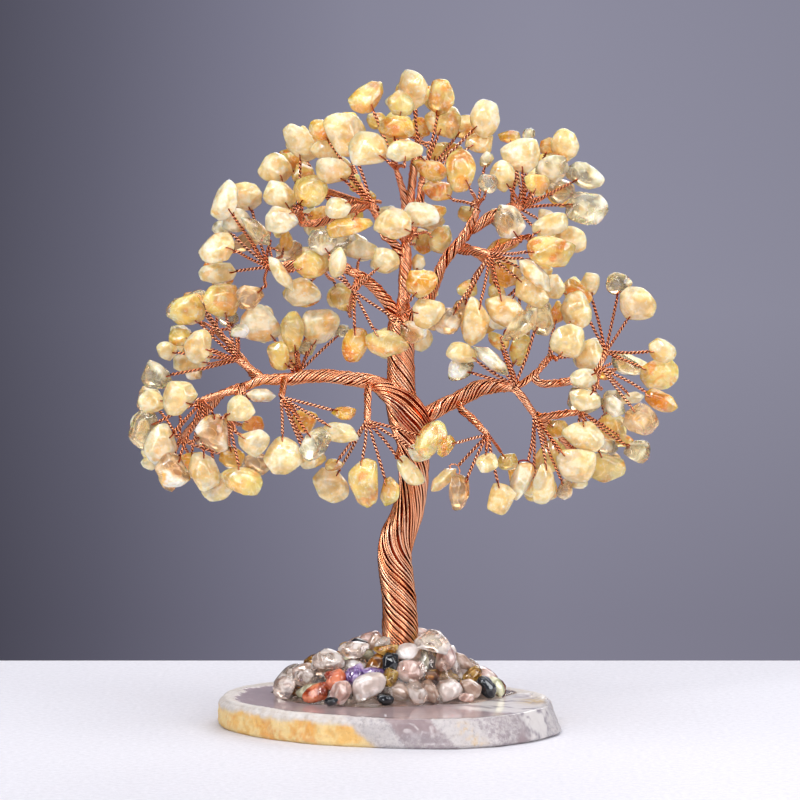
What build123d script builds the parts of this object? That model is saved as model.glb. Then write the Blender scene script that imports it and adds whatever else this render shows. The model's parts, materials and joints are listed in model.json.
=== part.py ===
from build123d import *
import math
import os
import random

import numpy as np
from scipy.spatial import ConvexHull

os.makedirs("parts", exist_ok=True)

# Gemstone tree: a bundle of copper wires rises from a glued mound of tumbled
# stones on a slice of agate, parts into limbs, and every limb ends in sprays of
# twisted wire pairs. Each pair is threaded through one drilled citrine chip.
# Millimetres, +Z up. Origin: on the flat underside of the slab, below the trunk.

# ---- driving dimensions ----------------------------------------------------
SLAB_T = 7.0            # thickness of the agate slice
PAIR_D = 0.80           # twisted pair of 0.4 mm wires, across
EYE_WIRE = 0.26         # bar of the wire eye, inside the drilled hole
HOLE_R = 0.25           # radius of the drilled hole in a chip
STEM_R = 0.95           # bundle that carries a spray
KNOT_R = 1.50           # knot where the pairs of a spray part
MOUND_CX, MOUND_CY = 0.0, 5.0
MOUND_RX, MOUND_RY, MOUND_RZ = 29.5, 21.5, 17.6
GLUE_INSET = 4.2        # glue bed below the outer surface of the mound
JOINT_GAP = 1.1         # bend gap between a limb and the trunk, along the wires
SIDES = 12              # sides of a bundle's section

# rim of the slab at its widest, seen from above, and the middle it tapers to
SLAB_CX, SLAB_CY = 0.0, -5.5
SLAB_OUTLINE = [
    (-42.9, -4), (-41.1, -10.2), (-36.5, -17), (-31.9, -22.3), (-24.4, -28.1), (-14.6, -33.5), (-6, -36.2),
    (2.7, -38.2), (9.5, -39.3), (17.1, -39.2), (25.5, -36.3), (32.9, -31), (38.8, -24), (41.9, -18.6),
    (42.8, -13.4), (42.6, -7), (41.2, -0.4), (38.2, 6.2), (33.6, 12.2), (28.4, 18), (22, 23.4),
    (14, 27.6), (4, 30), (-7, 30.8), (-18, 29.4), (-28, 26), (-36, 20.3), (-41.1, 12.8),
    (-43.1, 4.6),
]

# wire bundles: x, y, z of the centre line and the radius there
LIMBS = {
    "TR": [(2.5, 0, 7, 4.5), (2.5, 0, 18.73, 4.5), (2.5, 0, 25.31, 4.5), (2.37, 0, 28.6, 4.4), (2, 0, 34.41, 4.25), (1.25, 0, 40.21, 4.25), (1.25, 0, 43.99, 4.25), (2.12, 0, 47.77, 4.33), (4.38, 0, 53.57, 3.95), (5.63, 0, 59.35, 3.7), (6, 0, 65.13, 3.8), (5.5, 0, 70.41, 3.75), (4.25, 0, 75.43, 4.12), (3, 0, 80.44, 4.12), (2.75, 0, 85.46, 3.62), (2.75, 0, 91.71, 3.38), (2.75, 0, 96.72, 3.4), (2.5, 0, 100.22, 3), (3, 0, 103.71, 2.12), (3.37, 0, 106.71, 1.55), (3.62, 0, 111.7, 1.5), (3.87, 0, 116.19, 1.55), (4, 0, 120.05, 1.35)],
    "TRL": [(0, -1, 83.77, 2.25), (-3.49, -1, 85.77, 2.05), (-6.99, -1, 86.65, 1.9)],
    "TRR": [(6, -1, 77.76, 2.25), (8.99, -1, 78.01, 2.1), (11.87, -1, 79.39, 2.05)],
    "TLU": [(2, -0.5, 100.99, 2), (0.38, -1, 104.51, 1.65)],
    "TRU": [(4.25, 0, 100.97, 1.85), (7.49, -1, 104.38, 1.65)],
    "TLT": [(3.62, 0, 116.94, 1.3), (2.62, 0, 118.81, 1.18)],
    "LL": [(-8.11, -1, 86.82, 1.88), (-12.48, -1, 87.4, 1.75), (-16.22, -1, 87.77, 1.65), (-20.46, -1, 87.65, 1.65), (-24.46, -1, 87.02, 1.6), (-27.95, -1, 86.9, 1.4), (-31.95, -1, 86.77, 1.25), (-35.7, -1, 85.27, 1.1), (-38.4, -2, 84.34, 1), (-42.35, -3, 83.41, 0.8), (-45.84, -3, 82.16, 0.6)],
    "RL": [(13.24, -1, 80.27, 2), (16.22, -2, 81.59, 2), (19.44, -3, 83.41, 2.1), (22.41, -4, 84.97, 2.1), (25.37, -5, 85.41, 1.85), (28.04, -7, 85.67, 1.6), (30.74, -8, 85.49, 1.25)],
    "LU": [(-0.37, -1, 105.76, 1.55), (-2.73, -2, 108.79, 1.5), (-4.96, -3, 111.07, 1.4), (-7.43, -4, 112.84, 1.25), (-10.41, -4, 114.33, 0.95)],
    "LT": [(1.83, 0, 119.78, 1.15), (0.76, 0, 121.05, 1.1), (-0.74, -1, 122.69, 1.05), (-2.48, -1, 126.17, 0.95), (-3.96, -2, 129.67, 0.75)],
    "CR": [(4, 0, 121.3, 1.1), (4, 0, 122.92, 0.9), (3.87, 0, 126.65, 0.85), (3.62, -1, 130.9, 0.8), (2.75, -3, 135.14, 0.7), (1.76, -5, 138.62, 0.55)],
    "RU": [(8.43, -1, 105.43, 1.6), (10.23, -1, 108.25, 1.45), (11.47, -1, 111.49, 1.4), (12.71, -1, 114.73, 1.4), (14.7, -1, 117.97, 1.4), (17.19, -1, 120.95, 1.35), (19.18, -1, 123.69, 1.25), (20.65, -2, 126.69, 1.05), (21.86, -3, 129.44, 0.8)],
}

# sprays: the body that carries each, then the knot and the way back to the limb
HUBS = {
    "H1": ("LL", [(-38.15, 4, 91.48), (-32.02, 1, 87.14), (-33.44, 0.39, 86.93)]),
    "H2": ("LL", [(-46.59, -3, 81.91), (-37.95, -1, 84.77), (-37.63, -1.71, 84.61)]),
    "H3": ("LL", [(-40.13, -8, 77.79), (-36.86, -3, 84.66), (-37.38, -1.62, 84.69)]),
    "H4": ("LL", [(-26.88, -11, 83.21), (-26.36, -4, 86.47), (-26.38, -1, 86.95)]),
    "H5": ("LL", [(-22.93, 7, 88.27), (-22.54, 2, 87.58)]),
    "H6": ("TR", [(-5.67, -9, 77.12), (-5.45, -5, 84.04), (-5.22, -3, 85.4), (-5.03, -1, 86.16)]),
    "LH1": ("LU", [(-30.53, 3, 114.84), (-26.21, 1, 115.16), (-17.9, -2, 116.25), (-11.15, -4, 114.83), (-10.41, -4, 114.33)]),
    "LH2": ("LU", [(-9.11, -9, 109.32), (-7.4, -7, 111.47), (-5.93, -5, 112.38), (-6.58, -3.66, 112.23)]),
    "LH4": ("LT", [(-22.36, 7, 125.25), (-17.06, 6, 126.03), (-11.25, 3, 128.59), (-4.72, 0, 130.88), (-4.36, 0.37, 130.2)]),
    "LH3": ("LT", [(-4.71, -2, 130.91), (-1.23, -1, 122.44), (-0.74, -1, 122.69)]),
    "TH1": ("CR", [(1.51, -5, 139.36), (3.49, -2, 132.9), (3.75, 0, 127.9), (3.8, -0.28, 127.83)]),
    "TH2": ("CR", [(8.01, 5, 137.05), (7.25, 3, 130.34), (4.99, 1, 122.64), (4, 0, 122.64)]),
    "CM": ("CR", [(4.24, -4, 123.76), (3.74, -1, 121.7), (4, 0, 121.7)]),
    "TM": ("TR", [(3.99, -7, 106.27), (3.25, -4, 103.9), (0.94, -0.83, 103.29)]),
    "UR1": ("RU", [(21.86, -3, 130.18), (19.92, -1, 124.68), (18.95, 0, 122.17), (18.38, -1, 122.59)]),
    "UR2": ("RU", [(33.52, 4, 129.82), (28.74, 3, 128.59), (24.94, 1, 127.63), (21.44, 0, 124.66), (20.28, 0.7, 124.09)]),
    "UR3": ("RU", [(33.22, 2, 122.37), (29.17, 0, 120.43), (25.06, -5, 118.83), (23.44, -6.93, 118.66)]),
    "RH6": ("RU", [(24.74, -8, 118.42), (21.09, -5, 119.08), (17.94, -1, 119.21), (16.64, -1, 120.29)]),
    "RH2": ("RL", [(30.99, -8, 85.74), (28.82, -6, 85.11), (28.43, -7.14, 85.64)]),
    "RH5": ("RL", [(39.68, -1, 92.27), (36.87, -3, 89.15), (33.28, -6, 86.6), (30.99, -8, 85.74)]),
    "RH1": ("RL", [(54.35, 7, 93.32), (52.74, 5, 90.41), (50.14, 3, 87.52), (43.74, 0, 86.21), (37.33, -4, 86.22), (35.75, -3.93, 88.36)]),
    "RH7": ("RL", [(52.61, -2, 89.84), (50.43, -1, 87.77), (43.64, -2, 86.34), (42.77, -0.6, 86.21)]),
    "RH3": ("RL", [(36, -7, 78.46), (33.72, -8, 81.76), (31.49, -8, 84.5), (30.74, -8, 85.49)]),
    "RH8": ("RL", [(47.86, 2, 78.79), (42.97, -1, 78.26), (37.57, -5, 77.81), (36, -7, 78.46)]),
    "RH4": ("RL", [(24.25, -11, 74.05), (20.35, -8, 77.54), (17.67, -5, 79.81), (17.19, -2.3, 82.14)]),
    "LB1": ("LU", [(-17.43, 22, 113.95), (-12.66, 12, 114.29), (-7.45, -2, 112.77), (-6.93, -3.8, 112.49)]),
    "LB2": ("LT", [(-18.42, 22, 134.36), (-11.38, 12, 131.95), (-3.97, -1, 129.65), (-4.12, -1.83, 129.49)]),
    "LB6": ("LT", [(-9.69, 18, 139.47), (-7.07, 10, 133.99), (-3.97, -1, 129.65)]),
    "TB1": ("CR", [(7.09, 22, 146.57), (6.04, 14, 140.25), (5, 3, 131.58), (4.24, 0, 126.15), (3.89, 0, 126.14)]),
    "RB1": ("RU", [(31.14, 24, 129.99), (25.73, 12, 126.91), (19.94, 0, 123.91), (19.58, -0.65, 123.8)]),
    "RB2": ("RU", [(33.03, 18, 109.76), (26.96, 10, 114.36), (18.95, 0, 119.93), (17.94, -1, 119.21)]),
    "RB3": ("RL", [(46.31, 16, 67.29), (41.87, 8, 73.54), (36.36, -4, 77.99), (37.57, -5, 77.81)]),
    "RB4": ("RL", [(49.76, 20, 87.46), (45.46, 10, 85.81), (37.62, -3, 85.9), (37.99, -3.59, 86.22)]),
    "LB3": ("LL", [(-44.46, 20, 98.2), (-38.96, 11, 93.09), (-33.24, 0, 86.71), (-33.08, -1, 86.32)]),
    "LB4": ("LL", [(-53.4, 14, 70.52), (-47.85, 6, 76.73), (-41.9, -2, 83.34)]),
    "LB5": ("LL", [(-24.05, 20, 93.09), (-23.32, 12, 89.99), (-22.52, 1, 87.4), (-22.51, -1, 87.33)]),
    "BK1": ("TR", [(3.01, 24, 100.05), (2.75, 12, 97.85), (2.75, 2, 95.36), (2.75, 0, 95.36)]),
    "BK2": ("TR", [(3.52, 20, 120.14), (3.51, 10, 116.88), (3.75, 1, 113.66), (3.73, 0, 113.66)]),
}

# drilled chips: spray, centre, turn as a quaternion, half sizes, shape number
CHIPS = {
    "CR_amber": [
        ("TH1", -5.55, -5.35, 157.33, 0.695, 0.585, -0.274, 0.317, 4.99, 3.31, 1.72, 1086),
        ("TH1", 2.71, -1.75, 155.71, 0.667, 0.737, 0.072, 0.079, 3.41, 3.18, 1.65, 1087),
        ("TH1", 1.52, -13.93, 149.68, 0.568, 0.817, -0.058, -0.083, 4.46, 3.05, 1.58, 1088),
        ("TH1", -3.39, 0.38, 151.25, 0.646, 0.763, 0.016, 0.019, 2.62, 2.12, 1.15, 1091),
        ("TH2", 12.84, 2.11, 157.12, 0.603, 0.468, -0.581, 0.282, 4.73, 3.71, 1.93, 1093),
        ("TH2", 7, 7.66, 149.79, 0.693, 0.716, 0.057, 0.059, 3.15, 2.52, 1.31, 1094),
        ("TH2", 13.16, 7.02, 151.04, 0.818, 0.566, 0.086, 0.06, 4.73, 4.5, 2.1, 1095),
        ("TH2", 18.68, 10.63, 149.84, 0.788, 0.612, 0.059, 0.046, 3.94, 3.18, 1.65, 1096),
        ("TH2", 11.87, 15.83, 143.78, 0.752, 0.654, -0.061, -0.053, 2.89, 2.25, 1.17, 1099),
        ("TH2", 15.84, 10.83, 144.17, 0.789, 0.614, 0.017, 0.013, 2.62, 1.99, 1.15, 1100),
        ("TH2", 9.92, -5.62, 139.12, 0.833, 0.531, 0.093, -0.129, 4.73, 2.78, 1.45, 1101),
        ("CM", 11.51, 4.73, 128.31, 0.622, 0.781, -0.031, -0.039, 2.62, 2.12, 1.15, 1104),
        ("CM", 12.5, 2.43, 121.61, 0.521, 0.543, -0.554, 0.356, 3.54, 2.78, 1.45, 1105),
        ("CM", 8.52, 5.46, 120.78, 0.583, 0.498, -0.485, 0.421, 2.89, 2.12, 1.15, 1106),
        ("TB1", 12.41, 25.44, 156.64, 0.638, 0.748, 0.153, -0.096, 4.09, 3.38, 1.76, 1208),
        ("TB1", 0.92, 18.53, 149.97, 0.668, 0.623, -0.324, 0.247, 4.45, 3.2, 1.67, 1209),
        ("TB1", 12.76, 33.27, 143.56, 0.55, 0.828, 0.022, 0.108, 3.41, 2.65, 1.38, 1212),
        ("TB1", 5.76, 22.03, 158.37, 0.829, 0.553, 0.084, 0.013, 4.57, 3.84, 2, 1214),
        ("TB1", 17.41, 24, 139.14, 0.565, 0.596, -0.366, 0.439, 4.58, 2.94, 1.53, 1215),
        ("TB1", 3.11, 32.78, 144.48, 0.743, 0.611, 0.246, -0.117, 4.03, 3.05, 1.58, 1216),
    ],
    "CR_milky": [
        ("TH1", -5.16, -14.29, 144.45, 0.743, 0.667, -0.032, -0.029, 4.99, 4.24, 2.1, 1089),
        ("TH1", 3.56, -15.76, 143.92, 0.729, 0.676, 0.038, 0.095, 4.73, 2.65, 1.38, 1090),
        ("TH2", 5.53, 2.41, 158.44, 0.569, 0.468, -0.602, 0.309, 5.51, 3.98, 2.07, 1092),
        ("TH2", 23.61, 1.27, 151.81, 0.546, 0.531, -0.511, 0.399, 4.73, 3.84, 2, 1097),
        ("TH2", 22.3, 3.7, 146.04, 0.791, 0.606, 0.069, 0.052, 3.68, 2.92, 1.52, 1098),
        ("CM", 0.68, -15.18, 126.17, 0.748, 0.66, -0.051, -0.045, 4.73, 3.98, 2.07, 1102),
        ("CM", 7.79, -12.01, 128.18, 0.698, 0.712, -0.018, -0.081, 4.59, 3.05, 1.58, 1103),
        ("TB1", 13.75, 29.12, 151.58, 0.657, 0.492, 0.44, -0.365, 5.08, 3.37, 1.75, 1210),
        ("TB1", 9.56, 28.43, 138.47, 0.603, 0.394, 0.537, -0.438, 4.12, 3.2, 1.66, 1211),
        ("TB1", 2.55, 25.48, 156.28, 0.786, 0.596, -0.143, 0.083, 3.75, 3.02, 1.57, 1213),
    ],
    "LL_amber": [
        ("H1", -50.88, 2.75, 103.72, 0.558, 0.793, -0.193, 0.153, 4.46, 4.11, 2.1, 1000),
        ("H1", -41.94, -1.11, 106.62, 0.656, 0.753, 0.038, 0.044, 4.73, 4.24, 2.1, 1002),
        ("H1", -52.69, 4.14, 97.25, 0.816, 0.575, -0.054, -0.038, 2.89, 2.39, 1.24, 1005),
        ("H2", -50.09, 0.46, 66.1, 0.657, 0.747, 0.065, 0.074, 3.15, 2.39, 1.24, 1016),
        ("H3", -39.46, -1.92, 67.31, 0.727, 0.681, 0.061, 0.057, 3.28, 2.52, 1.31, 1020),
        ("H3", -36.72, -10.06, 62.5, 0.794, 0.591, 0.019, -0.143, 5.51, 3.58, 1.86, 1021),
        ("H3", -40.73, 4.36, 75.34, 0.598, 0.482, -0.41, 0.492, 2.89, 1.85, 1.15, 1025),
        ("H3", -34.44, 3.6, 75.32, 0.651, 0.753, 0.065, 0.075, 2.89, 2.12, 1.15, 1026),
        ("H4", -21.21, -4.49, 76.5, 0.646, 0.763, 0.011, 0.013, 3.41, 3.18, 1.65, 1029),
        ("H4", -18.7, -5.5, 67.41, 0.834, 0.551, -0.027, -0.018, 2.89, 2.39, 1.24, 1031),
        ("H4", -11.34, -10.29, 79.2, 0.826, 0.555, 0.003, 0.1, 3.15, 1.85, 1.15, 1032),
        ("H5", -27.57, -0.39, 92.67, -0.416, -0.394, 0.601, -0.557, 3.68, 2.78, 1.45, 1035),
        ("H5", -24.33, 0.97, 98.69, 0.469, 0.531, -0.514, 0.484, 5.25, 2.92, 1.52, 1038),
        ("LB3", -44.03, 22, 112.71, 0.501, 0.784, 0.24, -0.278, 4.65, 3.2, 1.66, 1247),
        ("LB3", -49.41, 17.85, 105.47, 0.729, 0.674, 0.113, 0.03, 3.41, 2.74, 1.43, 1248),
        ("LB4", -54.64, 18.48, 80.42, 0.68, 0.648, -0.311, 0.147, 4.18, 3.49, 1.82, 1261),
        ("LB5", -27.37, 31.07, 90.32, 0.651, 0.754, 0.01, 0.087, 4.04, 3.2, 1.66, 1263),
    ],
    "LL_clear": [
        ("H1", -48.1, 8.05, 106.62, 0.748, 0.662, 0.038, 0.033, 2.89, 2.39, 1.24, 1001),
        ("H1", -41.01, 12.03, 101.9, 0.658, 0.746, -0.069, -0.079, 2.89, 2.65, 1.38, 1003),
        ("H1", -37.27, -3.96, 99.17, 0.56, 0.826, -0.036, -0.053, 2.36, 1.99, 1.15, 1004),
        ("H1", -58.45, 3.22, 87, 0.667, 0.692, 0.251, -0.114, 4.2, 3.45, 1.79, 1009),
        ("H2", -61.09, -2.01, 74.65, 0.601, 0.469, -0.523, 0.38, 5.51, 3.98, 2.07, 1012),
        ("H2", -53.95, -7.83, 64.34, 0.682, 0.604, 0.374, -0.176, 4.73, 3.98, 2.07, 1015),
        ("H2", -43.31, -10.84, 73.96, 0.719, 0.484, 0.412, -0.282, 4.99, 3.98, 2.07, 1019),
        ("H3", -32.66, -7.07, 66.31, 0.823, 0.565, -0.054, -0.037, 3.54, 2.92, 1.52, 1023),
        ("H4", -18.39, -15.18, 71.8, 0.675, 0.603, -0.251, 0.343, 4.46, 3.18, 1.65, 1030),
        ("H5", -20.92, 15.93, 94.06, 0.807, 0.59, 0.01, 0.007, 2.36, 2.25, 1.17, 1036),
        ("H5", -11.87, 8.77, 98.52, 0.656, 0.754, -0.023, -0.026, 1.97, 1.72, 1.15, 1040),
        ("LB3", -50.94, 25.48, 89.81, 0.511, 0.566, 0.342, -0.55, 4.84, 3.05, 1.58, 1249),
        ("LB3", -43.46, 17.25, 106.54, 0.563, 0.551, -0.459, 0.412, 4.45, 3, 1.56, 1250),
        ("LB3", -53.85, 25.41, 96.54, 0.669, 0.691, 0.174, -0.213, 3.41, 2.74, 1.43, 1253),
        ("LB3", -52.68, 26.58, 103.12, 0.736, 0.671, 0.06, 0.067, 4.91, 3.34, 1.74, 1254),
        ("LB4", -45.39, 19.69, 71.55, 0.789, 0.579, -0.139, 0.15, 4.74, 3.75, 1.95, 1255),
        ("LB4", -55.37, 11.26, 63.01, 0.722, 0.454, -0.424, 0.304, 5.08, 3.34, 1.73, 1256),
        ("LB4", -39.94, 16, 65.38, 0.618, 0.658, 0.252, -0.349, 3.61, 2.9, 1.51, 1258),
        ("LB4", -61.5, 19.75, 80.48, 0.495, 0.505, 0.584, -0.398, 3.75, 3.35, 1.74, 1262),
        ("LB5", -17.63, 29.22, 98.96, 0.659, 0.688, 0.261, -0.155, 4.43, 3.4, 1.77, 1265),
    ],
    "LL_milky": [
        ("H1", -47.8, -2.55, 95.36, 0.606, 0.552, -0.419, 0.391, 4.46, 3.45, 1.79, 1006),
        ("H1", -55.86, 2.53, 93.82, 0.64, 0.766, -0.038, -0.046, 2.62, 2.52, 1.31, 1007),
        ("H1", -50.46, 8.49, 90.71, 0.787, 0.604, 0.021, 0.124, 4.46, 2.65, 1.38, 1008),
        ("H2", -59.45, -4.43, 81.76, 0.694, 0.712, 0.077, 0.079, 3.41, 2.92, 1.52, 1010),
        ("H2", -52.15, -13.78, 83.16, 0.609, 0.612, -0.396, 0.312, 4.99, 3.98, 2.07, 1011),
        ("H2", -56.87, -5.63, 70.92, 0.56, 0.658, -0.312, 0.394, 5.25, 3.98, 2.07, 1013),
        ("H2", -60.05, -0.49, 65.93, 0.713, 0.699, 0.037, 0.036, 2.36, 1.85, 1.15, 1014),
        ("H2", -46.27, -5.63, 64.51, 0.674, 0.516, 0.357, -0.39, 4.99, 3.45, 1.79, 1017),
        ("H2", -43.16, -3.02, 60.13, 0.826, 0.555, -0.091, 0.036, 4.2, 3.58, 1.86, 1018),
        ("H3", -33.36, -16.43, 72.27, 0.621, 0.779, 0.051, 0.064, 3.94, 3.58, 1.86, 1022),
        ("H3", -36.32, -21.25, 81.24, 0.699, 0.705, -0.084, -0.085, 3.68, 3.31, 1.72, 1024),
        ("H3", -32.51, -2.4, 82.95, 0.995, -0.103, 0.019, -0.002, 4.2, 3.36, 1.72, 1027),
        ("H4", -26.22, -13.23, 68.49, 0.688, 0.591, -0.295, 0.299, 4.99, 4.5, 2.1, 1028),
        ("H4", -12.35, -11.53, 74.45, 0.734, 0.676, -0.002, -0.061, 4.73, 2.52, 1.31, 1033),
        ("H4", -20.24, -11.41, 67.46, 0.733, 0.671, 0.084, 0.077, 2.62, 2.12, 1.15, 1034),
        ("H5", -32.31, 2.71, 100.84, 0.722, 0.69, 0.031, 0.03, 5.25, 4.77, 2.1, 1037),
        ("H5", -17.45, 3.24, 99.78, 0.63, 0.774, 0.041, 0.051, 4.99, 4.5, 2.1, 1039),
        ("LB3", -32.82, 22, 99.45, -0.495, -0.52, -0.369, 0.59, 4.86, 3.39, 1.76, 1251),
        ("LB3", -50.31, 31.74, 92.86, 0.58, 0.748, 0.267, -0.179, 4.91, 3.59, 1.87, 1252),
        ("LB4", -62.92, 22.8, 72.98, 0.476, 0.793, 0.284, -0.254, 4.25, 3.83, 1.99, 1257),
        ("LB4", -58.62, 8.47, 69.04, 0.666, 0.702, -0.225, 0.111, 4.67, 3.32, 1.72, 1259),
        ("LB4", -47.83, 19.43, 62.26, 0.794, 0.535, 0.181, -0.227, 4, 3.44, 1.79, 1260),
        ("LB5", -25.96, 16.13, 97.82, 0.403, 0.679, -0.411, 0.455, 4.16, 3.06, 1.59, 1264),
    ],
    "LT_amber": [
        ("LH4", -25.15, 11.93, 141.13, 0.547, 0.833, -0.044, -0.068, 3.15, 2.65, 1.38, 1073),
        ("LH4", -21.61, 9.5, 138.52, 0.813, 0.574, 0.078, 0.055, 2.89, 2.65, 1.38, 1074),
        ("LH4", -19.61, -2.6, 133.88, 0.763, 0.636, -0.085, -0.07, 4.46, 3.98, 2.07, 1076),
        ("LH4", -17.4, 17.48, 127.37, 0.612, 0.79, 0.023, 0.029, 3.68, 2.65, 1.38, 1077),
        ("LH3", -17.1, -0.21, 148.9, 0.667, 0.744, 0.026, 0.029, 3.15, 2.78, 1.45, 1081),
        ("LH3", -8.8, 7.33, 135.78, 0.635, 0.356, -0.544, 0.416, 2.36, 1.59, 1.15, 1083),
        ("LH3", -5.49, 11.14, 132.22, 0.707, 0.699, -0.075, -0.074, 2.1, 1.59, 1.15, 1084),
        ("LH3", -9.8, -13.21, 125.45, 0.767, 0.635, -0.089, 0.038, 5.78, 2.39, 1.24, 1085),
        ("LB2", -28, 24, 125.67, 0.45, 0.553, -0.327, 0.621, 4.31, 2.99, 1.56, 1195),
        ("LB2", -11.03, 27.01, 125.25, 0.736, 0.551, -0.341, 0.197, 5.11, 2.74, 1.43, 1196),
        ("LB2", -27.81, 30.84, 131.88, 0.668, 0.62, 0.322, -0.258, 4.91, 3.04, 1.58, 1197),
        ("LB2", -22.46, 34.69, 137.99, 0.646, 0.751, 0.069, -0.118, 3.41, 3.05, 1.58, 1198),
        ("LB2", -17.27, 23.46, 148.55, 0.56, 0.548, 0.482, -0.392, 3.47, 3.18, 1.66, 1200),
        ("LB2", -12.77, 19.46, 129.63, 0.611, 0.455, -0.557, 0.331, 3.61, 3.2, 1.66, 1201),
        ("LB2", -25.28, 27.68, 141.06, 0.476, 0.566, 0.511, -0.438, 3.47, 3.05, 1.58, 1202),
        ("LB6", -21.04, 17.01, 133.32, 0.742, 0.537, 0.367, -0.163, 4.14, 3.3, 1.72, 1204),
        ("LB6", -14.17, 31.97, 139.23, 0.791, 0.612, 0.004, 0.004, 4.29, 3.43, 1.78, 1205),
        ("LB6", -10.29, 23.15, 149.57, -0.49, -0.528, -0.406, 0.562, 4.34, 3, 1.56, 1207),
    ],
    "LT_milky": [
        ("LH4", -26.72, -6.4, 126.85, 0.805, 0.593, -0.004, -0.003, 4.2, 3.58, 1.86, 1070),
        ("LH4", -27.15, 1.01, 132.8, 0.751, 0.635, 0.063, -0.173, 4.46, 3.31, 1.72, 1071),
        ("LH4", -28.86, 9.03, 139.57, 0.813, 0.581, 0.034, 0.024, 4.46, 3.98, 2.07, 1072),
        ("LH4", -22.51, 4.44, 145.79, 0.556, 0.73, 0.295, -0.266, 5.51, 3.58, 1.86, 1075),
        ("LH3", -12.71, -13.24, 129.86, 0.802, 0.597, 0.008, 0.006, 3.28, 2.78, 1.45, 1078),
        ("LH3", -13.99, -4.6, 139.04, 0.615, 0.789, 0.004, 0.005, 4.73, 3.45, 1.79, 1079),
        ("LH3", -16.22, 2.18, 143.92, 0.549, 0.833, -0.039, -0.06, 3.68, 2.52, 1.31, 1080),
        ("LH3", -10.56, -3.4, 148.3, 0.667, 0.551, 0.395, -0.31, 6.04, 4.77, 2.1, 1082),
        ("LB2", -23.07, 22.82, 146.18, 0.606, 0.465, -0.566, 0.31, 4.31, 3.69, 1.92, 1199),
        ("LB6", -16.56, 27.94, 144.44, 0.578, 0.455, 0.597, -0.321, 4, 2.9, 1.51, 1203),
        ("LB6", -5.56, 27.17, 144.46, 0.718, 0.573, 0.315, -0.236, 4.59, 3.34, 1.73, 1206),
    ],
    "LU_amber": [
        ("LH1", -19.51, -6.3, 115.85, 0.64, 0.76, 0.075, 0.089, 4.46, 3.71, 1.93, 1057),
        ("LH1", -26.13, 10.03, 121.1, 0.593, 0.473, -0.54, 0.365, 2.62, 1.85, 1.15, 1061),
        ("LH2", -11.74, 4.83, 106.84, 0.812, 0.58, 0.051, 0.037, 3.41, 3.18, 1.65, 1066),
        ("LH2", -8.6, -10.9, 96.07, 0.515, 0.606, -0.439, 0.417, 4.46, 3.18, 1.65, 1067),
        ("LH2", -0.6, -13.64, 96.52, 0.596, 0.798, -0.051, -0.068, 5.51, 3.58, 1.86, 1068),
        ("LB1", -22.92, 29.68, 107.32, 0.723, 0.689, 0.045, -0.043, 4.89, 3.7, 1.92, 1192),
    ],
    "LU_clear": [
        ("LH1", -34.62, -7.33, 107.77, 0.609, 0.788, 0.052, 0.067, 3.68, 3.18, 1.65, 1050),
        ("LH1", -42.17, 6.4, 124.52, 0.595, 0.802, 0.029, 0.039, 2.62, 2.25, 1.17, 1051),
        ("LH1", -36.12, 11.47, 121.12, 0.64, 0.744, -0.077, 0.174, 3.94, 2.39, 1.24, 1052),
        ("LH1", -33.27, -2.06, 124.2, 0.916, 0.076, 0.391, -0.051, 4.99, 2.87, 1.85, 1053),
        ("LH1", -25.6, 14.09, 118.8, 0.545, 0.836, 0.034, 0.053, 3.41, 2.65, 1.38, 1059),
        ("LH2", -16.75, -8.35, 121.46, 0.748, 0.658, -0.069, -0.061, 3.68, 3.45, 1.79, 1062),
        ("LH2", 5.85, -12.08, 99.28, 0.697, 0.707, 0.082, 0.083, 3.41, 2.92, 1.52, 1069),
        ("LB1", -25.73, 31.52, 117.94, 0.727, 0.686, 0.015, 0.002, 3.75, 3.05, 1.58, 1187),
        ("LB1", -12.3, 19.67, 119.49, 0.74, 0.571, -0.246, 0.257, 4.33, 2.65, 1.38, 1191),
    ],
    "LU_milky": [
        ("LH1", -43.09, -0.54, 119.69, 0.822, 0.556, -0.1, -0.068, 4.73, 4.24, 2.1, 1048),
        ("LH1", -43.19, 3.82, 113.31, 0.601, 0.799, -0.023, -0.031, 4.86, 2.78, 1.45, 1049),
        ("LH1", -38.24, 1.99, 126.54, 0.691, 0.713, 0.083, 0.085, 3.68, 3.05, 1.58, 1054),
        ("LH1", -40.78, -0.84, 131.43, 0.658, 0.476, -0.462, 0.357, 5.25, 3.18, 1.65, 1055),
        ("LH1", -35.98, 5.27, 132.42, 0.616, 0.779, -0.073, -0.092, 4.2, 3.71, 1.93, 1056),
        ("LH1", -21.64, -2.33, 108.8, 0.631, 0.774, -0.037, -0.045, 4.73, 3.71, 1.93, 1058),
        ("LH1", -26.91, -9.45, 113.52, 0.875, -0.031, 0.484, 0.02, 5.25, 3.31, 1.85, 1060),
        ("LH2", -12.66, -17.54, 116.51, 0.782, 0.077, -0.612, 0.083, 3.94, 3.19, 2.12, 1063),
        ("LH2", -6.95, -2.56, 119.25, 0.585, 0.808, 0.051, -0.043, 4.07, 2.65, 1.38, 1064),
        ("LH2", -0.94, -14.18, 117.14, 0.632, 0.774, -0.031, -0.038, 3.41, 3.18, 1.65, 1065),
        ("LB1", -17.24, 30.04, 119.87, 0.694, 0.495, 0.347, -0.392, 4.04, 3.51, 1.83, 1188),
        ("LB1", -12.87, 31.63, 106.33, 0.641, 0.737, -0.181, 0.115, 3.75, 3.46, 1.8, 1189),
        ("LB1", -22.47, 18.06, 116.39, 0.758, 0.646, 0.079, 0.045, 4.38, 3.33, 1.73, 1190),
        ("LB1", -19.61, 26.65, 125.66, 0.637, 0.475, 0.407, -0.451, 4.03, 3.05, 1.58, 1193),
        ("LB1", -7.98, 28.27, 119, 0.729, 0.556, 0.372, -0.144, 4.33, 3.05, 1.58, 1194),
    ],
    "RL_amber": [
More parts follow.
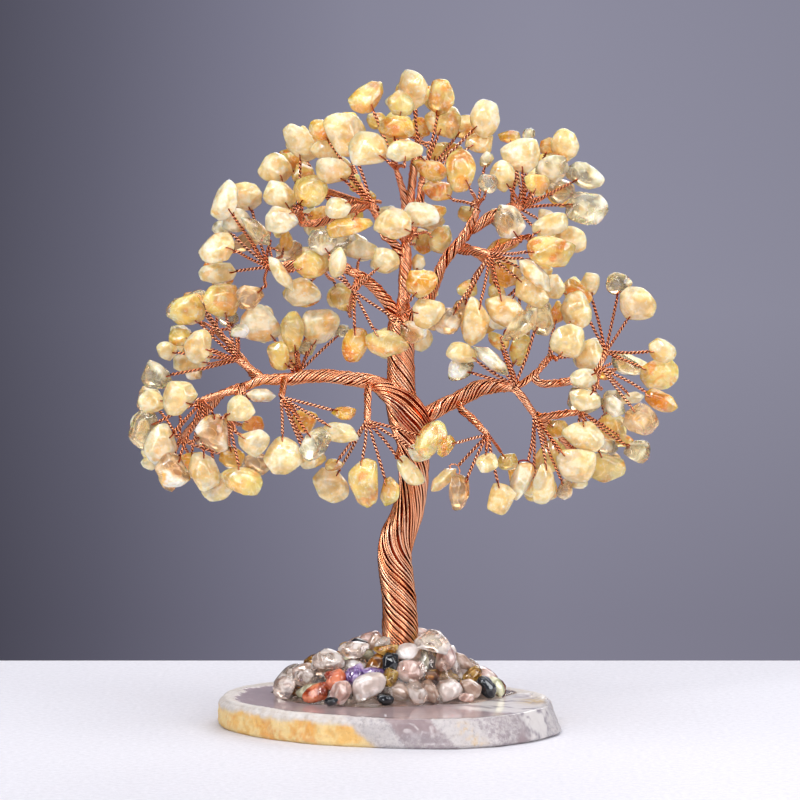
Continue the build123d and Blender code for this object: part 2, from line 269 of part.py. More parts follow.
        ("RH2", 32.16, -1.73, 94.31, 0.428, 0.645, -0.388, 0.5, 4.2, 2.65, 1.38, 1145),
        ("RH2", 26.83, -5.18, 96.75, 0.565, 0.755, 0.279, -0.184, 3.15, 1.85, 1.15, 1148),
        ("RH5", 41.82, 3.14, 103.32, 0.535, 0.539, -0.386, 0.523, 3.15, 1.85, 1.15, 1152),
        ("RH1", 46.95, 5.87, 108.22, 0.623, 0.678, 0.329, -0.209, 4.2, 2.52, 1.31, 1153),
        ("RH1", 67.94, 6.5, 87.55, 0.666, 0.725, -0.13, 0.114, 4.99, 4.11, 2.1, 1158),
        ("RH7", 67.69, -0.89, 81.26, 0.555, 0.792, 0.078, -0.242, 4.46, 2.65, 1.38, 1160),
        ("RH7", 54.05, 10.18, 87.57, 0.758, 0.646, -0.07, -0.06, 2.1, 1.59, 1.15, 1165),
        ("RH3", 41.79, -1.09, 74.55, 0.57, 0.814, 0.064, 0.092, 2.89, 2.52, 1.31, 1166),
        ("RH3", 40.18, -1.72, 67.9, 0.597, 0.557, -0.446, 0.365, 4.46, 3.71, 1.93, 1167),
        ("RH3", 35.9, -4.13, 59.75, 0.592, 0.805, 0.028, 0.038, 3.15, 2.39, 1.24, 1171),
        ("RH8", 56.16, 10.59, 74.1, 0.774, 0.563, 0.188, -0.22, 3.68, 2.78, 1.45, 1176),
        ("RH8", 54.04, -0.46, 64.67, 0.758, 0.65, 0.016, -0.043, 4.99, 3.71, 1.93, 1178),
        ("RH8", 59.21, 6.41, 70.89, 0.597, 0.8, -0.039, -0.053, 2.62, 1.85, 1.15, 1180),
        ("RH4", 13.89, -16.92, 71.47, 0.658, 0.561, -0.295, 0.405, 2.89, 1.72, 1.15, 1181),
        ("RH4", 29.51, -0.91, 66.22, 0.616, 0.782, 0.057, 0.073, 2.62, 2.25, 1.17, 1185),
        ("RB3", 49.42, 12.74, 71.15, 0.549, 0.596, 0.388, -0.439, 4.23, 3.14, 1.63, 1233),
        ("RB3", 39.13, 20.92, 58.88, 0.578, 0.589, 0.425, -0.371, 4.98, 3.13, 1.63, 1234),
        ("RB3", 36.39, 16.92, 57.76, 0.58, 0.614, 0.416, -0.339, 3.47, 2.74, 1.43, 1236),
        ("RB3", 32.94, 18.81, 60.55, 0.543, 0.6, 0.456, -0.371, 4.16, 2.65, 1.38, 1238),
        ("RB4", 44.42, 17.64, 95.53, 0.525, 0.724, -0.345, 0.285, 4.11, 3.18, 1.65, 1243),
        ("RB4", 57.05, 22, 72.66, 0.657, 0.729, -0.12, 0.147, 4.04, 3.2, 1.66, 1245),
    ],
    "RL_clear": [
        ("RH2", 17.35, -8.62, 90, 0.585, 0.638, -0.389, 0.316, 3.68, 2.92, 1.52, 1143),
        ("RH2", 24.98, -13.73, 92.54, -0.03, 0.934, -0.018, -0.355, 5.51, 2.89, 1.85, 1144),
        ("RH2", 37.28, -5.44, 102.6, 0.388, 0.522, -0.532, 0.542, 4.99, 3.45, 1.79, 1146),
        ("RH2", 32.1, -13.64, 100.98, 0.934, 0.082, -0.345, 0.038, 5.91, 3.13, 2.25, 1147),
        ("RH1", 57.65, 8.55, 110.38, 0.585, 0.803, -0.068, -0.093, 3.41, 3.18, 1.65, 1155),
        ("RH1", 60.02, 16.82, 89.19, 0.638, 0.728, 0.226, -0.109, 4.46, 2.39, 1.24, 1159),
        ("RH7", 62.5, -4.65, 77.28, 0.698, 0.713, -0.045, -0.046, 4.46, 4.11, 2.1, 1161),
        ("RH3", 43.61, -4.68, 59.8, 0.541, 0.527, -0.543, 0.368, 2.89, 1.99, 1.15, 1172),
        ("RH8", 55.45, -4.43, 80.52, 0.944, -0.028, 0.329, 0.017, 3.41, 2.81, 2.25, 1174),
        ("RH8", 54.29, 8.7, 69.43, 0.994, 0.04, 0.105, 0.004, 3.41, 3.05, 1.99, 1177),
        ("RH8", 61.9, 1.34, 68.54, 0.836, 0.547, -0.033, -0.021, 3.41, 3.05, 1.58, 1179),
        ("RH4", 17.13, -15.22, 60.07, 0.353, 0.59, -0.419, 0.593, 4.46, 2.92, 1.52, 1183),
        ("RB3", 49.35, 15.4, 80.31, 0.563, 0.823, 0.059, -0.045, 4.33, 3.35, 1.74, 1235),
        ("RB3", 42.12, 26.17, 72.13, 0.785, 0.599, 0.148, -0.06, 3.41, 2.9, 1.51, 1237),
        ("RB3", 56.67, 18, 79.25, 0.485, 0.509, -0.382, 0.6, 3.75, 2.65, 1.38, 1239),
        ("RB3", 55.36, 24.75, 63.16, 0.739, 0.545, -0.284, 0.277, 4.43, 2.96, 1.54, 1240),
    ],
    "RL_milky": [
        ("RH2", 17.63, -11.38, 94.24, 0.788, 0.607, 0.078, 0.06, 3.94, 2.65, 1.38, 1142),
        ("RH5", 43.71, -10.68, 97.04, 0.642, 0.766, 0.023, 0.027, 4.46, 4.37, 2.1, 1149),
        ("RH5", 46.35, -1.64, 104.04, 0.428, 0.383, -0.561, 0.597, 4.73, 3.71, 1.93, 1150),
        ("RH5", 49.24, -4.23, 93.21, 0.703, 0.509, -0.451, 0.209, 4.2, 3.58, 1.86, 1151),
        ("RH1", 50.44, 10.38, 110.06, 0.447, 0.632, -0.416, 0.477, 3.15, 2.52, 1.31, 1154),
        ("RH1", 62.1, 3.23, 105.57, 0.571, 0.812, -0.07, -0.099, 4.73, 4.5, 2.1, 1156),
        ("RH1", 68.13, 2.58, 93.82, 0.668, 0.723, 0.109, -0.137, 3.68, 2.92, 1.52, 1157),
        ("RH7", 60.87, 5.8, 81.79, 0.563, 0.822, -0.049, 0.072, 3.15, 1.59, 1.15, 1162),
        ("RH7", 47.73, -11.75, 87.96, 0.72, 0.694, 0.022, 0.021, 3.41, 2.39, 1.24, 1163),
        ("RH7", 48.19, -10.99, 82.52, 0.595, 0.803, -0.025, -0.034, 3.94, 2.92, 1.52, 1164),
        ("RH3", 46.08, -9.61, 65.94, 0.604, 0.796, -0.024, -0.032, 4.99, 4.5, 2.1, 1168),
        ("RH3", 32.45, -9.08, 62.23, -0.118, 0.827, 0.118, 0.537, 4.99, 3.32, 2.25, 1169),
        ("RH3", 38.18, -10.59, 61.59, 0.352, 0.642, -0.422, 0.535, 5.25, 3.18, 1.65, 1170),
        ("RH3", 47.42, -3.15, 60.91, 0.604, 0.789, 0.069, 0.09, 2.1, 1.46, 1.15, 1173),
        ("RH8", 48.07, -9.22, 73.71, 0.696, 0.696, 0.119, -0.127, 5.51, 3.71, 1.93, 1175),
        ("RH4", 13.15, -13.03, 62.92, 0.929, -0.049, -0.366, -0.021, 4.73, 3.08, 1.99, 1182),
        ("RH4", 23.82, -18.84, 67.55, 0.832, 0.547, -0.073, -0.048, 2.89, 2.52, 1.31, 1184),
        ("RH4", 27.42, -13.36, 58.15, 0.594, 0.563, -0.369, 0.442, 3.94, 3.18, 1.65, 1186),
        ("RB4", 51.26, 32.4, 91.41, 0.674, 0.612, -0.28, 0.306, 4.62, 3.31, 1.72, 1241),
        ("RB4", 49.82, 33.35, 83.93, 0.78, 0.594, 0.091, -0.177, 3.75, 2.74, 1.43, 1242),
        ("RB4", 47.23, 23.22, 102.79, 0.673, 0.704, -0.211, 0.088, 4.29, 3.69, 1.92, 1244),
        ("RB4", 61.2, 24.82, 89.23, 0.553, 0.807, 0.151, -0.144, 4.91, 2.74, 1.43, 1246),
    ],
    "RU_amber": [
        ("UR1", 17.47, -12.52, 138.92, 0.576, 0.423, -0.469, 0.519, 5.51, 3.71, 1.93, 1110),
        ("UR1", 11.8, 1.35, 133.96, 0.811, 0.578, 0.069, 0.049, 3.94, 2.78, 1.45, 1111),
        ("UR1", 19.62, 9.65, 127.96, 0.574, 0.819, -0.009, -0.013, 2.62, 2.12, 1.15, 1113),
        ("UR2", 39.84, 7.51, 145.01, 0.643, 0.765, -0.017, -0.02, 2.36, 2.25, 1.17, 1118),
        ("UR2", 36.37, -6.13, 135.67, 0.784, 0.616, 0.056, 0.044, 3.28, 2.65, 1.38, 1121),
        ("UR2", 29.93, 7.16, 147.26, 0.815, 0.579, -0.01, -0.007, 2.89, 1.72, 1.15, 1125),
        ("UR3", 39.59, 11.15, 120.63, 0.753, 0.652, 0.071, 0.061, 3.41, 2.39, 1.24, 1129),
        ("RH6", 28.26, 4.59, 120.3, 0.135, 0.974, -0.023, 0.178, 4.99, 2.87, 1.72, 1130),
        ("RH6", 39.62, -13.42, 119.26, 0.724, 0.69, 0.003, 0.003, 6.04, 3.98, 2.07, 1131),
        ("RH6", 28.84, 3.72, 112.68, 0.599, 0.799, 0.026, 0.035, 4.2, 3.58, 1.86, 1134),
        ("RH6", 26.66, 0.07, 108.59, 0.763, 0.647, 0, 0, 2.23, 2.12, 1.15, 1135),
        ("RH6", 19.15, -2.97, 109.66, 0.755, 0.651, 0.059, 0.051, 2.62, 2.39, 1.24, 1138),
        ("RB1", 40.97, 25.12, 139.3, 0.553, 0.662, 0.23, -0.452, 4.62, 2.97, 1.54, 1219),
        ("RB1", 40.61, 22.67, 120.44, 0.711, 0.528, 0.322, -0.334, 3.75, 2.74, 1.43, 1220),
        ("RB1", 43.43, 26.88, 133.16, 0.782, 0.606, 0.109, -0.099, 4.04, 3.75, 1.95, 1224),
        ("RB2", 37.5, 31.18, 107.81, 0.666, 0.642, 0.267, -0.272, 3.97, 3.13, 1.63, 1226),
        ("RB2", 22.58, 20, 100.1, 0.785, 0.617, -0.057, -0.022, 4.65, 3.22, 1.67, 1228),
        ("RB2", 33.02, 17.77, 99.53, 0.698, 0.487, 0.457, -0.258, 4.83, 2.65, 1.38, 1229),
        ("RB2", 37.89, 16.32, 102.07, 0.416, 0.579, -0.381, 0.588, 4.98, 3.83, 1.99, 1230),
        ("RB2", 47.44, 18.78, 107.28, 0.607, 0.639, 0.409, -0.235, 4.62, 2.9, 1.51, 1232),
    ],
    "RU_clear": [
        ("UR1", 24.15, -10.41, 135.71, 0.646, 0.763, 0.018, 0.021, 2.62, 2.39, 1.24, 1112),
        ("UR1", 23.93, -0.52, 141.57, 0.527, 0.693, -0.386, 0.306, 2.1, 1.59, 1.15, 1114),
        ("UR2", 34.63, 6.66, 147.8, 0.583, 0.675, -0.201, 0.406, 1.97, 1.59, 1.15, 1117),
        ("UR2", 40.38, 0.37, 139.36, 0.608, 0.794, 0.007, 0.009, 4.2, 3.71, 1.93, 1120),
        ("UR2", 43.07, 10.84, 133.73, 0.678, 0.735, -0.006, -0.006, 3.68, 3.31, 1.72, 1122),
        ("UR2", 48.87, 6.31, 137.54, 0.722, 0.642, 0.158, -0.204, 4.99, 3.05, 1.58, 1123),
        ("UR2", 49.18, 1.9, 129.36, 0.829, 0.55, 0.083, 0.055, 5.51, 4.5, 2.1, 1124),
        ("UR3", 29.14, -8.73, 126.58, -0.405, -0.304, 0.627, -0.592, 4.46, 3.71, 1.93, 1126),
        ("RH6", 14.34, -9.21, 101.7, 0.616, 0.711, -0.25, 0.23, 3.68, 3.31, 1.72, 1139),
        ("RH6", 17.92, -5.1, 105.13, 0.548, 0.829, 0.061, 0.092, 2.36, 2.12, 1.15, 1140),
        ("RB1", 33.19, 22.18, 141.85, 0.811, 0.555, 0.055, -0.177, 4.27, 3.24, 1.69, 1222),
        ("RB1", 29.93, 33.29, 125.65, 0.595, 0.787, -0.019, -0.16, 4.91, 3.32, 1.72, 1223),
    ],
    "RU_milky": [
        ("UR2", 32.39, -0.71, 142.63, 0.716, 0.697, 0.027, 0.026, 4.99, 4.37, 2.1, 1115),
        ("UR2", 27.87, -2.65, 137.61, 0.542, 0.539, -0.491, 0.418, 3.94, 3.18, 1.65, 1116),
        ("UR2", 43.68, 4.17, 145.17, 0.598, 0.619, -0.418, 0.289, 3.94, 3.71, 1.93, 1119),
        ("UR3", 39.6, -6.62, 125.55, 0.704, 0.694, -0.043, 0.142, 4.73, 2.65, 1.38, 1127),
        ("UR3", 45.04, -1.63, 121.71, 0.57, 0.817, -0.047, -0.068, 3.94, 3.58, 1.86, 1128),
        ("RH6", 35.83, -12.5, 113.43, 0.921, 0.103, 0.376, -0.023, 5.51, 3.34, 2.12, 1132),
        ("RH6", 35.14, -8.94, 109.19, 0.721, 0.643, 0.149, -0.212, 4.73, 3.18, 1.65, 1133),
        ("RH6", 28.39, -8.53, 104.33, 0.634, 0.754, 0.117, -0.126, 5.51, 3.84, 2, 1136),
        ("RH6", 21.09, -10.03, 102.11, -0.373, -0.533, 0.574, -0.497, 6.3, 3.71, 1.93, 1137),
        ("RH6", 40.7, -4.19, 110.21, 0.618, 0.583, -0.465, 0.248, 3.15, 2.92, 1.52, 1141),
        ("RB1", 37.86, 34.34, 135.61, 0.548, 0.609, -0.423, 0.387, 3.61, 3.05, 1.58, 1217),
        ("RB1", 41.08, 26.73, 124.33, 0.476, 0.608, 0.446, -0.453, 5.06, 3.05, 1.58, 1218),
        ("RB1", 29.81, 32.28, 137.67, 0.49, 0.663, 0.414, -0.385, 3.98, 3.53, 1.84, 1221),
        ("RB2", 29.29, 27.17, 112.88, 0.737, 0.583, -0.267, 0.212, 4.33, 3.8, 1.98, 1225),
        ("RB2", 28.85, 14.71, 102.76, 0.624, 0.612, -0.323, 0.363, 4.9, 3.04, 1.58, 1227),
        ("RB2", 37.79, 27.16, 112.36, 0.716, 0.635, -0.272, 0.099, 4.14, 2.65, 1.38, 1231),
    ],
    "TR_amber": [
        ("H6", -13.74, -8.59, 66.2, 0.634, 0.771, -0.039, -0.048, 2.36, 1.59, 1.15, 1042),
        ("H6", -6.65, -11.58, 61.95, 0.547, 0.439, -0.579, 0.415, 6.3, 3.84, 2, 1043),
        ("H6", 0.02, -9.66, 59.53, 0.529, 0.533, -0.56, 0.351, 3.94, 2.39, 1.24, 1044),
        ("H6", 10.09, -13.45, 73.14, 0.741, 0.468, -0.371, 0.308, 4.99, 3.45, 1.79, 1047),
        ("TM", 7.87, -19.1, 111.43, 0.663, 0.747, -0.025, -0.028, 3.94, 3.45, 1.79, 1108),
        ("BK1", 15.41, 26, 100.31, 0.618, 0.781, -0.086, 0.024, 4.04, 3.51, 1.83, 1267),
        ("BK1", 10.71, 35.25, 101.19, 0.766, 0.558, 0.306, -0.092, 4.14, 3.75, 1.95, 1269),
    ],
    "TR_milky": [
        ("H6", -14.67, -3.63, 60.59, 0.737, 0.624, 0.196, -0.169, 4.99, 3.98, 2.07, 1041),
        ("H6", 4.87, -9.25, 64.63, 0.683, 0.55, 0.356, -0.323, 4.99, 2.78, 1.45, 1045),
        ("H6", 7.41, -11.07, 69.53, 0.66, 0.749, 0.043, 0.048, 3.02, 2.52, 1.31, 1046),
        ("TM", 7.08, 0.83, 115.92, 0.614, 0.525, -0.5, 0.313, 2.1, 1.85, 1.15, 1107),
        ("TM", 9.61, -16.05, 103.96, 0.652, 0.758, 0.002, 0.003, 4.07, 3.84, 2, 1109),
        ("BK1", 7.28, 20.63, 96.32, 0.719, 0.55, 0.358, -0.232, 3.75, 3.32, 1.73, 1266),
        ("BK1", 8.41, 32.47, 108.74, 0.57, 0.679, 0.199, -0.418, 4.33, 3.77, 1.96, 1268),
        ("BK1", -0.66, 35.99, 93.96, 0.454, 0.546, 0.562, -0.424, 4.33, 3.14, 1.63, 1270),
        ("BK2", 12.16, 29.15, 121.43, 0.813, 0.555, -0.108, 0.142, 3.9, 2.99, 1.55, 1271),
        ("BK2", -0.34, 17.68, 125.57, 0.562, 0.501, 0.436, -0.493, 4.34, 3.05, 1.58, 1272),
        ("BK2", -1.58, 30.73, 115.02, 0.779, 0.624, -0.038, 0.036, 3.75, 2.98, 1.55, 1273),
        ("BK2", 8.01, 32.69, 120.6, 0.46, 0.688, 0.353, -0.436, 3.41, 2.65, 1.38, 1274),
        ("BK2", 8.83, 17.07, 127.12, 0.502, 0.809, 0.217, -0.216, 5.05, 3.5, 1.82, 1275),
    ],
}

# tumbled stones of the mound: centre, turn, half sizes, shape number
MOUND = {
    "mound_amethyst": [
        (-8.71, -10.48, 13.77, 0.787, 0.525, -0.217, 0.24, 3.25, 2.62, 1.89, 5019),
        (-4.16, -11.6, 14.67, 0.821, 0.57, -0.022, -0.015, 2.75, 1.5, 1.3, 5020),
        (-15.84, 10.96, 15.48, 0.956, -0.17, -0.237, -0.013, 2.97, 2.12, 1.69, 5066),
        (-20.62, 11.75, 12.45, 0.87, -0.29, -0.209, 0.34, 2.77, 2.17, 1.73, 5067),
    ],
    "mound_carnelian": [
        (-13.19, -8.07, 13.23, 0.826, 0.553, -0.017, -0.109, 3.25, 1.88, 1.35, 5010),
        (-15.07, -9.27, 11.01, 0.822, 0.564, -0.07, -0.048, 1.5, 1.25, 1.3, 5011),
        (-13.55, -12.19, 12.91, 0.762, 0.507, -0.281, 0.29, 3, 2.25, 1.62, 5012),
        (-18.31, -11.33, 9.49, 0.798, 0.571, -0.176, 0.076, 3.75, 2.25, 1.62, 5013),
        (7.15, 17.77, 15.2, -0.499, 0.268, 0.239, 0.789, 2.98, 2.29, 1.83, 5057),
    ],
    "mound_citrine": [
        (-18.7, 1.85, 16.03, 0.873, 0.46, -0.162, -0.004, 2.5, 1.75, 1.3, 5005),
        (-11.16, -1.92, 19.72, 0.871, 0.483, -0.077, -0.042, 1.62, 1.38, 1.3, 5009),
        (-0.92, -7.52, 19.93, 0.85, 0.521, -0.045, 0.064, 3.25, 1.25, 1.3, 5029),
        (-0.16, -12.92, 13.66, 0.717, 0.499, -0.282, 0.397, 2.5, 2, 1.44, 5030),
        (13.13, -7.64, 13.04, 0.828, 0.542, 0.133, -0.056, 4.25, 1.62, 1.3, 5047),
        (20.5, -2.84, 12.68, 0.771, 0.519, -0.068, 0.363, 3.25, 1.75, 1.3, 5048),
        (-0.72, 16.38, 16.89, -0.301, 0.095, 0.315, 0.895, 3.79, 2.61, 2.09, 5060),
        (-19.8, 6.94, 14.46, 0.689, -0.244, -0.174, 0.66, 2.91, 2.28, 1.83, 5076),
    ],
    "mound_grey_agate": [
        (-24.18, -2.41, 10.22, 0.828, 0.534, -0.142, -0.091, 2.12, 1.75, 1.3, 5001),
        (-21.87, -0.33, 13.73, 0.858, 0.465, -0.211, 0.051, 3, 1.88, 1.35, 5003),
        (-3.8, -3.08, 21.24, 0.827, 0.471, -0.17, 0.255, 2.25, 1.88, 1.35, 5026),
        (2.46, -12.31, 9.68, 0.806, 0.586, 0.058, -0.06, 4.25, 2.88, 2.07, 5032),
        (9.66, -12.13, 9.89, 0.67, 0.448, 0.384, -0.451, 3.25, 2.38, 1.71, 5037),
        (18.21, -0.53, 15.75, 0.826, 0.417, 0.286, -0.25, 3, 1.88, 1.35, 5045),
        (19.7, -7.19, 9.78, 0.815, 0.567, 0.1, 0.07, 3.25, 2.88, 2.07, 5049),
        (14.32, 11.35, 16.61, 0.366, 0.128, 0.259, 0.885, 3.96, 2.5, 2, 5055),
    ],
    "mound_hematite": [
        (-14.5, -18.19, 8.42, 0.725, 0.685, -0.05, -0.047, 1.75, 1.25, 1.3, 5016),
        (-7.39, -1.02, 20.04, 0.857, 0.488, 0.017, -0.167, 2.75, 1.75, 1.3, 5023),
        (0.04, -9.84, 16.42, 0.623, 0.402, -0.367, 0.562, 3.12, 2.12, 1.53, 5028),
        (-1.19, -16.01, 8.68, 0.792, 0.61, -0.009, -0.007, 2.38, 1.62, 1.3, 5031),
        (24.17, -4.3, 10.06, 0.733, 0.409, 0.415, -0.35, 3.12, 2.38, 1.71, 5050),
    ],
    "mound_milky_quartz": [
        (-5.1, -14.58, 11.81, 0.793, 0.586, -0.123, 0.116, 4.5, 3.5, 2.3, 5018),
        (4.87, -6.31, 19, 0.854, 0.519, 0.023, 0.014, 3.5, 2.5, 1.8, 5034),
        (14.78, -10.27, 9.89, 0.803, 0.59, 0.068, 0.05, 3.5, 3.12, 2.25, 5038),
        (15.58, 3.52, 17.63, 0.718, 0.443, -0.132, 0.52, 1.88, 1.62, 1.3, 5042),
        (-15.16, 16.48, 13.19, 0.842, -0.373, -0.062, 0.384, 2.97, 2.24, 1.8, 5058),
        (-23.24, 15.11, 9.65, -0.088, -0.362, 0.381, 0.846, 2.83, 1.94, 1.55, 5061),
        (20.06, 16.46, 10.28, 0.215, 0.207, 0.389, 0.871, 2.8, 1.9, 1.52, 5065),
    ],
    "mound_prehnite": [
        (-19.68, -7.88, 9.26, 0.808, 0.575, -0.103, -0.073, 4, 2.12, 1.53, 5014),
        (-6.42, -3.28, 18.11, 0.857, 0.513, -0.039, -0.023, 2.5, 1.75, 1.3, 5024),
        (9.68, -3.09, 18.57, 0.624, 0.42, -0.298, 0.588, 5.25, 3.25, 2.3, 5039),
        (26.92, -0.82, 9.87, 0.783, 0.401, 0.398, -0.261, 3, 1.88, 1.35, 5052),
        (-10.19, 22.61, 10.65, 0.635, -0.299, -0.459, -0.545, 3.82, 3, 2.3, 5059),
    ],
    "mound_quartz": [
        (-25.78, 5.74, 10.5, 0.849, 0.403, -0.326, 0.1, 4.75, 3, 2.16, 5000),
        (-26.46, -6.66, 10.22, 0.683, 0.512, -0.456, 0.253, 3.25, 2.75, 1.98, 5002),
        (-20.96, -4.96, 12.35, 0.836, 0.531, -0.115, -0.073, 3.5, 2.5, 1.8, 5004),
        (-16.71, -3.1, 15, 0.847, 0.521, -0.093, -0.057, 3.38, 3, 2.16, 5006),
        (-15.24, -6.6, 17.27, 0.841, 0.521, -0.01, -0.146, 4.25, 2.75, 1.98, 5007),
        (-8.6, -6.3, 15.11, 0.838, 0.542, -0.046, -0.03, 3, 2.25, 1.62, 5021),
        (-9, -5.69, 19.55, 0.855, 0.516, -0.053, -0.032, 4, 2.25, 1.62, 5022),
        (-1.77, -5.26, 21.34, 0.839, 0.493, -0.114, 0.202, 2.25, 1.5, 1.3, 5033),
        (6.64, -15.29, 10.59, 0.708, 0.512, 0.319, -0.368, 3.5, 2.38, 1.71, 5036),
        (10.67, -8.97, 22.04, 0.86, 0.475, 0.09, -0.163, 4.5, 3.12, 2.25, 5041),
        (15.49, -3.76, 14.89, 0.782, 0.424, 0.312, -0.334, 4, 2.25, 1.62, 5044),
        (-19.03, 19.37, 9.93, 0.846, -0.294, -0.363, -0.259, 3.1, 2.51, 2.01, 5063),
        (-7.88, 13.77, 17.74, 0.962, -0.242, -0.126, -0.015, 4.35, 3.26, 2.3, 5069),
        (20.78, 7.24, 13.4, 0.389, 0.254, 0.174, 0.868, 3.06, 2.09, 1.67, 5073),
        (-7.44, 18.7, 14.64, 0.833, -0.283, -0.25, -0.405, 2.77, 1.95, 1.56, 5075),
    ],
    "mound_rose_quartz": [
        (-12.16, -14.86, 10.5, 0.71, 0.509, -0.336, 0.352, 3.12, 2.5, 1.8, 5017),
        (-5.24, 2.12, 20.79, 0.874, 0.471, -0.096, 0.072, 3.5, 2.38, 1.71, 5025),
        (5, -9.48, 14.63, 0.831, 0.542, 0.09, -0.084, 4, 3.12, 2.25, 5035),
        (7.71, 4.63, 22.05, 0.898, 0.431, 0.082, 0.039, 2.38, 2, 1.44, 5040),
        (13.78, -6.93, 17.49, 0.661, 0.463, -0.254, 0.532, 3.75, 2.75, 1.98, 5043),
        (24.16, 2.24, 12.01, 0.854, 0.45, 0.253, -0.067, 4, 2, 1.44, 5051),
        (18.95, -10.57, 8.31, 0.795, 0.596, 0.088, 0.066, 2, 1.25, 1.3, 5054),
    ],
    "mound_tiger_eye": [
        (-13.71, -0.71, 17.53, 0.869, 0.482, -0.109, -0.018, 2.5, 1, 1.3, 5008),
        (-23, -5.18, 8.76, 0.794, 0.587, -0.127, -0.094, 2.25, 1.5, 1.3, 5015),
        (-3.38, -7.77, 15.77, 0.708, 0.439, -0.317, 0.453, 4, 2.62, 1.89, 5027),
        (10.38, -10.66, 13.78, 0.832, 0.552, 0.046, 0.03, 1.88, 1.25, 1.3, 5046),
        (27.69, 4.44, 9.36, 0.797, 0.381, 0.426, -0.194, 2.75, 1.12, 1.3, 5053),
        (24.34, 10.69, 9.51, 0.899, -0.204, 0.385, -0.045, 3.99, 2.86, 2.29, 5056),
        (12.35, 20.56, 10.65, -0.339, 0.316, 0.323, 0.825, 3.23, 2.16, 1.73, 5062),
        (-3.03, 22.53, 11.01, 0.383, -0.232, 0.393, 0.804, 2.97, 2.14, 1.71, 5064),
        (4.12, 13.19, 19.26, 0.359, -0.037, 0.273, 0.892, 2.85, 2.15, 1.72, 5072),
        (0.2, 8.89, 20.8, 0.742, -0.143, 0.13, 0.643, 2.92, 2.31, 1.84, 5074),
    ],
}


# ---- geometry helpers --------------------------------------------------------
def chip_points(seed, a, b, c):
    """Corner points of one tumbled chip with half sizes a, b, c."""
    rnd = random.Random(seed)
    k1, p1 = rnd.uniform(0.0, 0.2), rnd.uniform(0, 6.28)
    k2, p2 = rnd.uniform(-0.03, 0.1), rnd.uniform(0, 6.28)
    k3, p3 = rnd.uniform(0.02, 0.15), rnd.uniform(0, 6.28)
    n = rnd.uniform(2.0, 3.2)
    pts = []
    count = 9
    o = rnd.uniform(0, 6.28)
    for i in range(count):
        f = o + 2 * math.pi * (i + rnd.uniform(-0.22, 0.22)) / count
        cf, sf = math.cos(f), math.sin(f)
        r = (abs(cf) ** n + abs(sf) ** n) ** (-1 / n)
        r *= 1 + k1 * math.cos(f + p1) + k2 * math.cos(2 * f + p2) + k3 * math.cos(3 * f + p3) + rnd.uniform(-0.04, 0.04)
        pts.append((a * r * cf, b * r * sf, c * rnd.uniform(-0.28, 0.28)))
    for s in (1, -1):
        o = rnd.uniform(0, 6.28)
        tl, pt = rnd.uniform(0.0, 0.3), rnd.uniform(0, 6.28)
        m = 5
        for i in range(m):
            f = o + 2 * math.pi * (i + rnd.uniform(-0.2, 0.2)) / m
            q = rnd.uniform(0.5, 0.68)
            h = rnd.uniform(0.86, 1.0) * (1 - tl * (0.5 + 0.5 * math.cos(f - pt)))
            pts.append((a * q * math.cos(f), b * q * math.sin(f), s * c * h))
    lo = [min(p[k] for p in pts) for k in range(3)]
    hi = [max(p[k] for p in pts) for k in range(3)]
    half = (a, b, c)
    return np.array([[(p[k] - (lo[k] + hi[k]) / 2) * 2 * half[k] / (hi[k] - lo[k]) for k in range(3)] for p in pts])


def rot(q):
    w, x, y, z = np.array(q, float) / np.linalg.norm(q)
    return np.array([[1 - 2 * (y * y + z * z), 2 * (x * y - z * w), 2 * (x * z + y * w)],
                     [2 * (x * y + z * w), 1 - 2 * (x * x + z * z), 2 * (y * z - x * w)],
                     [2 * (x * z - y * w), 2 * (y * z + x * w), 1 - 2 * (x * x + y * y)]])


def poly_solid(verts, faces):
    """Closed flat-faced solid from outward polygons."""
    out = []
    for f in faces:
        out.append(Face(Wire.make_polygon([Vector(*(float(t) for t in verts[i])) for i in f], close=True)))
    s = Solid(Shell(out))
    if s.volume < 0:
        s = Solid(s.wrapped.Reversed())
    return s


def hull_solid(pts):
    """Convex flat-faced solid."""
    pts = np.asarray(pts, float)
    h = ConvexHull(pts)
    faces = []
    for t, eq in zip(h.simplices, h.equations):
        a, b, c = pts[t[0]], pts[t[1]], pts[t[2]]
        if np.dot(np.cross(b - a, c - a), eq[:3]) < 0:
            t = t[::-1]
        faces.append([int(i) for i in t])
    return poly_solid(pts, faces), h


def ray_out(eq, o, d):
    """Distance along d at which a ray from o leaves the hull."""
    den = eq[:, :3] @ d
    num = -(eq[:, :3] @ o + eq[:, 3])
    return float(np.where(den > 1e-9, num / np.maximum(den, 1e-12), 1e9).min())


def unit(v):
    v = np.asarray(v, float)
    return v / np.linalg.norm(v)


def tube_solid(path, radii, sides=SIDES):
    """Flat-faced bundle along a path, with a section at every point."""
    P = [np.asarray(p, float) for p in path]
    R = list(radii)
    tang = []
    for i in range(len(P)):
        a = P[max(i - 1, 0)]
        b = P[min(i + 1, len(P) - 1)]
        tang.append(unit(b - a))
    ref = np.array([0.0, 1.0, 0.0])
    if abs(np.dot(ref, tang[0])) > 0.9:
        ref = np.array([1.0, 0.0, 0.0])
    u = unit(np.cross(tang[0], ref))
    verts, rings = [], []
    for i, t in enumerate(tang):
        u = unit(u - np.dot(u, t) * t)
        v = np.cross(t, u)
        ring = []
        for k in range(sides):
            f = 2 * math.pi * k / sides
            ring.append(len(verts))
            verts.append(P[i] + R[i] * (math.cos(f) * u + math.sin(f) * v))
        rings.append(ring)
    faces = [list(reversed(rings[0])), list(rings[-1])]
    for r0, r1 in zip(rings, rings[1:]):
        for k in range(sides):
            k2 = (k + 1) % sides
            faces.append([r0[k], r0[k2], r1[k2]])
            faces.append([r0[k], r1[k2], r1[k]])
    return poly_solid(verts, faces)


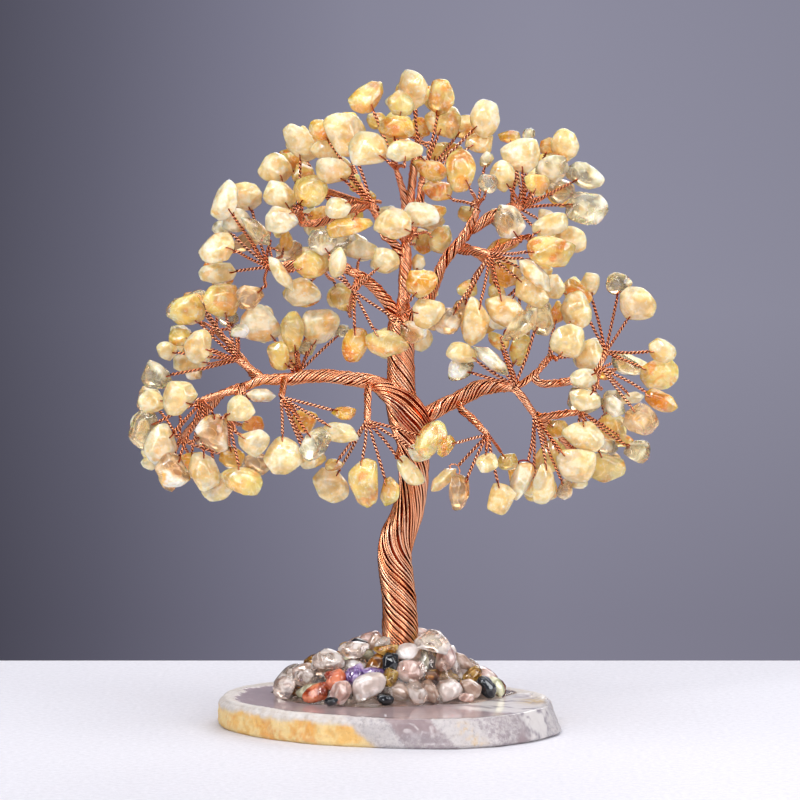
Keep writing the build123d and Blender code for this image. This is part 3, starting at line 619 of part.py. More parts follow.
def rod_solid(path, r, sides=6):
    """Rod of one thickness, mitred where it turns, so that its faces are flat quads."""
    P = [np.asarray(p, float) for p in path]
    seg = [unit(b - a) for a, b in zip(P, P[1:])]
    ref = np.array([0.0, 1.0, 0.0]) if abs(seg[0][1]) < 0.9 else np.array([1.0, 0.0, 0.0])
    u = unit(np.cross(seg[0], ref))
    v = np.cross(seg[0], u)
    ring = [P[0] + r * (math.cos(2 * math.pi * k / sides) * u + math.sin(2 * math.pi * k / sides) * v)
            for k in range(sides)]
    verts = list(ring)
    rings = [list(range(sides))]
    for i, d in enumerate(seg):
        plane = unit(d + seg[i + 1]) if i + 1 < len(seg) else d
        ring = [q + d * float(np.dot(P[i + 1] - q, plane) / np.dot(d, plane)) for q in ring]
        rings.append(list(range(len(verts), len(verts) + sides)))
        verts += ring
    faces = [list(reversed(rings[0])), list(rings[-1])]
    for r0, r1 in zip(rings, rings[1:]):
        for k in range(sides):
            k2 = (k + 1) % sides
            faces.append([r0[k], r0[k2], r1[k2], r1[k]])
    return poly_solid(verts, faces)


# ---- chips, their holes, wire eyes and twigs -----------------------------------
def chip_parts(row):
    """Drilled chip, wire eye and twisted pair of one twig."""
    hub, x, y, z, qw, qx, qy, qz, a, b, c, seed = row
    origin = np.array([x, y, z])
    R = rot((qw, qx, qy, qz))
    P = chip_points(seed, a, b, c)
    world = P @ R.T + origin
    solid, h = hull_solid(world)
    eq = ConvexHull(P).equations
    knot = np.array(HUBS[hub][1][0])
    n = R[:, 2]
    d = knot - origin
    e = d - np.dot(d, n) * n
    e = unit(e) if np.linalg.norm(e) >= 0.8 else R[:, 0]
    el = R.T @ e
    edge = ray_out(eq, np.zeros(3), el)
    inset = min(1.25, 0.3 * edge)
    H = el * (edge - inset)
    up, dn = np.array([0, 0, 1.0]), np.array([0, 0, -1.0])
    across = np.array([-el[1], el[0], 0.0])
    near = [H + el * f + across * g for f in (-0.24, -0.1, 0.0, 0.35 * inset, 0.7 * inset) for g in (-0.15, 0.0, 0.15)]
    wide = max(ray_out(eq, q, up) for q in near)
    wide2 = max(ray_out(eq, q, dn) for q in near)
    long = ray_out(eq, H, up) + ray_out(eq, H, dn)
    hr = min(HOLE_R, math.sqrt(0.0038 * h.volume / (2.598 * long)))
    bar = min(EYE_WIRE, 1.05 * hr)
    Hw = origin + R @ H
    far = max(ray_out(eq, np.array([0, 0, t * c]) + across * g, el)
              for t in (-0.5, -0.33, -0.16, 0.0, 0.16, 0.33, 0.5) for g in (-0.15, 0.0, 0.15))
    A = origin + R @ (el * (far + 0.33))
    drill = rod_solid([Hw - n * (long + 1), Hw + n * (long + 1)], hr)
    drilled = solid.cut(drill)
    # wire eye: a flat ring of bar in the plane of e and n
    side = np.cross(e, n)
    x0, x1 = -bar / 2, inset + far - edge + 0.33 + bar / 2
    y0, y1 = -(wide2 + 0.07 + bar), wide + 0.07 + bar

    def wire(xa, xb, ya, yb):
        q = [Hw + e * p + n * t - side * bar / 2 for p, t in ((xa, ya), (xb, ya), (xb, yb), (xa, yb))]
        return Wire.make_polygon([Vector(*(float(t) for t in p)) for p in q], close=True)

    face = Face(wire(x0, x1, y0, y1), [wire(x0 + bar, x1 - bar, y0 + bar, y1 - bar)])
    eye = Solid.extrude(face, Vector(*(float(t) for t in side * bar)))
    # the pair leaves the stone along e, then turns to the knot
    tip = A + e * (bar / 2)
    lean = math.degrees(math.acos(max(-1.0, min(1.0, float(np.dot(unit(knot - A), e))))))
    reach = np.linalg.norm(knot - A)
    path = [knot + unit(A - knot) * min(0.8, 0.3 * reach)]
    if lean > 20:
        path.append(A + e * (bar / 2 + min(0.25 + 0.9 * math.sin(math.radians(lean)), 0.35 * reach)))
    path.append(tip)
    twig = rod_solid(path, PAIR_D / 2)
    return drilled, eye, twig


def slab_solid():
    """Agate slice: flat underside and top, rough rim that flares to the bottom."""
    verts, rings = [], []
    for z, k in ((0.0, 0.975), (0.9, 1.0), (4.6, 0.99), (6.3, 0.965), (SLAB_T, 0.935)):
        ring = []
        for i, (x, y) in enumerate(SLAB_OUTLINE):
            j = 1.0 + 0.006 * math.sin(5.1 * i + 2.3 * z)
            ring.append(len(verts))
            verts.append((SLAB_CX + (x - SLAB_CX) * k * j, SLAB_CY + (y - SLAB_CY) * k * j, z))
        rings.append(ring)
    m = len(SLAB_OUTLINE)
    faces = [list(reversed(rings[0])), list(rings[-1])]
    for r0, r1 in zip(rings, rings[1:]):
        for k in range(m):
            k2 = (k + 1) % m
            faces.append([r0[k], r0[k2], r1[k2]])
            faces.append([r0[k], r1[k2], r1[k]])
    return poly_solid(verts, faces)


def glue_solid():
    """Clear glue bed that holds the mound together and the trunk's foot."""
    pts = []
    for zz, f in ((0.0, 1.0), (0.26, 0.9), (0.52, 0.72), (0.74, 0.5), (0.88, 0.3)):
        for i in range(14):
            a = 2 * math.pi * i / 14
            pts.append([MOUND_CX + (MOUND_RX - GLUE_INSET) * f * math.cos(a),
                        MOUND_CY + (MOUND_RY - GLUE_INSET) * f * math.sin(a),
                        SLAB_T + (MOUND_RZ - GLUE_INSET) * zz])
    return hull_solid(pts)[0]


def save(name, solids):
    solids = list(solids)
    shape = solids[0] if len(solids) == 1 else Compound(children=solids)
    shape.label = name
    export_step(shape, "parts/%s.step" % name, write_pcurves=False)
    print("%-26s solids %3d  volume %.1f" % (name, len(solids), sum(s.volume for s in solids)))


# ---- base ------------------------------------------------------------------------
for old in os.listdir("parts"):
    if old.endswith(".step"):
        os.remove(os.path.join("parts", old))

save("agate_slab", [slab_solid()])

save("glue_bed", [glue_solid()])

for node, rows in MOUND.items():
    out = []
    for x, y, z, qw, qx, qy, qz, a, b, c, seed in rows:
        P = chip_points(seed, a, b, c) @ rot((qw, qx, qy, qz)).T + np.array([x, y, z])
        out.append(hull_solid(P)[0])
    save(node, out)


# ---- trunk, limbs, stems and twigs ----------------------------------------------------
def stem_solids(body):
    out = []
    for name, (b, pts) in HUBS.items():
        if b != body:
            continue
        P = [np.array(p, float) for p in pts]
        d = unit(P[0] - P[1])
        path = [P[0] + d * 0.95, P[0] + d * 0.45, P[0] - d * 0.55]
        radii = [0.75, KNOT_R - 0.2, KNOT_R - 0.2]
        if np.linalg.norm(P[0] - P[1]) > 2.2:
            path.append(P[0] - d * 1.35)
            radii.append(STEM_R)
        out.append(tube_solid(path + P[1:], radii + [STEM_R] * (len(P) - 1), 8))
    return out


def bundle(key):
    return tube_solid([p[:3] for p in LIMBS[key]], [p[3] for p in LIMBS[key]])


NAMES = {"TR": "trunk", "LL": "left_lower", "RL": "right_lower", "LU": "left_upper",
         "LT": "left_top", "CR": "crown", "RU": "right_upper"}
save("fork_stubs", [bundle(k) for k in ("TRL", "TRR", "TLU", "TRU", "TLT")])
for body, name in NAMES.items():
    save("trunk_bundle" if body == "TR" else "limb_" + name, [bundle(body)])
    save("stems_" + name, stem_solids(body))
    twigs, eyes = [], []
    for tone in ("milky", "clear", "amber"):
        out = []
        for row in CHIPS.get(body + "_" + tone, []):
            chip, eye, twig = chip_parts(row)
            out += list(chip.solids())
            eyes.append(eye)
            twigs.append(twig)
        if out:
            save("chips_%s_%s" % (name, tone), out)
    save("twigs_" + name, twigs)
    save("eyes_" + name, eyes)
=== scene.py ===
import bpy
import itertools
import json
import math
import random

import numpy as np
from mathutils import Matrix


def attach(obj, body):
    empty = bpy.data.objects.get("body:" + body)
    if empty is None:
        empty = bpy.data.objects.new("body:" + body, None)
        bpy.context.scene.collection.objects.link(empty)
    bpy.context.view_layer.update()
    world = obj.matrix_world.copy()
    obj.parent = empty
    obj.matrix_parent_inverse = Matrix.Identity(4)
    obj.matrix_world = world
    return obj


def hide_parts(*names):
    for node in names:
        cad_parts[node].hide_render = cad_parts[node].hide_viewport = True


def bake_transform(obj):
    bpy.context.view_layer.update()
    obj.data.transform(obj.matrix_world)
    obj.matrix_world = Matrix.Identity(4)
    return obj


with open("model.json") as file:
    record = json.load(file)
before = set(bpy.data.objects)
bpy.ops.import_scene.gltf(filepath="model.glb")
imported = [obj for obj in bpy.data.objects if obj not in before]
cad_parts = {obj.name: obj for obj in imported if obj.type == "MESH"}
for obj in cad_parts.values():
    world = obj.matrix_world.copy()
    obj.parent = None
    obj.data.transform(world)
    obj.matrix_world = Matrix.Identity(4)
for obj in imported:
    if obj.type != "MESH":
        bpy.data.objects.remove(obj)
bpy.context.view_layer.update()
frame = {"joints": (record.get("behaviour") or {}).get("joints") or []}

MM = 0.001

# All tables are in millimetres, in the frame of the model.
MOUND_CX, MOUND_CY = 0.0, 5.0
MOUND_RX, MOUND_RY, MOUND_RZ = 29.5, 21.5, 17.6
GLUE_INSET = 4.2
# rim of the slab at its widest, seen from above, and the middle it tapers to
SLAB_CX, SLAB_CY = 0.0, -5.5
SLAB_OUTLINE = [
    (-42.9, -4), (-41.1, -10.2), (-36.5, -17), (-31.9, -22.3), (-24.4, -28.1), (-14.6, -33.5), (-6, -36.2),
    (2.7, -38.2), (9.5, -39.3), (17.1, -39.2), (25.5, -36.3), (32.9, -31), (38.8, -24), (41.9, -18.6),
    (42.8, -13.4), (42.6, -7), (41.2, -0.4), (38.2, 6.2), (33.6, 12.2), (28.4, 18), (22, 23.4),
    (14, 27.6), (4, 30), (-7, 30.8), (-18, 29.4), (-28, 26), (-36, 20.3), (-41.1, 12.8),
    (-43.1, 4.6),
]

# wire bundles: x, y, z of the centre line and the radius there
LIMBS = {
    "TR": [(2.5, 0, 7, 4.5), (2.5, 0, 18.73, 4.5), (2.5, 0, 25.31, 4.5), (2.37, 0, 28.6, 4.4), (2, 0, 34.41, 4.25), (1.25, 0, 40.21, 4.25), (1.25, 0, 43.99, 4.25), (2.12, 0, 47.77, 4.33), (4.38, 0, 53.57, 3.95), (5.63, 0, 59.35, 3.7), (6, 0, 65.13, 3.8), (5.5, 0, 70.41, 3.75), (4.25, 0, 75.43, 4.12), (3, 0, 80.44, 4.12), (2.75, 0, 85.46, 3.62), (2.75, 0, 91.71, 3.38), (2.75, 0, 96.72, 3.4), (2.5, 0, 100.22, 3), (3, 0, 103.71, 2.12), (3.37, 0, 106.71, 1.55), (3.62, 0, 111.7, 1.5), (3.87, 0, 116.19, 1.55), (4, 0, 120.05, 1.35)],
    "TRL": [(0, -1, 83.77, 2.25), (-3.49, -1, 85.77, 2.05), (-6.99, -1, 86.65, 1.9)],
    "TRR": [(6, -1, 77.76, 2.25), (8.99, -1, 78.01, 2.1), (11.87, -1, 79.39, 2.05)],
    "TLU": [(2, -0.5, 100.99, 2), (0.38, -1, 104.51, 1.65)],
    "TRU": [(4.25, 0, 100.97, 1.85), (7.49, -1, 104.38, 1.65)],
    "TLT": [(3.62, 0, 116.94, 1.3), (2.62, 0, 118.81, 1.18)],
    "LL": [(-8.11, -1, 86.82, 1.88), (-12.48, -1, 87.4, 1.75), (-16.22, -1, 87.77, 1.65), (-20.46, -1, 87.65, 1.65), (-24.46, -1, 87.02, 1.6), (-27.95, -1, 86.9, 1.4), (-31.95, -1, 86.77, 1.25), (-35.7, -1, 85.27, 1.1), (-38.4, -2, 84.34, 1), (-42.35, -3, 83.41, 0.8), (-45.84, -3, 82.16, 0.6)],
    "RL": [(13.24, -1, 80.27, 2), (16.22, -2, 81.59, 2), (19.44, -3, 83.41, 2.1), (22.41, -4, 84.97, 2.1), (25.37, -5, 85.41, 1.85), (28.04, -7, 85.67, 1.6), (30.74, -8, 85.49, 1.25)],
    "LU": [(-0.37, -1, 105.76, 1.55), (-2.73, -2, 108.79, 1.5), (-4.96, -3, 111.07, 1.4), (-7.43, -4, 112.84, 1.25), (-10.41, -4, 114.33, 0.95)],
    "LT": [(1.83, 0, 119.78, 1.15), (0.76, 0, 121.05, 1.1), (-0.74, -1, 122.69, 1.05), (-2.48, -1, 126.17, 0.95), (-3.96, -2, 129.67, 0.75)],
    "CR": [(4, 0, 121.3, 1.1), (4, 0, 122.92, 0.9), (3.87, 0, 126.65, 0.85), (3.62, -1, 130.9, 0.8), (2.75, -3, 135.14, 0.7), (1.76, -5, 138.62, 0.55)],
    "RU": [(8.43, -1, 105.43, 1.6), (10.23, -1, 108.25, 1.45), (11.47, -1, 111.49, 1.4), (12.71, -1, 114.73, 1.4), (14.7, -1, 117.97, 1.4), (17.19, -1, 120.95, 1.35), (19.18, -1, 123.69, 1.25), (20.65, -2, 126.69, 1.05), (21.86, -3, 129.44, 0.8)],
}

# sprays: the body that carries each, then the knot and the way back to the limb
HUBS = {
    "H1": ("LL", [(-38.15, 4, 91.48), (-32.02, 1, 87.14), (-33.44, 0.39, 86.93)]),
    "H2": ("LL", [(-46.59, -3, 81.91), (-37.95, -1, 84.77), (-37.63, -1.71, 84.61)]),
    "H3": ("LL", [(-40.13, -8, 77.79), (-36.86, -3, 84.66), (-37.38, -1.62, 84.69)]),
    "H4": ("LL", [(-26.88, -11, 83.21), (-26.36, -4, 86.47), (-26.38, -1, 86.95)]),
    "H5": ("LL", [(-22.93, 7, 88.27), (-22.54, 2, 87.58)]),
    "H6": ("TR", [(-5.67, -9, 77.12), (-5.45, -5, 84.04), (-5.22, -3, 85.4), (-5.03, -1, 86.16)]),
    "LH1": ("LU", [(-30.53, 3, 114.84), (-26.21, 1, 115.16), (-17.9, -2, 116.25), (-11.15, -4, 114.83), (-10.41, -4, 114.33)]),
    "LH2": ("LU", [(-9.11, -9, 109.32), (-7.4, -7, 111.47), (-5.93, -5, 112.38), (-6.58, -3.66, 112.23)]),
    "LH4": ("LT", [(-22.36, 7, 125.25), (-17.06, 6, 126.03), (-11.25, 3, 128.59), (-4.72, 0, 130.88), (-4.36, 0.37, 130.2)]),
    "LH3": ("LT", [(-4.71, -2, 130.91), (-1.23, -1, 122.44), (-0.74, -1, 122.69)]),
    "TH1": ("CR", [(1.51, -5, 139.36), (3.49, -2, 132.9), (3.75, 0, 127.9), (3.8, -0.28, 127.83)]),
    "TH2": ("CR", [(8.01, 5, 137.05), (7.25, 3, 130.34), (4.99, 1, 122.64), (4, 0, 122.64)]),
    "CM": ("CR", [(4.24, -4, 123.76), (3.74, -1, 121.7), (4, 0, 121.7)]),
    "TM": ("TR", [(3.99, -7, 106.27), (3.25, -4, 103.9), (0.94, -0.83, 103.29)]),
    "UR1": ("RU", [(21.86, -3, 130.18), (19.92, -1, 124.68), (18.95, 0, 122.17), (18.38, -1, 122.59)]),
    "UR2": ("RU", [(33.52, 4, 129.82), (28.74, 3, 128.59), (24.94, 1, 127.63), (21.44, 0, 124.66), (20.28, 0.7, 124.09)]),
    "UR3": ("RU", [(33.22, 2, 122.37), (29.17, 0, 120.43), (25.06, -5, 118.83), (23.44, -6.93, 118.66)]),
    "RH6": ("RU", [(24.74, -8, 118.42), (21.09, -5, 119.08), (17.94, -1, 119.21), (16.64, -1, 120.29)]),
    "RH2": ("RL", [(30.99, -8, 85.74), (28.82, -6, 85.11), (28.43, -7.14, 85.64)]),
    "RH5": ("RL", [(39.68, -1, 92.27), (36.87, -3, 89.15), (33.28, -6, 86.6), (30.99, -8, 85.74)]),
    "RH1": ("RL", [(54.35, 7, 93.32), (52.74, 5, 90.41), (50.14, 3, 87.52), (43.74, 0, 86.21), (37.33, -4, 86.22), (35.75, -3.93, 88.36)]),
    "RH7": ("RL", [(52.61, -2, 89.84), (50.43, -1, 87.77), (43.64, -2, 86.34), (42.77, -0.6, 86.21)]),
    "RH3": ("RL", [(36, -7, 78.46), (33.72, -8, 81.76), (31.49, -8, 84.5), (30.74, -8, 85.49)]),
    "RH8": ("RL", [(47.86, 2, 78.79), (42.97, -1, 78.26), (37.57, -5, 77.81), (36, -7, 78.46)]),
    "RH4": ("RL", [(24.25, -11, 74.05), (20.35, -8, 77.54), (17.67, -5, 79.81), (17.19, -2.3, 82.14)]),
    "LB1": ("LU", [(-17.43, 22, 113.95), (-12.66, 12, 114.29), (-7.45, -2, 112.77), (-6.93, -3.8, 112.49)]),
    "LB2": ("LT", [(-18.42, 22, 134.36), (-11.38, 12, 131.95), (-3.97, -1, 129.65), (-4.12, -1.83, 129.49)]),
    "LB6": ("LT", [(-9.69, 18, 139.47), (-7.07, 10, 133.99), (-3.97, -1, 129.65)]),
    "TB1": ("CR", [(7.09, 22, 146.57), (6.04, 14, 140.25), (5, 3, 131.58), (4.24, 0, 126.15), (3.89, 0, 126.14)]),
    "RB1": ("RU", [(31.14, 24, 129.99), (25.73, 12, 126.91), (19.94, 0, 123.91), (19.58, -0.65, 123.8)]),
    "RB2": ("RU", [(33.03, 18, 109.76), (26.96, 10, 114.36), (18.95, 0, 119.93), (17.94, -1, 119.21)]),
    "RB3": ("RL", [(46.31, 16, 67.29), (41.87, 8, 73.54), (36.36, -4, 77.99), (37.57, -5, 77.81)]),
    "RB4": ("RL", [(49.76, 20, 87.46), (45.46, 10, 85.81), (37.62, -3, 85.9), (37.99, -3.59, 86.22)]),
    "LB3": ("LL", [(-44.46, 20, 98.2), (-38.96, 11, 93.09), (-33.24, 0, 86.71), (-33.08, -1, 86.32)]),
    "LB4": ("LL", [(-53.4, 14, 70.52), (-47.85, 6, 76.73), (-41.9, -2, 83.34)]),
    "LB5": ("LL", [(-24.05, 20, 93.09), (-23.32, 12, 89.99), (-22.52, 1, 87.4), (-22.51, -1, 87.33)]),
    "BK1": ("TR", [(3.01, 24, 100.05), (2.75, 12, 97.85), (2.75, 2, 95.36), (2.75, 0, 95.36)]),
    "BK2": ("TR", [(3.52, 20, 120.14), (3.51, 10, 116.88), (3.75, 1, 113.66), (3.73, 0, 113.66)]),
}

# drilled chips: spray, centre, turn as a quaternion, half sizes, shape number
CHIPS = {
    "CR_amber": [
        ("TH1", -5.55, -5.35, 157.33, 0.695, 0.585, -0.274, 0.317, 4.99, 3.31, 1.72, 1086),
        ("TH1", 2.71, -1.75, 155.71, 0.667, 0.737, 0.072, 0.079, 3.41, 3.18, 1.65, 1087),
        ("TH1", 1.52, -13.93, 149.68, 0.568, 0.817, -0.058, -0.083, 4.46, 3.05, 1.58, 1088),
        ("TH1", -3.39, 0.38, 151.25, 0.646, 0.763, 0.016, 0.019, 2.62, 2.12, 1.15, 1091),
        ("TH2", 12.84, 2.11, 157.12, 0.603, 0.468, -0.581, 0.282, 4.73, 3.71, 1.93, 1093),
        ("TH2", 7, 7.66, 149.79, 0.693, 0.716, 0.057, 0.059, 3.15, 2.52, 1.31, 1094),
        ("TH2", 13.16, 7.02, 151.04, 0.818, 0.566, 0.086, 0.06, 4.73, 4.5, 2.1, 1095),
        ("TH2", 18.68, 10.63, 149.84, 0.788, 0.612, 0.059, 0.046, 3.94, 3.18, 1.65, 1096),
        ("TH2", 11.87, 15.83, 143.78, 0.752, 0.654, -0.061, -0.053, 2.89, 2.25, 1.17, 1099),
        ("TH2", 15.84, 10.83, 144.17, 0.789, 0.614, 0.017, 0.013, 2.62, 1.99, 1.15, 1100),
        ("TH2", 9.92, -5.62, 139.12, 0.833, 0.531, 0.093, -0.129, 4.73, 2.78, 1.45, 1101),
        ("CM", 11.51, 4.73, 128.31, 0.622, 0.781, -0.031, -0.039, 2.62, 2.12, 1.15, 1104),
        ("CM", 12.5, 2.43, 121.61, 0.521, 0.543, -0.554, 0.356, 3.54, 2.78, 1.45, 1105),
        ("CM", 8.52, 5.46, 120.78, 0.583, 0.498, -0.485, 0.421, 2.89, 2.12, 1.15, 1106),
        ("TB1", 12.41, 25.44, 156.64, 0.638, 0.748, 0.153, -0.096, 4.09, 3.38, 1.76, 1208),
        ("TB1", 0.92, 18.53, 149.97, 0.668, 0.623, -0.324, 0.247, 4.45, 3.2, 1.67, 1209),
        ("TB1", 12.76, 33.27, 143.56, 0.55, 0.828, 0.022, 0.108, 3.41, 2.65, 1.38, 1212),
        ("TB1", 5.76, 22.03, 158.37, 0.829, 0.553, 0.084, 0.013, 4.57, 3.84, 2, 1214),
        ("TB1", 17.41, 24, 139.14, 0.565, 0.596, -0.366, 0.439, 4.58, 2.94, 1.53, 1215),
        ("TB1", 3.11, 32.78, 144.48, 0.743, 0.611, 0.246, -0.117, 4.03, 3.05, 1.58, 1216),
    ],
    "CR_milky": [
        ("TH1", -5.16, -14.29, 144.45, 0.743, 0.667, -0.032, -0.029, 4.99, 4.24, 2.1, 1089),
        ("TH1", 3.56, -15.76, 143.92, 0.729, 0.676, 0.038, 0.095, 4.73, 2.65, 1.38, 1090),
        ("TH2", 5.53, 2.41, 158.44, 0.569, 0.468, -0.602, 0.309, 5.51, 3.98, 2.07, 1092),
        ("TH2", 23.61, 1.27, 151.81, 0.546, 0.531, -0.511, 0.399, 4.73, 3.84, 2, 1097),
        ("TH2", 22.3, 3.7, 146.04, 0.791, 0.606, 0.069, 0.052, 3.68, 2.92, 1.52, 1098),
        ("CM", 0.68, -15.18, 126.17, 0.748, 0.66, -0.051, -0.045, 4.73, 3.98, 2.07, 1102),
        ("CM", 7.79, -12.01, 128.18, 0.698, 0.712, -0.018, -0.081, 4.59, 3.05, 1.58, 1103),
        ("TB1", 13.75, 29.12, 151.58, 0.657, 0.492, 0.44, -0.365, 5.08, 3.37, 1.75, 1210),
        ("TB1", 9.56, 28.43, 138.47, 0.603, 0.394, 0.537, -0.438, 4.12, 3.2, 1.66, 1211),
        ("TB1", 2.55, 25.48, 156.28, 0.786, 0.596, -0.143, 0.083, 3.75, 3.02, 1.57, 1213),
    ],
    "LL_amber": [
        ("H1", -50.88, 2.75, 103.72, 0.558, 0.793, -0.193, 0.153, 4.46, 4.11, 2.1, 1000),
        ("H1", -41.94, -1.11, 106.62, 0.656, 0.753, 0.038, 0.044, 4.73, 4.24, 2.1, 1002),
        ("H1", -52.69, 4.14, 97.25, 0.816, 0.575, -0.054, -0.038, 2.89, 2.39, 1.24, 1005),
        ("H2", -50.09, 0.46, 66.1, 0.657, 0.747, 0.065, 0.074, 3.15, 2.39, 1.24, 1016),
        ("H3", -39.46, -1.92, 67.31, 0.727, 0.681, 0.061, 0.057, 3.28, 2.52, 1.31, 1020),
        ("H3", -36.72, -10.06, 62.5, 0.794, 0.591, 0.019, -0.143, 5.51, 3.58, 1.86, 1021),
        ("H3", -40.73, 4.36, 75.34, 0.598, 0.482, -0.41, 0.492, 2.89, 1.85, 1.15, 1025),
        ("H3", -34.44, 3.6, 75.32, 0.651, 0.753, 0.065, 0.075, 2.89, 2.12, 1.15, 1026),
        ("H4", -21.21, -4.49, 76.5, 0.646, 0.763, 0.011, 0.013, 3.41, 3.18, 1.65, 1029),
        ("H4", -18.7, -5.5, 67.41, 0.834, 0.551, -0.027, -0.018, 2.89, 2.39, 1.24, 1031),
        ("H4", -11.34, -10.29, 79.2, 0.826, 0.555, 0.003, 0.1, 3.15, 1.85, 1.15, 1032),
        ("H5", -27.57, -0.39, 92.67, -0.416, -0.394, 0.601, -0.557, 3.68, 2.78, 1.45, 1035),
        ("H5", -24.33, 0.97, 98.69, 0.469, 0.531, -0.514, 0.484, 5.25, 2.92, 1.52, 1038),
        ("LB3", -44.03, 22, 112.71, 0.501, 0.784, 0.24, -0.278, 4.65, 3.2, 1.66, 1247),
        ("LB3", -49.41, 17.85, 105.47, 0.729, 0.674, 0.113, 0.03, 3.41, 2.74, 1.43, 1248),
        ("LB4", -54.64, 18.48, 80.42, 0.68, 0.648, -0.311, 0.147, 4.18, 3.49, 1.82, 1261),
        ("LB5", -27.37, 31.07, 90.32, 0.651, 0.754, 0.01, 0.087, 4.04, 3.2, 1.66, 1263),
    ],
    "LL_clear": [
        ("H1", -48.1, 8.05, 106.62, 0.748, 0.662, 0.038, 0.033, 2.89, 2.39, 1.24, 1001),
        ("H1", -41.01, 12.03, 101.9, 0.658, 0.746, -0.069, -0.079, 2.89, 2.65, 1.38, 1003),
        ("H1", -37.27, -3.96, 99.17, 0.56, 0.826, -0.036, -0.053, 2.36, 1.99, 1.15, 1004),
        ("H1", -58.45, 3.22, 87, 0.667, 0.692, 0.251, -0.114, 4.2, 3.45, 1.79, 1009),
        ("H2", -61.09, -2.01, 74.65, 0.601, 0.469, -0.523, 0.38, 5.51, 3.98, 2.07, 1012),
        ("H2", -53.95, -7.83, 64.34, 0.682, 0.604, 0.374, -0.176, 4.73, 3.98, 2.07, 1015),
        ("H2", -43.31, -10.84, 73.96, 0.719, 0.484, 0.412, -0.282, 4.99, 3.98, 2.07, 1019),
        ("H3", -32.66, -7.07, 66.31, 0.823, 0.565, -0.054, -0.037, 3.54, 2.92, 1.52, 1023),
        ("H4", -18.39, -15.18, 71.8, 0.675, 0.603, -0.251, 0.343, 4.46, 3.18, 1.65, 1030),
        ("H5", -20.92, 15.93, 94.06, 0.807, 0.59, 0.01, 0.007, 2.36, 2.25, 1.17, 1036),
        ("H5", -11.87, 8.77, 98.52, 0.656, 0.754, -0.023, -0.026, 1.97, 1.72, 1.15, 1040),
        ("LB3", -50.94, 25.48, 89.81, 0.511, 0.566, 0.342, -0.55, 4.84, 3.05, 1.58, 1249),
        ("LB3", -43.46, 17.25, 106.54, 0.563, 0.551, -0.459, 0.412, 4.45, 3, 1.56, 1250),
        ("LB3", -53.85, 25.41, 96.54, 0.669, 0.691, 0.174, -0.213, 3.41, 2.74, 1.43, 1253),
        ("LB3", -52.68, 26.58, 103.12, 0.736, 0.671, 0.06, 0.067, 4.91, 3.34, 1.74, 1254),
        ("LB4", -45.39, 19.69, 71.55, 0.789, 0.579, -0.139, 0.15, 4.74, 3.75, 1.95, 1255),
        ("LB4", -55.37, 11.26, 63.01, 0.722, 0.454, -0.424, 0.304, 5.08, 3.34, 1.73, 1256),
        ("LB4", -39.94, 16, 65.38, 0.618, 0.658, 0.252, -0.349, 3.61, 2.9, 1.51, 1258),
        ("LB4", -61.5, 19.75, 80.48, 0.495, 0.505, 0.584, -0.398, 3.75, 3.35, 1.74, 1262),
        ("LB5", -17.63, 29.22, 98.96, 0.659, 0.688, 0.261, -0.155, 4.43, 3.4, 1.77, 1265),
    ],
    "LL_milky": [
        ("H1", -47.8, -2.55, 95.36, 0.606, 0.552, -0.419, 0.391, 4.46, 3.45, 1.79, 1006),
        ("H1", -55.86, 2.53, 93.82, 0.64, 0.766, -0.038, -0.046, 2.62, 2.52, 1.31, 1007),
        ("H1", -50.46, 8.49, 90.71, 0.787, 0.604, 0.021, 0.124, 4.46, 2.65, 1.38, 1008),
        ("H2", -59.45, -4.43, 81.76, 0.694, 0.712, 0.077, 0.079, 3.41, 2.92, 1.52, 1010),
        ("H2", -52.15, -13.78, 83.16, 0.609, 0.612, -0.396, 0.312, 4.99, 3.98, 2.07, 1011),
        ("H2", -56.87, -5.63, 70.92, 0.56, 0.658, -0.312, 0.394, 5.25, 3.98, 2.07, 1013),
        ("H2", -60.05, -0.49, 65.93, 0.713, 0.699, 0.037, 0.036, 2.36, 1.85, 1.15, 1014),
        ("H2", -46.27, -5.63, 64.51, 0.674, 0.516, 0.357, -0.39, 4.99, 3.45, 1.79, 1017),
        ("H2", -43.16, -3.02, 60.13, 0.826, 0.555, -0.091, 0.036, 4.2, 3.58, 1.86, 1018),
        ("H3", -33.36, -16.43, 72.27, 0.621, 0.779, 0.051, 0.064, 3.94, 3.58, 1.86, 1022),
        ("H3", -36.32, -21.25, 81.24, 0.699, 0.705, -0.084, -0.085, 3.68, 3.31, 1.72, 1024),
        ("H3", -32.51, -2.4, 82.95, 0.995, -0.103, 0.019, -0.002, 4.2, 3.36, 1.72, 1027),
        ("H4", -26.22, -13.23, 68.49, 0.688, 0.591, -0.295, 0.299, 4.99, 4.5, 2.1, 1028),
        ("H4", -12.35, -11.53, 74.45, 0.734, 0.676, -0.002, -0.061, 4.73, 2.52, 1.31, 1033),
        ("H4", -20.24, -11.41, 67.46, 0.733, 0.671, 0.084, 0.077, 2.62, 2.12, 1.15, 1034),
        ("H5", -32.31, 2.71, 100.84, 0.722, 0.69, 0.031, 0.03, 5.25, 4.77, 2.1, 1037),
        ("H5", -17.45, 3.24, 99.78, 0.63, 0.774, 0.041, 0.051, 4.99, 4.5, 2.1, 1039),
        ("LB3", -32.82, 22, 99.45, -0.495, -0.52, -0.369, 0.59, 4.86, 3.39, 1.76, 1251),
        ("LB3", -50.31, 31.74, 92.86, 0.58, 0.748, 0.267, -0.179, 4.91, 3.59, 1.87, 1252),
        ("LB4", -62.92, 22.8, 72.98, 0.476, 0.793, 0.284, -0.254, 4.25, 3.83, 1.99, 1257),
        ("LB4", -58.62, 8.47, 69.04, 0.666, 0.702, -0.225, 0.111, 4.67, 3.32, 1.72, 1259),
        ("LB4", -47.83, 19.43, 62.26, 0.794, 0.535, 0.181, -0.227, 4, 3.44, 1.79, 1260),
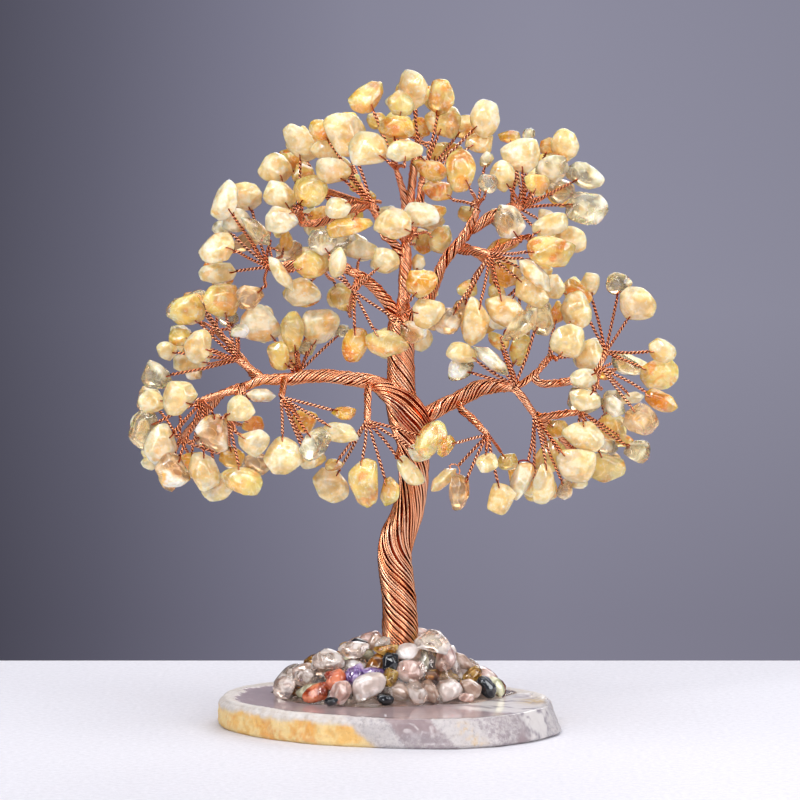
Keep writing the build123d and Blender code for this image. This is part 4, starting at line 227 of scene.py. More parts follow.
        ("LB5", -25.96, 16.13, 97.82, 0.403, 0.679, -0.411, 0.455, 4.16, 3.06, 1.59, 1264),
    ],
    "LT_amber": [
        ("LH4", -25.15, 11.93, 141.13, 0.547, 0.833, -0.044, -0.068, 3.15, 2.65, 1.38, 1073),
        ("LH4", -21.61, 9.5, 138.52, 0.813, 0.574, 0.078, 0.055, 2.89, 2.65, 1.38, 1074),
        ("LH4", -19.61, -2.6, 133.88, 0.763, 0.636, -0.085, -0.07, 4.46, 3.98, 2.07, 1076),
        ("LH4", -17.4, 17.48, 127.37, 0.612, 0.79, 0.023, 0.029, 3.68, 2.65, 1.38, 1077),
        ("LH3", -17.1, -0.21, 148.9, 0.667, 0.744, 0.026, 0.029, 3.15, 2.78, 1.45, 1081),
        ("LH3", -8.8, 7.33, 135.78, 0.635, 0.356, -0.544, 0.416, 2.36, 1.59, 1.15, 1083),
        ("LH3", -5.49, 11.14, 132.22, 0.707, 0.699, -0.075, -0.074, 2.1, 1.59, 1.15, 1084),
        ("LH3", -9.8, -13.21, 125.45, 0.767, 0.635, -0.089, 0.038, 5.78, 2.39, 1.24, 1085),
        ("LB2", -28, 24, 125.67, 0.45, 0.553, -0.327, 0.621, 4.31, 2.99, 1.56, 1195),
        ("LB2", -11.03, 27.01, 125.25, 0.736, 0.551, -0.341, 0.197, 5.11, 2.74, 1.43, 1196),
        ("LB2", -27.81, 30.84, 131.88, 0.668, 0.62, 0.322, -0.258, 4.91, 3.04, 1.58, 1197),
        ("LB2", -22.46, 34.69, 137.99, 0.646, 0.751, 0.069, -0.118, 3.41, 3.05, 1.58, 1198),
        ("LB2", -17.27, 23.46, 148.55, 0.56, 0.548, 0.482, -0.392, 3.47, 3.18, 1.66, 1200),
        ("LB2", -12.77, 19.46, 129.63, 0.611, 0.455, -0.557, 0.331, 3.61, 3.2, 1.66, 1201),
        ("LB2", -25.28, 27.68, 141.06, 0.476, 0.566, 0.511, -0.438, 3.47, 3.05, 1.58, 1202),
        ("LB6", -21.04, 17.01, 133.32, 0.742, 0.537, 0.367, -0.163, 4.14, 3.3, 1.72, 1204),
        ("LB6", -14.17, 31.97, 139.23, 0.791, 0.612, 0.004, 0.004, 4.29, 3.43, 1.78, 1205),
        ("LB6", -10.29, 23.15, 149.57, -0.49, -0.528, -0.406, 0.562, 4.34, 3, 1.56, 1207),
    ],
    "LT_milky": [
        ("LH4", -26.72, -6.4, 126.85, 0.805, 0.593, -0.004, -0.003, 4.2, 3.58, 1.86, 1070),
        ("LH4", -27.15, 1.01, 132.8, 0.751, 0.635, 0.063, -0.173, 4.46, 3.31, 1.72, 1071),
        ("LH4", -28.86, 9.03, 139.57, 0.813, 0.581, 0.034, 0.024, 4.46, 3.98, 2.07, 1072),
        ("LH4", -22.51, 4.44, 145.79, 0.556, 0.73, 0.295, -0.266, 5.51, 3.58, 1.86, 1075),
        ("LH3", -12.71, -13.24, 129.86, 0.802, 0.597, 0.008, 0.006, 3.28, 2.78, 1.45, 1078),
        ("LH3", -13.99, -4.6, 139.04, 0.615, 0.789, 0.004, 0.005, 4.73, 3.45, 1.79, 1079),
        ("LH3", -16.22, 2.18, 143.92, 0.549, 0.833, -0.039, -0.06, 3.68, 2.52, 1.31, 1080),
        ("LH3", -10.56, -3.4, 148.3, 0.667, 0.551, 0.395, -0.31, 6.04, 4.77, 2.1, 1082),
        ("LB2", -23.07, 22.82, 146.18, 0.606, 0.465, -0.566, 0.31, 4.31, 3.69, 1.92, 1199),
        ("LB6", -16.56, 27.94, 144.44, 0.578, 0.455, 0.597, -0.321, 4, 2.9, 1.51, 1203),
        ("LB6", -5.56, 27.17, 144.46, 0.718, 0.573, 0.315, -0.236, 4.59, 3.34, 1.73, 1206),
    ],
    "LU_amber": [
        ("LH1", -19.51, -6.3, 115.85, 0.64, 0.76, 0.075, 0.089, 4.46, 3.71, 1.93, 1057),
        ("LH1", -26.13, 10.03, 121.1, 0.593, 0.473, -0.54, 0.365, 2.62, 1.85, 1.15, 1061),
        ("LH2", -11.74, 4.83, 106.84, 0.812, 0.58, 0.051, 0.037, 3.41, 3.18, 1.65, 1066),
        ("LH2", -8.6, -10.9, 96.07, 0.515, 0.606, -0.439, 0.417, 4.46, 3.18, 1.65, 1067),
        ("LH2", -0.6, -13.64, 96.52, 0.596, 0.798, -0.051, -0.068, 5.51, 3.58, 1.86, 1068),
        ("LB1", -22.92, 29.68, 107.32, 0.723, 0.689, 0.045, -0.043, 4.89, 3.7, 1.92, 1192),
    ],
    "LU_clear": [
        ("LH1", -34.62, -7.33, 107.77, 0.609, 0.788, 0.052, 0.067, 3.68, 3.18, 1.65, 1050),
        ("LH1", -42.17, 6.4, 124.52, 0.595, 0.802, 0.029, 0.039, 2.62, 2.25, 1.17, 1051),
        ("LH1", -36.12, 11.47, 121.12, 0.64, 0.744, -0.077, 0.174, 3.94, 2.39, 1.24, 1052),
        ("LH1", -33.27, -2.06, 124.2, 0.916, 0.076, 0.391, -0.051, 4.99, 2.87, 1.85, 1053),
        ("LH1", -25.6, 14.09, 118.8, 0.545, 0.836, 0.034, 0.053, 3.41, 2.65, 1.38, 1059),
        ("LH2", -16.75, -8.35, 121.46, 0.748, 0.658, -0.069, -0.061, 3.68, 3.45, 1.79, 1062),
        ("LH2", 5.85, -12.08, 99.28, 0.697, 0.707, 0.082, 0.083, 3.41, 2.92, 1.52, 1069),
        ("LB1", -25.73, 31.52, 117.94, 0.727, 0.686, 0.015, 0.002, 3.75, 3.05, 1.58, 1187),
        ("LB1", -12.3, 19.67, 119.49, 0.74, 0.571, -0.246, 0.257, 4.33, 2.65, 1.38, 1191),
    ],
    "LU_milky": [
        ("LH1", -43.09, -0.54, 119.69, 0.822, 0.556, -0.1, -0.068, 4.73, 4.24, 2.1, 1048),
        ("LH1", -43.19, 3.82, 113.31, 0.601, 0.799, -0.023, -0.031, 4.86, 2.78, 1.45, 1049),
        ("LH1", -38.24, 1.99, 126.54, 0.691, 0.713, 0.083, 0.085, 3.68, 3.05, 1.58, 1054),
        ("LH1", -40.78, -0.84, 131.43, 0.658, 0.476, -0.462, 0.357, 5.25, 3.18, 1.65, 1055),
        ("LH1", -35.98, 5.27, 132.42, 0.616, 0.779, -0.073, -0.092, 4.2, 3.71, 1.93, 1056),
        ("LH1", -21.64, -2.33, 108.8, 0.631, 0.774, -0.037, -0.045, 4.73, 3.71, 1.93, 1058),
        ("LH1", -26.91, -9.45, 113.52, 0.875, -0.031, 0.484, 0.02, 5.25, 3.31, 1.85, 1060),
        ("LH2", -12.66, -17.54, 116.51, 0.782, 0.077, -0.612, 0.083, 3.94, 3.19, 2.12, 1063),
        ("LH2", -6.95, -2.56, 119.25, 0.585, 0.808, 0.051, -0.043, 4.07, 2.65, 1.38, 1064),
        ("LH2", -0.94, -14.18, 117.14, 0.632, 0.774, -0.031, -0.038, 3.41, 3.18, 1.65, 1065),
        ("LB1", -17.24, 30.04, 119.87, 0.694, 0.495, 0.347, -0.392, 4.04, 3.51, 1.83, 1188),
        ("LB1", -12.87, 31.63, 106.33, 0.641, 0.737, -0.181, 0.115, 3.75, 3.46, 1.8, 1189),
        ("LB1", -22.47, 18.06, 116.39, 0.758, 0.646, 0.079, 0.045, 4.38, 3.33, 1.73, 1190),
        ("LB1", -19.61, 26.65, 125.66, 0.637, 0.475, 0.407, -0.451, 4.03, 3.05, 1.58, 1193),
        ("LB1", -7.98, 28.27, 119, 0.729, 0.556, 0.372, -0.144, 4.33, 3.05, 1.58, 1194),
    ],
    "RL_amber": [
        ("RH2", 32.16, -1.73, 94.31, 0.428, 0.645, -0.388, 0.5, 4.2, 2.65, 1.38, 1145),
        ("RH2", 26.83, -5.18, 96.75, 0.565, 0.755, 0.279, -0.184, 3.15, 1.85, 1.15, 1148),
        ("RH5", 41.82, 3.14, 103.32, 0.535, 0.539, -0.386, 0.523, 3.15, 1.85, 1.15, 1152),
        ("RH1", 46.95, 5.87, 108.22, 0.623, 0.678, 0.329, -0.209, 4.2, 2.52, 1.31, 1153),
        ("RH1", 67.94, 6.5, 87.55, 0.666, 0.725, -0.13, 0.114, 4.99, 4.11, 2.1, 1158),
        ("RH7", 67.69, -0.89, 81.26, 0.555, 0.792, 0.078, -0.242, 4.46, 2.65, 1.38, 1160),
        ("RH7", 54.05, 10.18, 87.57, 0.758, 0.646, -0.07, -0.06, 2.1, 1.59, 1.15, 1165),
        ("RH3", 41.79, -1.09, 74.55, 0.57, 0.814, 0.064, 0.092, 2.89, 2.52, 1.31, 1166),
        ("RH3", 40.18, -1.72, 67.9, 0.597, 0.557, -0.446, 0.365, 4.46, 3.71, 1.93, 1167),
        ("RH3", 35.9, -4.13, 59.75, 0.592, 0.805, 0.028, 0.038, 3.15, 2.39, 1.24, 1171),
        ("RH8", 56.16, 10.59, 74.1, 0.774, 0.563, 0.188, -0.22, 3.68, 2.78, 1.45, 1176),
        ("RH8", 54.04, -0.46, 64.67, 0.758, 0.65, 0.016, -0.043, 4.99, 3.71, 1.93, 1178),
        ("RH8", 59.21, 6.41, 70.89, 0.597, 0.8, -0.039, -0.053, 2.62, 1.85, 1.15, 1180),
        ("RH4", 13.89, -16.92, 71.47, 0.658, 0.561, -0.295, 0.405, 2.89, 1.72, 1.15, 1181),
        ("RH4", 29.51, -0.91, 66.22, 0.616, 0.782, 0.057, 0.073, 2.62, 2.25, 1.17, 1185),
        ("RB3", 49.42, 12.74, 71.15, 0.549, 0.596, 0.388, -0.439, 4.23, 3.14, 1.63, 1233),
        ("RB3", 39.13, 20.92, 58.88, 0.578, 0.589, 0.425, -0.371, 4.98, 3.13, 1.63, 1234),
        ("RB3", 36.39, 16.92, 57.76, 0.58, 0.614, 0.416, -0.339, 3.47, 2.74, 1.43, 1236),
        ("RB3", 32.94, 18.81, 60.55, 0.543, 0.6, 0.456, -0.371, 4.16, 2.65, 1.38, 1238),
        ("RB4", 44.42, 17.64, 95.53, 0.525, 0.724, -0.345, 0.285, 4.11, 3.18, 1.65, 1243),
        ("RB4", 57.05, 22, 72.66, 0.657, 0.729, -0.12, 0.147, 4.04, 3.2, 1.66, 1245),
    ],
    "RL_clear": [
        ("RH2", 17.35, -8.62, 90, 0.585, 0.638, -0.389, 0.316, 3.68, 2.92, 1.52, 1143),
        ("RH2", 24.98, -13.73, 92.54, -0.03, 0.934, -0.018, -0.355, 5.51, 2.89, 1.85, 1144),
        ("RH2", 37.28, -5.44, 102.6, 0.388, 0.522, -0.532, 0.542, 4.99, 3.45, 1.79, 1146),
        ("RH2", 32.1, -13.64, 100.98, 0.934, 0.082, -0.345, 0.038, 5.91, 3.13, 2.25, 1147),
        ("RH1", 57.65, 8.55, 110.38, 0.585, 0.803, -0.068, -0.093, 3.41, 3.18, 1.65, 1155),
        ("RH1", 60.02, 16.82, 89.19, 0.638, 0.728, 0.226, -0.109, 4.46, 2.39, 1.24, 1159),
        ("RH7", 62.5, -4.65, 77.28, 0.698, 0.713, -0.045, -0.046, 4.46, 4.11, 2.1, 1161),
        ("RH3", 43.61, -4.68, 59.8, 0.541, 0.527, -0.543, 0.368, 2.89, 1.99, 1.15, 1172),
        ("RH8", 55.45, -4.43, 80.52, 0.944, -0.028, 0.329, 0.017, 3.41, 2.81, 2.25, 1174),
        ("RH8", 54.29, 8.7, 69.43, 0.994, 0.04, 0.105, 0.004, 3.41, 3.05, 1.99, 1177),
        ("RH8", 61.9, 1.34, 68.54, 0.836, 0.547, -0.033, -0.021, 3.41, 3.05, 1.58, 1179),
        ("RH4", 17.13, -15.22, 60.07, 0.353, 0.59, -0.419, 0.593, 4.46, 2.92, 1.52, 1183),
        ("RB3", 49.35, 15.4, 80.31, 0.563, 0.823, 0.059, -0.045, 4.33, 3.35, 1.74, 1235),
        ("RB3", 42.12, 26.17, 72.13, 0.785, 0.599, 0.148, -0.06, 3.41, 2.9, 1.51, 1237),
        ("RB3", 56.67, 18, 79.25, 0.485, 0.509, -0.382, 0.6, 3.75, 2.65, 1.38, 1239),
        ("RB3", 55.36, 24.75, 63.16, 0.739, 0.545, -0.284, 0.277, 4.43, 2.96, 1.54, 1240),
    ],
    "RL_milky": [
        ("RH2", 17.63, -11.38, 94.24, 0.788, 0.607, 0.078, 0.06, 3.94, 2.65, 1.38, 1142),
        ("RH5", 43.71, -10.68, 97.04, 0.642, 0.766, 0.023, 0.027, 4.46, 4.37, 2.1, 1149),
        ("RH5", 46.35, -1.64, 104.04, 0.428, 0.383, -0.561, 0.597, 4.73, 3.71, 1.93, 1150),
        ("RH5", 49.24, -4.23, 93.21, 0.703, 0.509, -0.451, 0.209, 4.2, 3.58, 1.86, 1151),
        ("RH1", 50.44, 10.38, 110.06, 0.447, 0.632, -0.416, 0.477, 3.15, 2.52, 1.31, 1154),
        ("RH1", 62.1, 3.23, 105.57, 0.571, 0.812, -0.07, -0.099, 4.73, 4.5, 2.1, 1156),
        ("RH1", 68.13, 2.58, 93.82, 0.668, 0.723, 0.109, -0.137, 3.68, 2.92, 1.52, 1157),
        ("RH7", 60.87, 5.8, 81.79, 0.563, 0.822, -0.049, 0.072, 3.15, 1.59, 1.15, 1162),
        ("RH7", 47.73, -11.75, 87.96, 0.72, 0.694, 0.022, 0.021, 3.41, 2.39, 1.24, 1163),
        ("RH7", 48.19, -10.99, 82.52, 0.595, 0.803, -0.025, -0.034, 3.94, 2.92, 1.52, 1164),
        ("RH3", 46.08, -9.61, 65.94, 0.604, 0.796, -0.024, -0.032, 4.99, 4.5, 2.1, 1168),
        ("RH3", 32.45, -9.08, 62.23, -0.118, 0.827, 0.118, 0.537, 4.99, 3.32, 2.25, 1169),
        ("RH3", 38.18, -10.59, 61.59, 0.352, 0.642, -0.422, 0.535, 5.25, 3.18, 1.65, 1170),
        ("RH3", 47.42, -3.15, 60.91, 0.604, 0.789, 0.069, 0.09, 2.1, 1.46, 1.15, 1173),
        ("RH8", 48.07, -9.22, 73.71, 0.696, 0.696, 0.119, -0.127, 5.51, 3.71, 1.93, 1175),
        ("RH4", 13.15, -13.03, 62.92, 0.929, -0.049, -0.366, -0.021, 4.73, 3.08, 1.99, 1182),
        ("RH4", 23.82, -18.84, 67.55, 0.832, 0.547, -0.073, -0.048, 2.89, 2.52, 1.31, 1184),
        ("RH4", 27.42, -13.36, 58.15, 0.594, 0.563, -0.369, 0.442, 3.94, 3.18, 1.65, 1186),
        ("RB4", 51.26, 32.4, 91.41, 0.674, 0.612, -0.28, 0.306, 4.62, 3.31, 1.72, 1241),
        ("RB4", 49.82, 33.35, 83.93, 0.78, 0.594, 0.091, -0.177, 3.75, 2.74, 1.43, 1242),
        ("RB4", 47.23, 23.22, 102.79, 0.673, 0.704, -0.211, 0.088, 4.29, 3.69, 1.92, 1244),
        ("RB4", 61.2, 24.82, 89.23, 0.553, 0.807, 0.151, -0.144, 4.91, 2.74, 1.43, 1246),
    ],
    "RU_amber": [
        ("UR1", 17.47, -12.52, 138.92, 0.576, 0.423, -0.469, 0.519, 5.51, 3.71, 1.93, 1110),
        ("UR1", 11.8, 1.35, 133.96, 0.811, 0.578, 0.069, 0.049, 3.94, 2.78, 1.45, 1111),
        ("UR1", 19.62, 9.65, 127.96, 0.574, 0.819, -0.009, -0.013, 2.62, 2.12, 1.15, 1113),
        ("UR2", 39.84, 7.51, 145.01, 0.643, 0.765, -0.017, -0.02, 2.36, 2.25, 1.17, 1118),
        ("UR2", 36.37, -6.13, 135.67, 0.784, 0.616, 0.056, 0.044, 3.28, 2.65, 1.38, 1121),
        ("UR2", 29.93, 7.16, 147.26, 0.815, 0.579, -0.01, -0.007, 2.89, 1.72, 1.15, 1125),
        ("UR3", 39.59, 11.15, 120.63, 0.753, 0.652, 0.071, 0.061, 3.41, 2.39, 1.24, 1129),
        ("RH6", 28.26, 4.59, 120.3, 0.135, 0.974, -0.023, 0.178, 4.99, 2.87, 1.72, 1130),
        ("RH6", 39.62, -13.42, 119.26, 0.724, 0.69, 0.003, 0.003, 6.04, 3.98, 2.07, 1131),
        ("RH6", 28.84, 3.72, 112.68, 0.599, 0.799, 0.026, 0.035, 4.2, 3.58, 1.86, 1134),
        ("RH6", 26.66, 0.07, 108.59, 0.763, 0.647, 0, 0, 2.23, 2.12, 1.15, 1135),
        ("RH6", 19.15, -2.97, 109.66, 0.755, 0.651, 0.059, 0.051, 2.62, 2.39, 1.24, 1138),
        ("RB1", 40.97, 25.12, 139.3, 0.553, 0.662, 0.23, -0.452, 4.62, 2.97, 1.54, 1219),
        ("RB1", 40.61, 22.67, 120.44, 0.711, 0.528, 0.322, -0.334, 3.75, 2.74, 1.43, 1220),
        ("RB1", 43.43, 26.88, 133.16, 0.782, 0.606, 0.109, -0.099, 4.04, 3.75, 1.95, 1224),
        ("RB2", 37.5, 31.18, 107.81, 0.666, 0.642, 0.267, -0.272, 3.97, 3.13, 1.63, 1226),
        ("RB2", 22.58, 20, 100.1, 0.785, 0.617, -0.057, -0.022, 4.65, 3.22, 1.67, 1228),
        ("RB2", 33.02, 17.77, 99.53, 0.698, 0.487, 0.457, -0.258, 4.83, 2.65, 1.38, 1229),
        ("RB2", 37.89, 16.32, 102.07, 0.416, 0.579, -0.381, 0.588, 4.98, 3.83, 1.99, 1230),
        ("RB2", 47.44, 18.78, 107.28, 0.607, 0.639, 0.409, -0.235, 4.62, 2.9, 1.51, 1232),
    ],
    "RU_clear": [
        ("UR1", 24.15, -10.41, 135.71, 0.646, 0.763, 0.018, 0.021, 2.62, 2.39, 1.24, 1112),
        ("UR1", 23.93, -0.52, 141.57, 0.527, 0.693, -0.386, 0.306, 2.1, 1.59, 1.15, 1114),
        ("UR2", 34.63, 6.66, 147.8, 0.583, 0.675, -0.201, 0.406, 1.97, 1.59, 1.15, 1117),
        ("UR2", 40.38, 0.37, 139.36, 0.608, 0.794, 0.007, 0.009, 4.2, 3.71, 1.93, 1120),
        ("UR2", 43.07, 10.84, 133.73, 0.678, 0.735, -0.006, -0.006, 3.68, 3.31, 1.72, 1122),
        ("UR2", 48.87, 6.31, 137.54, 0.722, 0.642, 0.158, -0.204, 4.99, 3.05, 1.58, 1123),
        ("UR2", 49.18, 1.9, 129.36, 0.829, 0.55, 0.083, 0.055, 5.51, 4.5, 2.1, 1124),
        ("UR3", 29.14, -8.73, 126.58, -0.405, -0.304, 0.627, -0.592, 4.46, 3.71, 1.93, 1126),
        ("RH6", 14.34, -9.21, 101.7, 0.616, 0.711, -0.25, 0.23, 3.68, 3.31, 1.72, 1139),
        ("RH6", 17.92, -5.1, 105.13, 0.548, 0.829, 0.061, 0.092, 2.36, 2.12, 1.15, 1140),
        ("RB1", 33.19, 22.18, 141.85, 0.811, 0.555, 0.055, -0.177, 4.27, 3.24, 1.69, 1222),
        ("RB1", 29.93, 33.29, 125.65, 0.595, 0.787, -0.019, -0.16, 4.91, 3.32, 1.72, 1223),
    ],
    "RU_milky": [
        ("UR2", 32.39, -0.71, 142.63, 0.716, 0.697, 0.027, 0.026, 4.99, 4.37, 2.1, 1115),
        ("UR2", 27.87, -2.65, 137.61, 0.542, 0.539, -0.491, 0.418, 3.94, 3.18, 1.65, 1116),
        ("UR2", 43.68, 4.17, 145.17, 0.598, 0.619, -0.418, 0.289, 3.94, 3.71, 1.93, 1119),
        ("UR3", 39.6, -6.62, 125.55, 0.704, 0.694, -0.043, 0.142, 4.73, 2.65, 1.38, 1127),
        ("UR3", 45.04, -1.63, 121.71, 0.57, 0.817, -0.047, -0.068, 3.94, 3.58, 1.86, 1128),
        ("RH6", 35.83, -12.5, 113.43, 0.921, 0.103, 0.376, -0.023, 5.51, 3.34, 2.12, 1132),
        ("RH6", 35.14, -8.94, 109.19, 0.721, 0.643, 0.149, -0.212, 4.73, 3.18, 1.65, 1133),
        ("RH6", 28.39, -8.53, 104.33, 0.634, 0.754, 0.117, -0.126, 5.51, 3.84, 2, 1136),
        ("RH6", 21.09, -10.03, 102.11, -0.373, -0.533, 0.574, -0.497, 6.3, 3.71, 1.93, 1137),
        ("RH6", 40.7, -4.19, 110.21, 0.618, 0.583, -0.465, 0.248, 3.15, 2.92, 1.52, 1141),
        ("RB1", 37.86, 34.34, 135.61, 0.548, 0.609, -0.423, 0.387, 3.61, 3.05, 1.58, 1217),
        ("RB1", 41.08, 26.73, 124.33, 0.476, 0.608, 0.446, -0.453, 5.06, 3.05, 1.58, 1218),
        ("RB1", 29.81, 32.28, 137.67, 0.49, 0.663, 0.414, -0.385, 3.98, 3.53, 1.84, 1221),
        ("RB2", 29.29, 27.17, 112.88, 0.737, 0.583, -0.267, 0.212, 4.33, 3.8, 1.98, 1225),
        ("RB2", 28.85, 14.71, 102.76, 0.624, 0.612, -0.323, 0.363, 4.9, 3.04, 1.58, 1227),
        ("RB2", 37.79, 27.16, 112.36, 0.716, 0.635, -0.272, 0.099, 4.14, 2.65, 1.38, 1231),
    ],
    "TR_amber": [
        ("H6", -13.74, -8.59, 66.2, 0.634, 0.771, -0.039, -0.048, 2.36, 1.59, 1.15, 1042),
        ("H6", -6.65, -11.58, 61.95, 0.547, 0.439, -0.579, 0.415, 6.3, 3.84, 2, 1043),
        ("H6", 0.02, -9.66, 59.53, 0.529, 0.533, -0.56, 0.351, 3.94, 2.39, 1.24, 1044),
        ("H6", 10.09, -13.45, 73.14, 0.741, 0.468, -0.371, 0.308, 4.99, 3.45, 1.79, 1047),
        ("TM", 7.87, -19.1, 111.43, 0.663, 0.747, -0.025, -0.028, 3.94, 3.45, 1.79, 1108),
        ("BK1", 15.41, 26, 100.31, 0.618, 0.781, -0.086, 0.024, 4.04, 3.51, 1.83, 1267),
        ("BK1", 10.71, 35.25, 101.19, 0.766, 0.558, 0.306, -0.092, 4.14, 3.75, 1.95, 1269),
    ],
    "TR_milky": [
        ("H6", -14.67, -3.63, 60.59, 0.737, 0.624, 0.196, -0.169, 4.99, 3.98, 2.07, 1041),
        ("H6", 4.87, -9.25, 64.63, 0.683, 0.55, 0.356, -0.323, 4.99, 2.78, 1.45, 1045),
        ("H6", 7.41, -11.07, 69.53, 0.66, 0.749, 0.043, 0.048, 3.02, 2.52, 1.31, 1046),
        ("TM", 7.08, 0.83, 115.92, 0.614, 0.525, -0.5, 0.313, 2.1, 1.85, 1.15, 1107),
        ("TM", 9.61, -16.05, 103.96, 0.652, 0.758, 0.002, 0.003, 4.07, 3.84, 2, 1109),
        ("BK1", 7.28, 20.63, 96.32, 0.719, 0.55, 0.358, -0.232, 3.75, 3.32, 1.73, 1266),
        ("BK1", 8.41, 32.47, 108.74, 0.57, 0.679, 0.199, -0.418, 4.33, 3.77, 1.96, 1268),
        ("BK1", -0.66, 35.99, 93.96, 0.454, 0.546, 0.562, -0.424, 4.33, 3.14, 1.63, 1270),
        ("BK2", 12.16, 29.15, 121.43, 0.813, 0.555, -0.108, 0.142, 3.9, 2.99, 1.55, 1271),
        ("BK2", -0.34, 17.68, 125.57, 0.562, 0.501, 0.436, -0.493, 4.34, 3.05, 1.58, 1272),
        ("BK2", -1.58, 30.73, 115.02, 0.779, 0.624, -0.038, 0.036, 3.75, 2.98, 1.55, 1273),
        ("BK2", 8.01, 32.69, 120.6, 0.46, 0.688, 0.353, -0.436, 3.41, 2.65, 1.38, 1274),
        ("BK2", 8.83, 17.07, 127.12, 0.502, 0.809, 0.217, -0.216, 5.05, 3.5, 1.82, 1275),
    ],
}

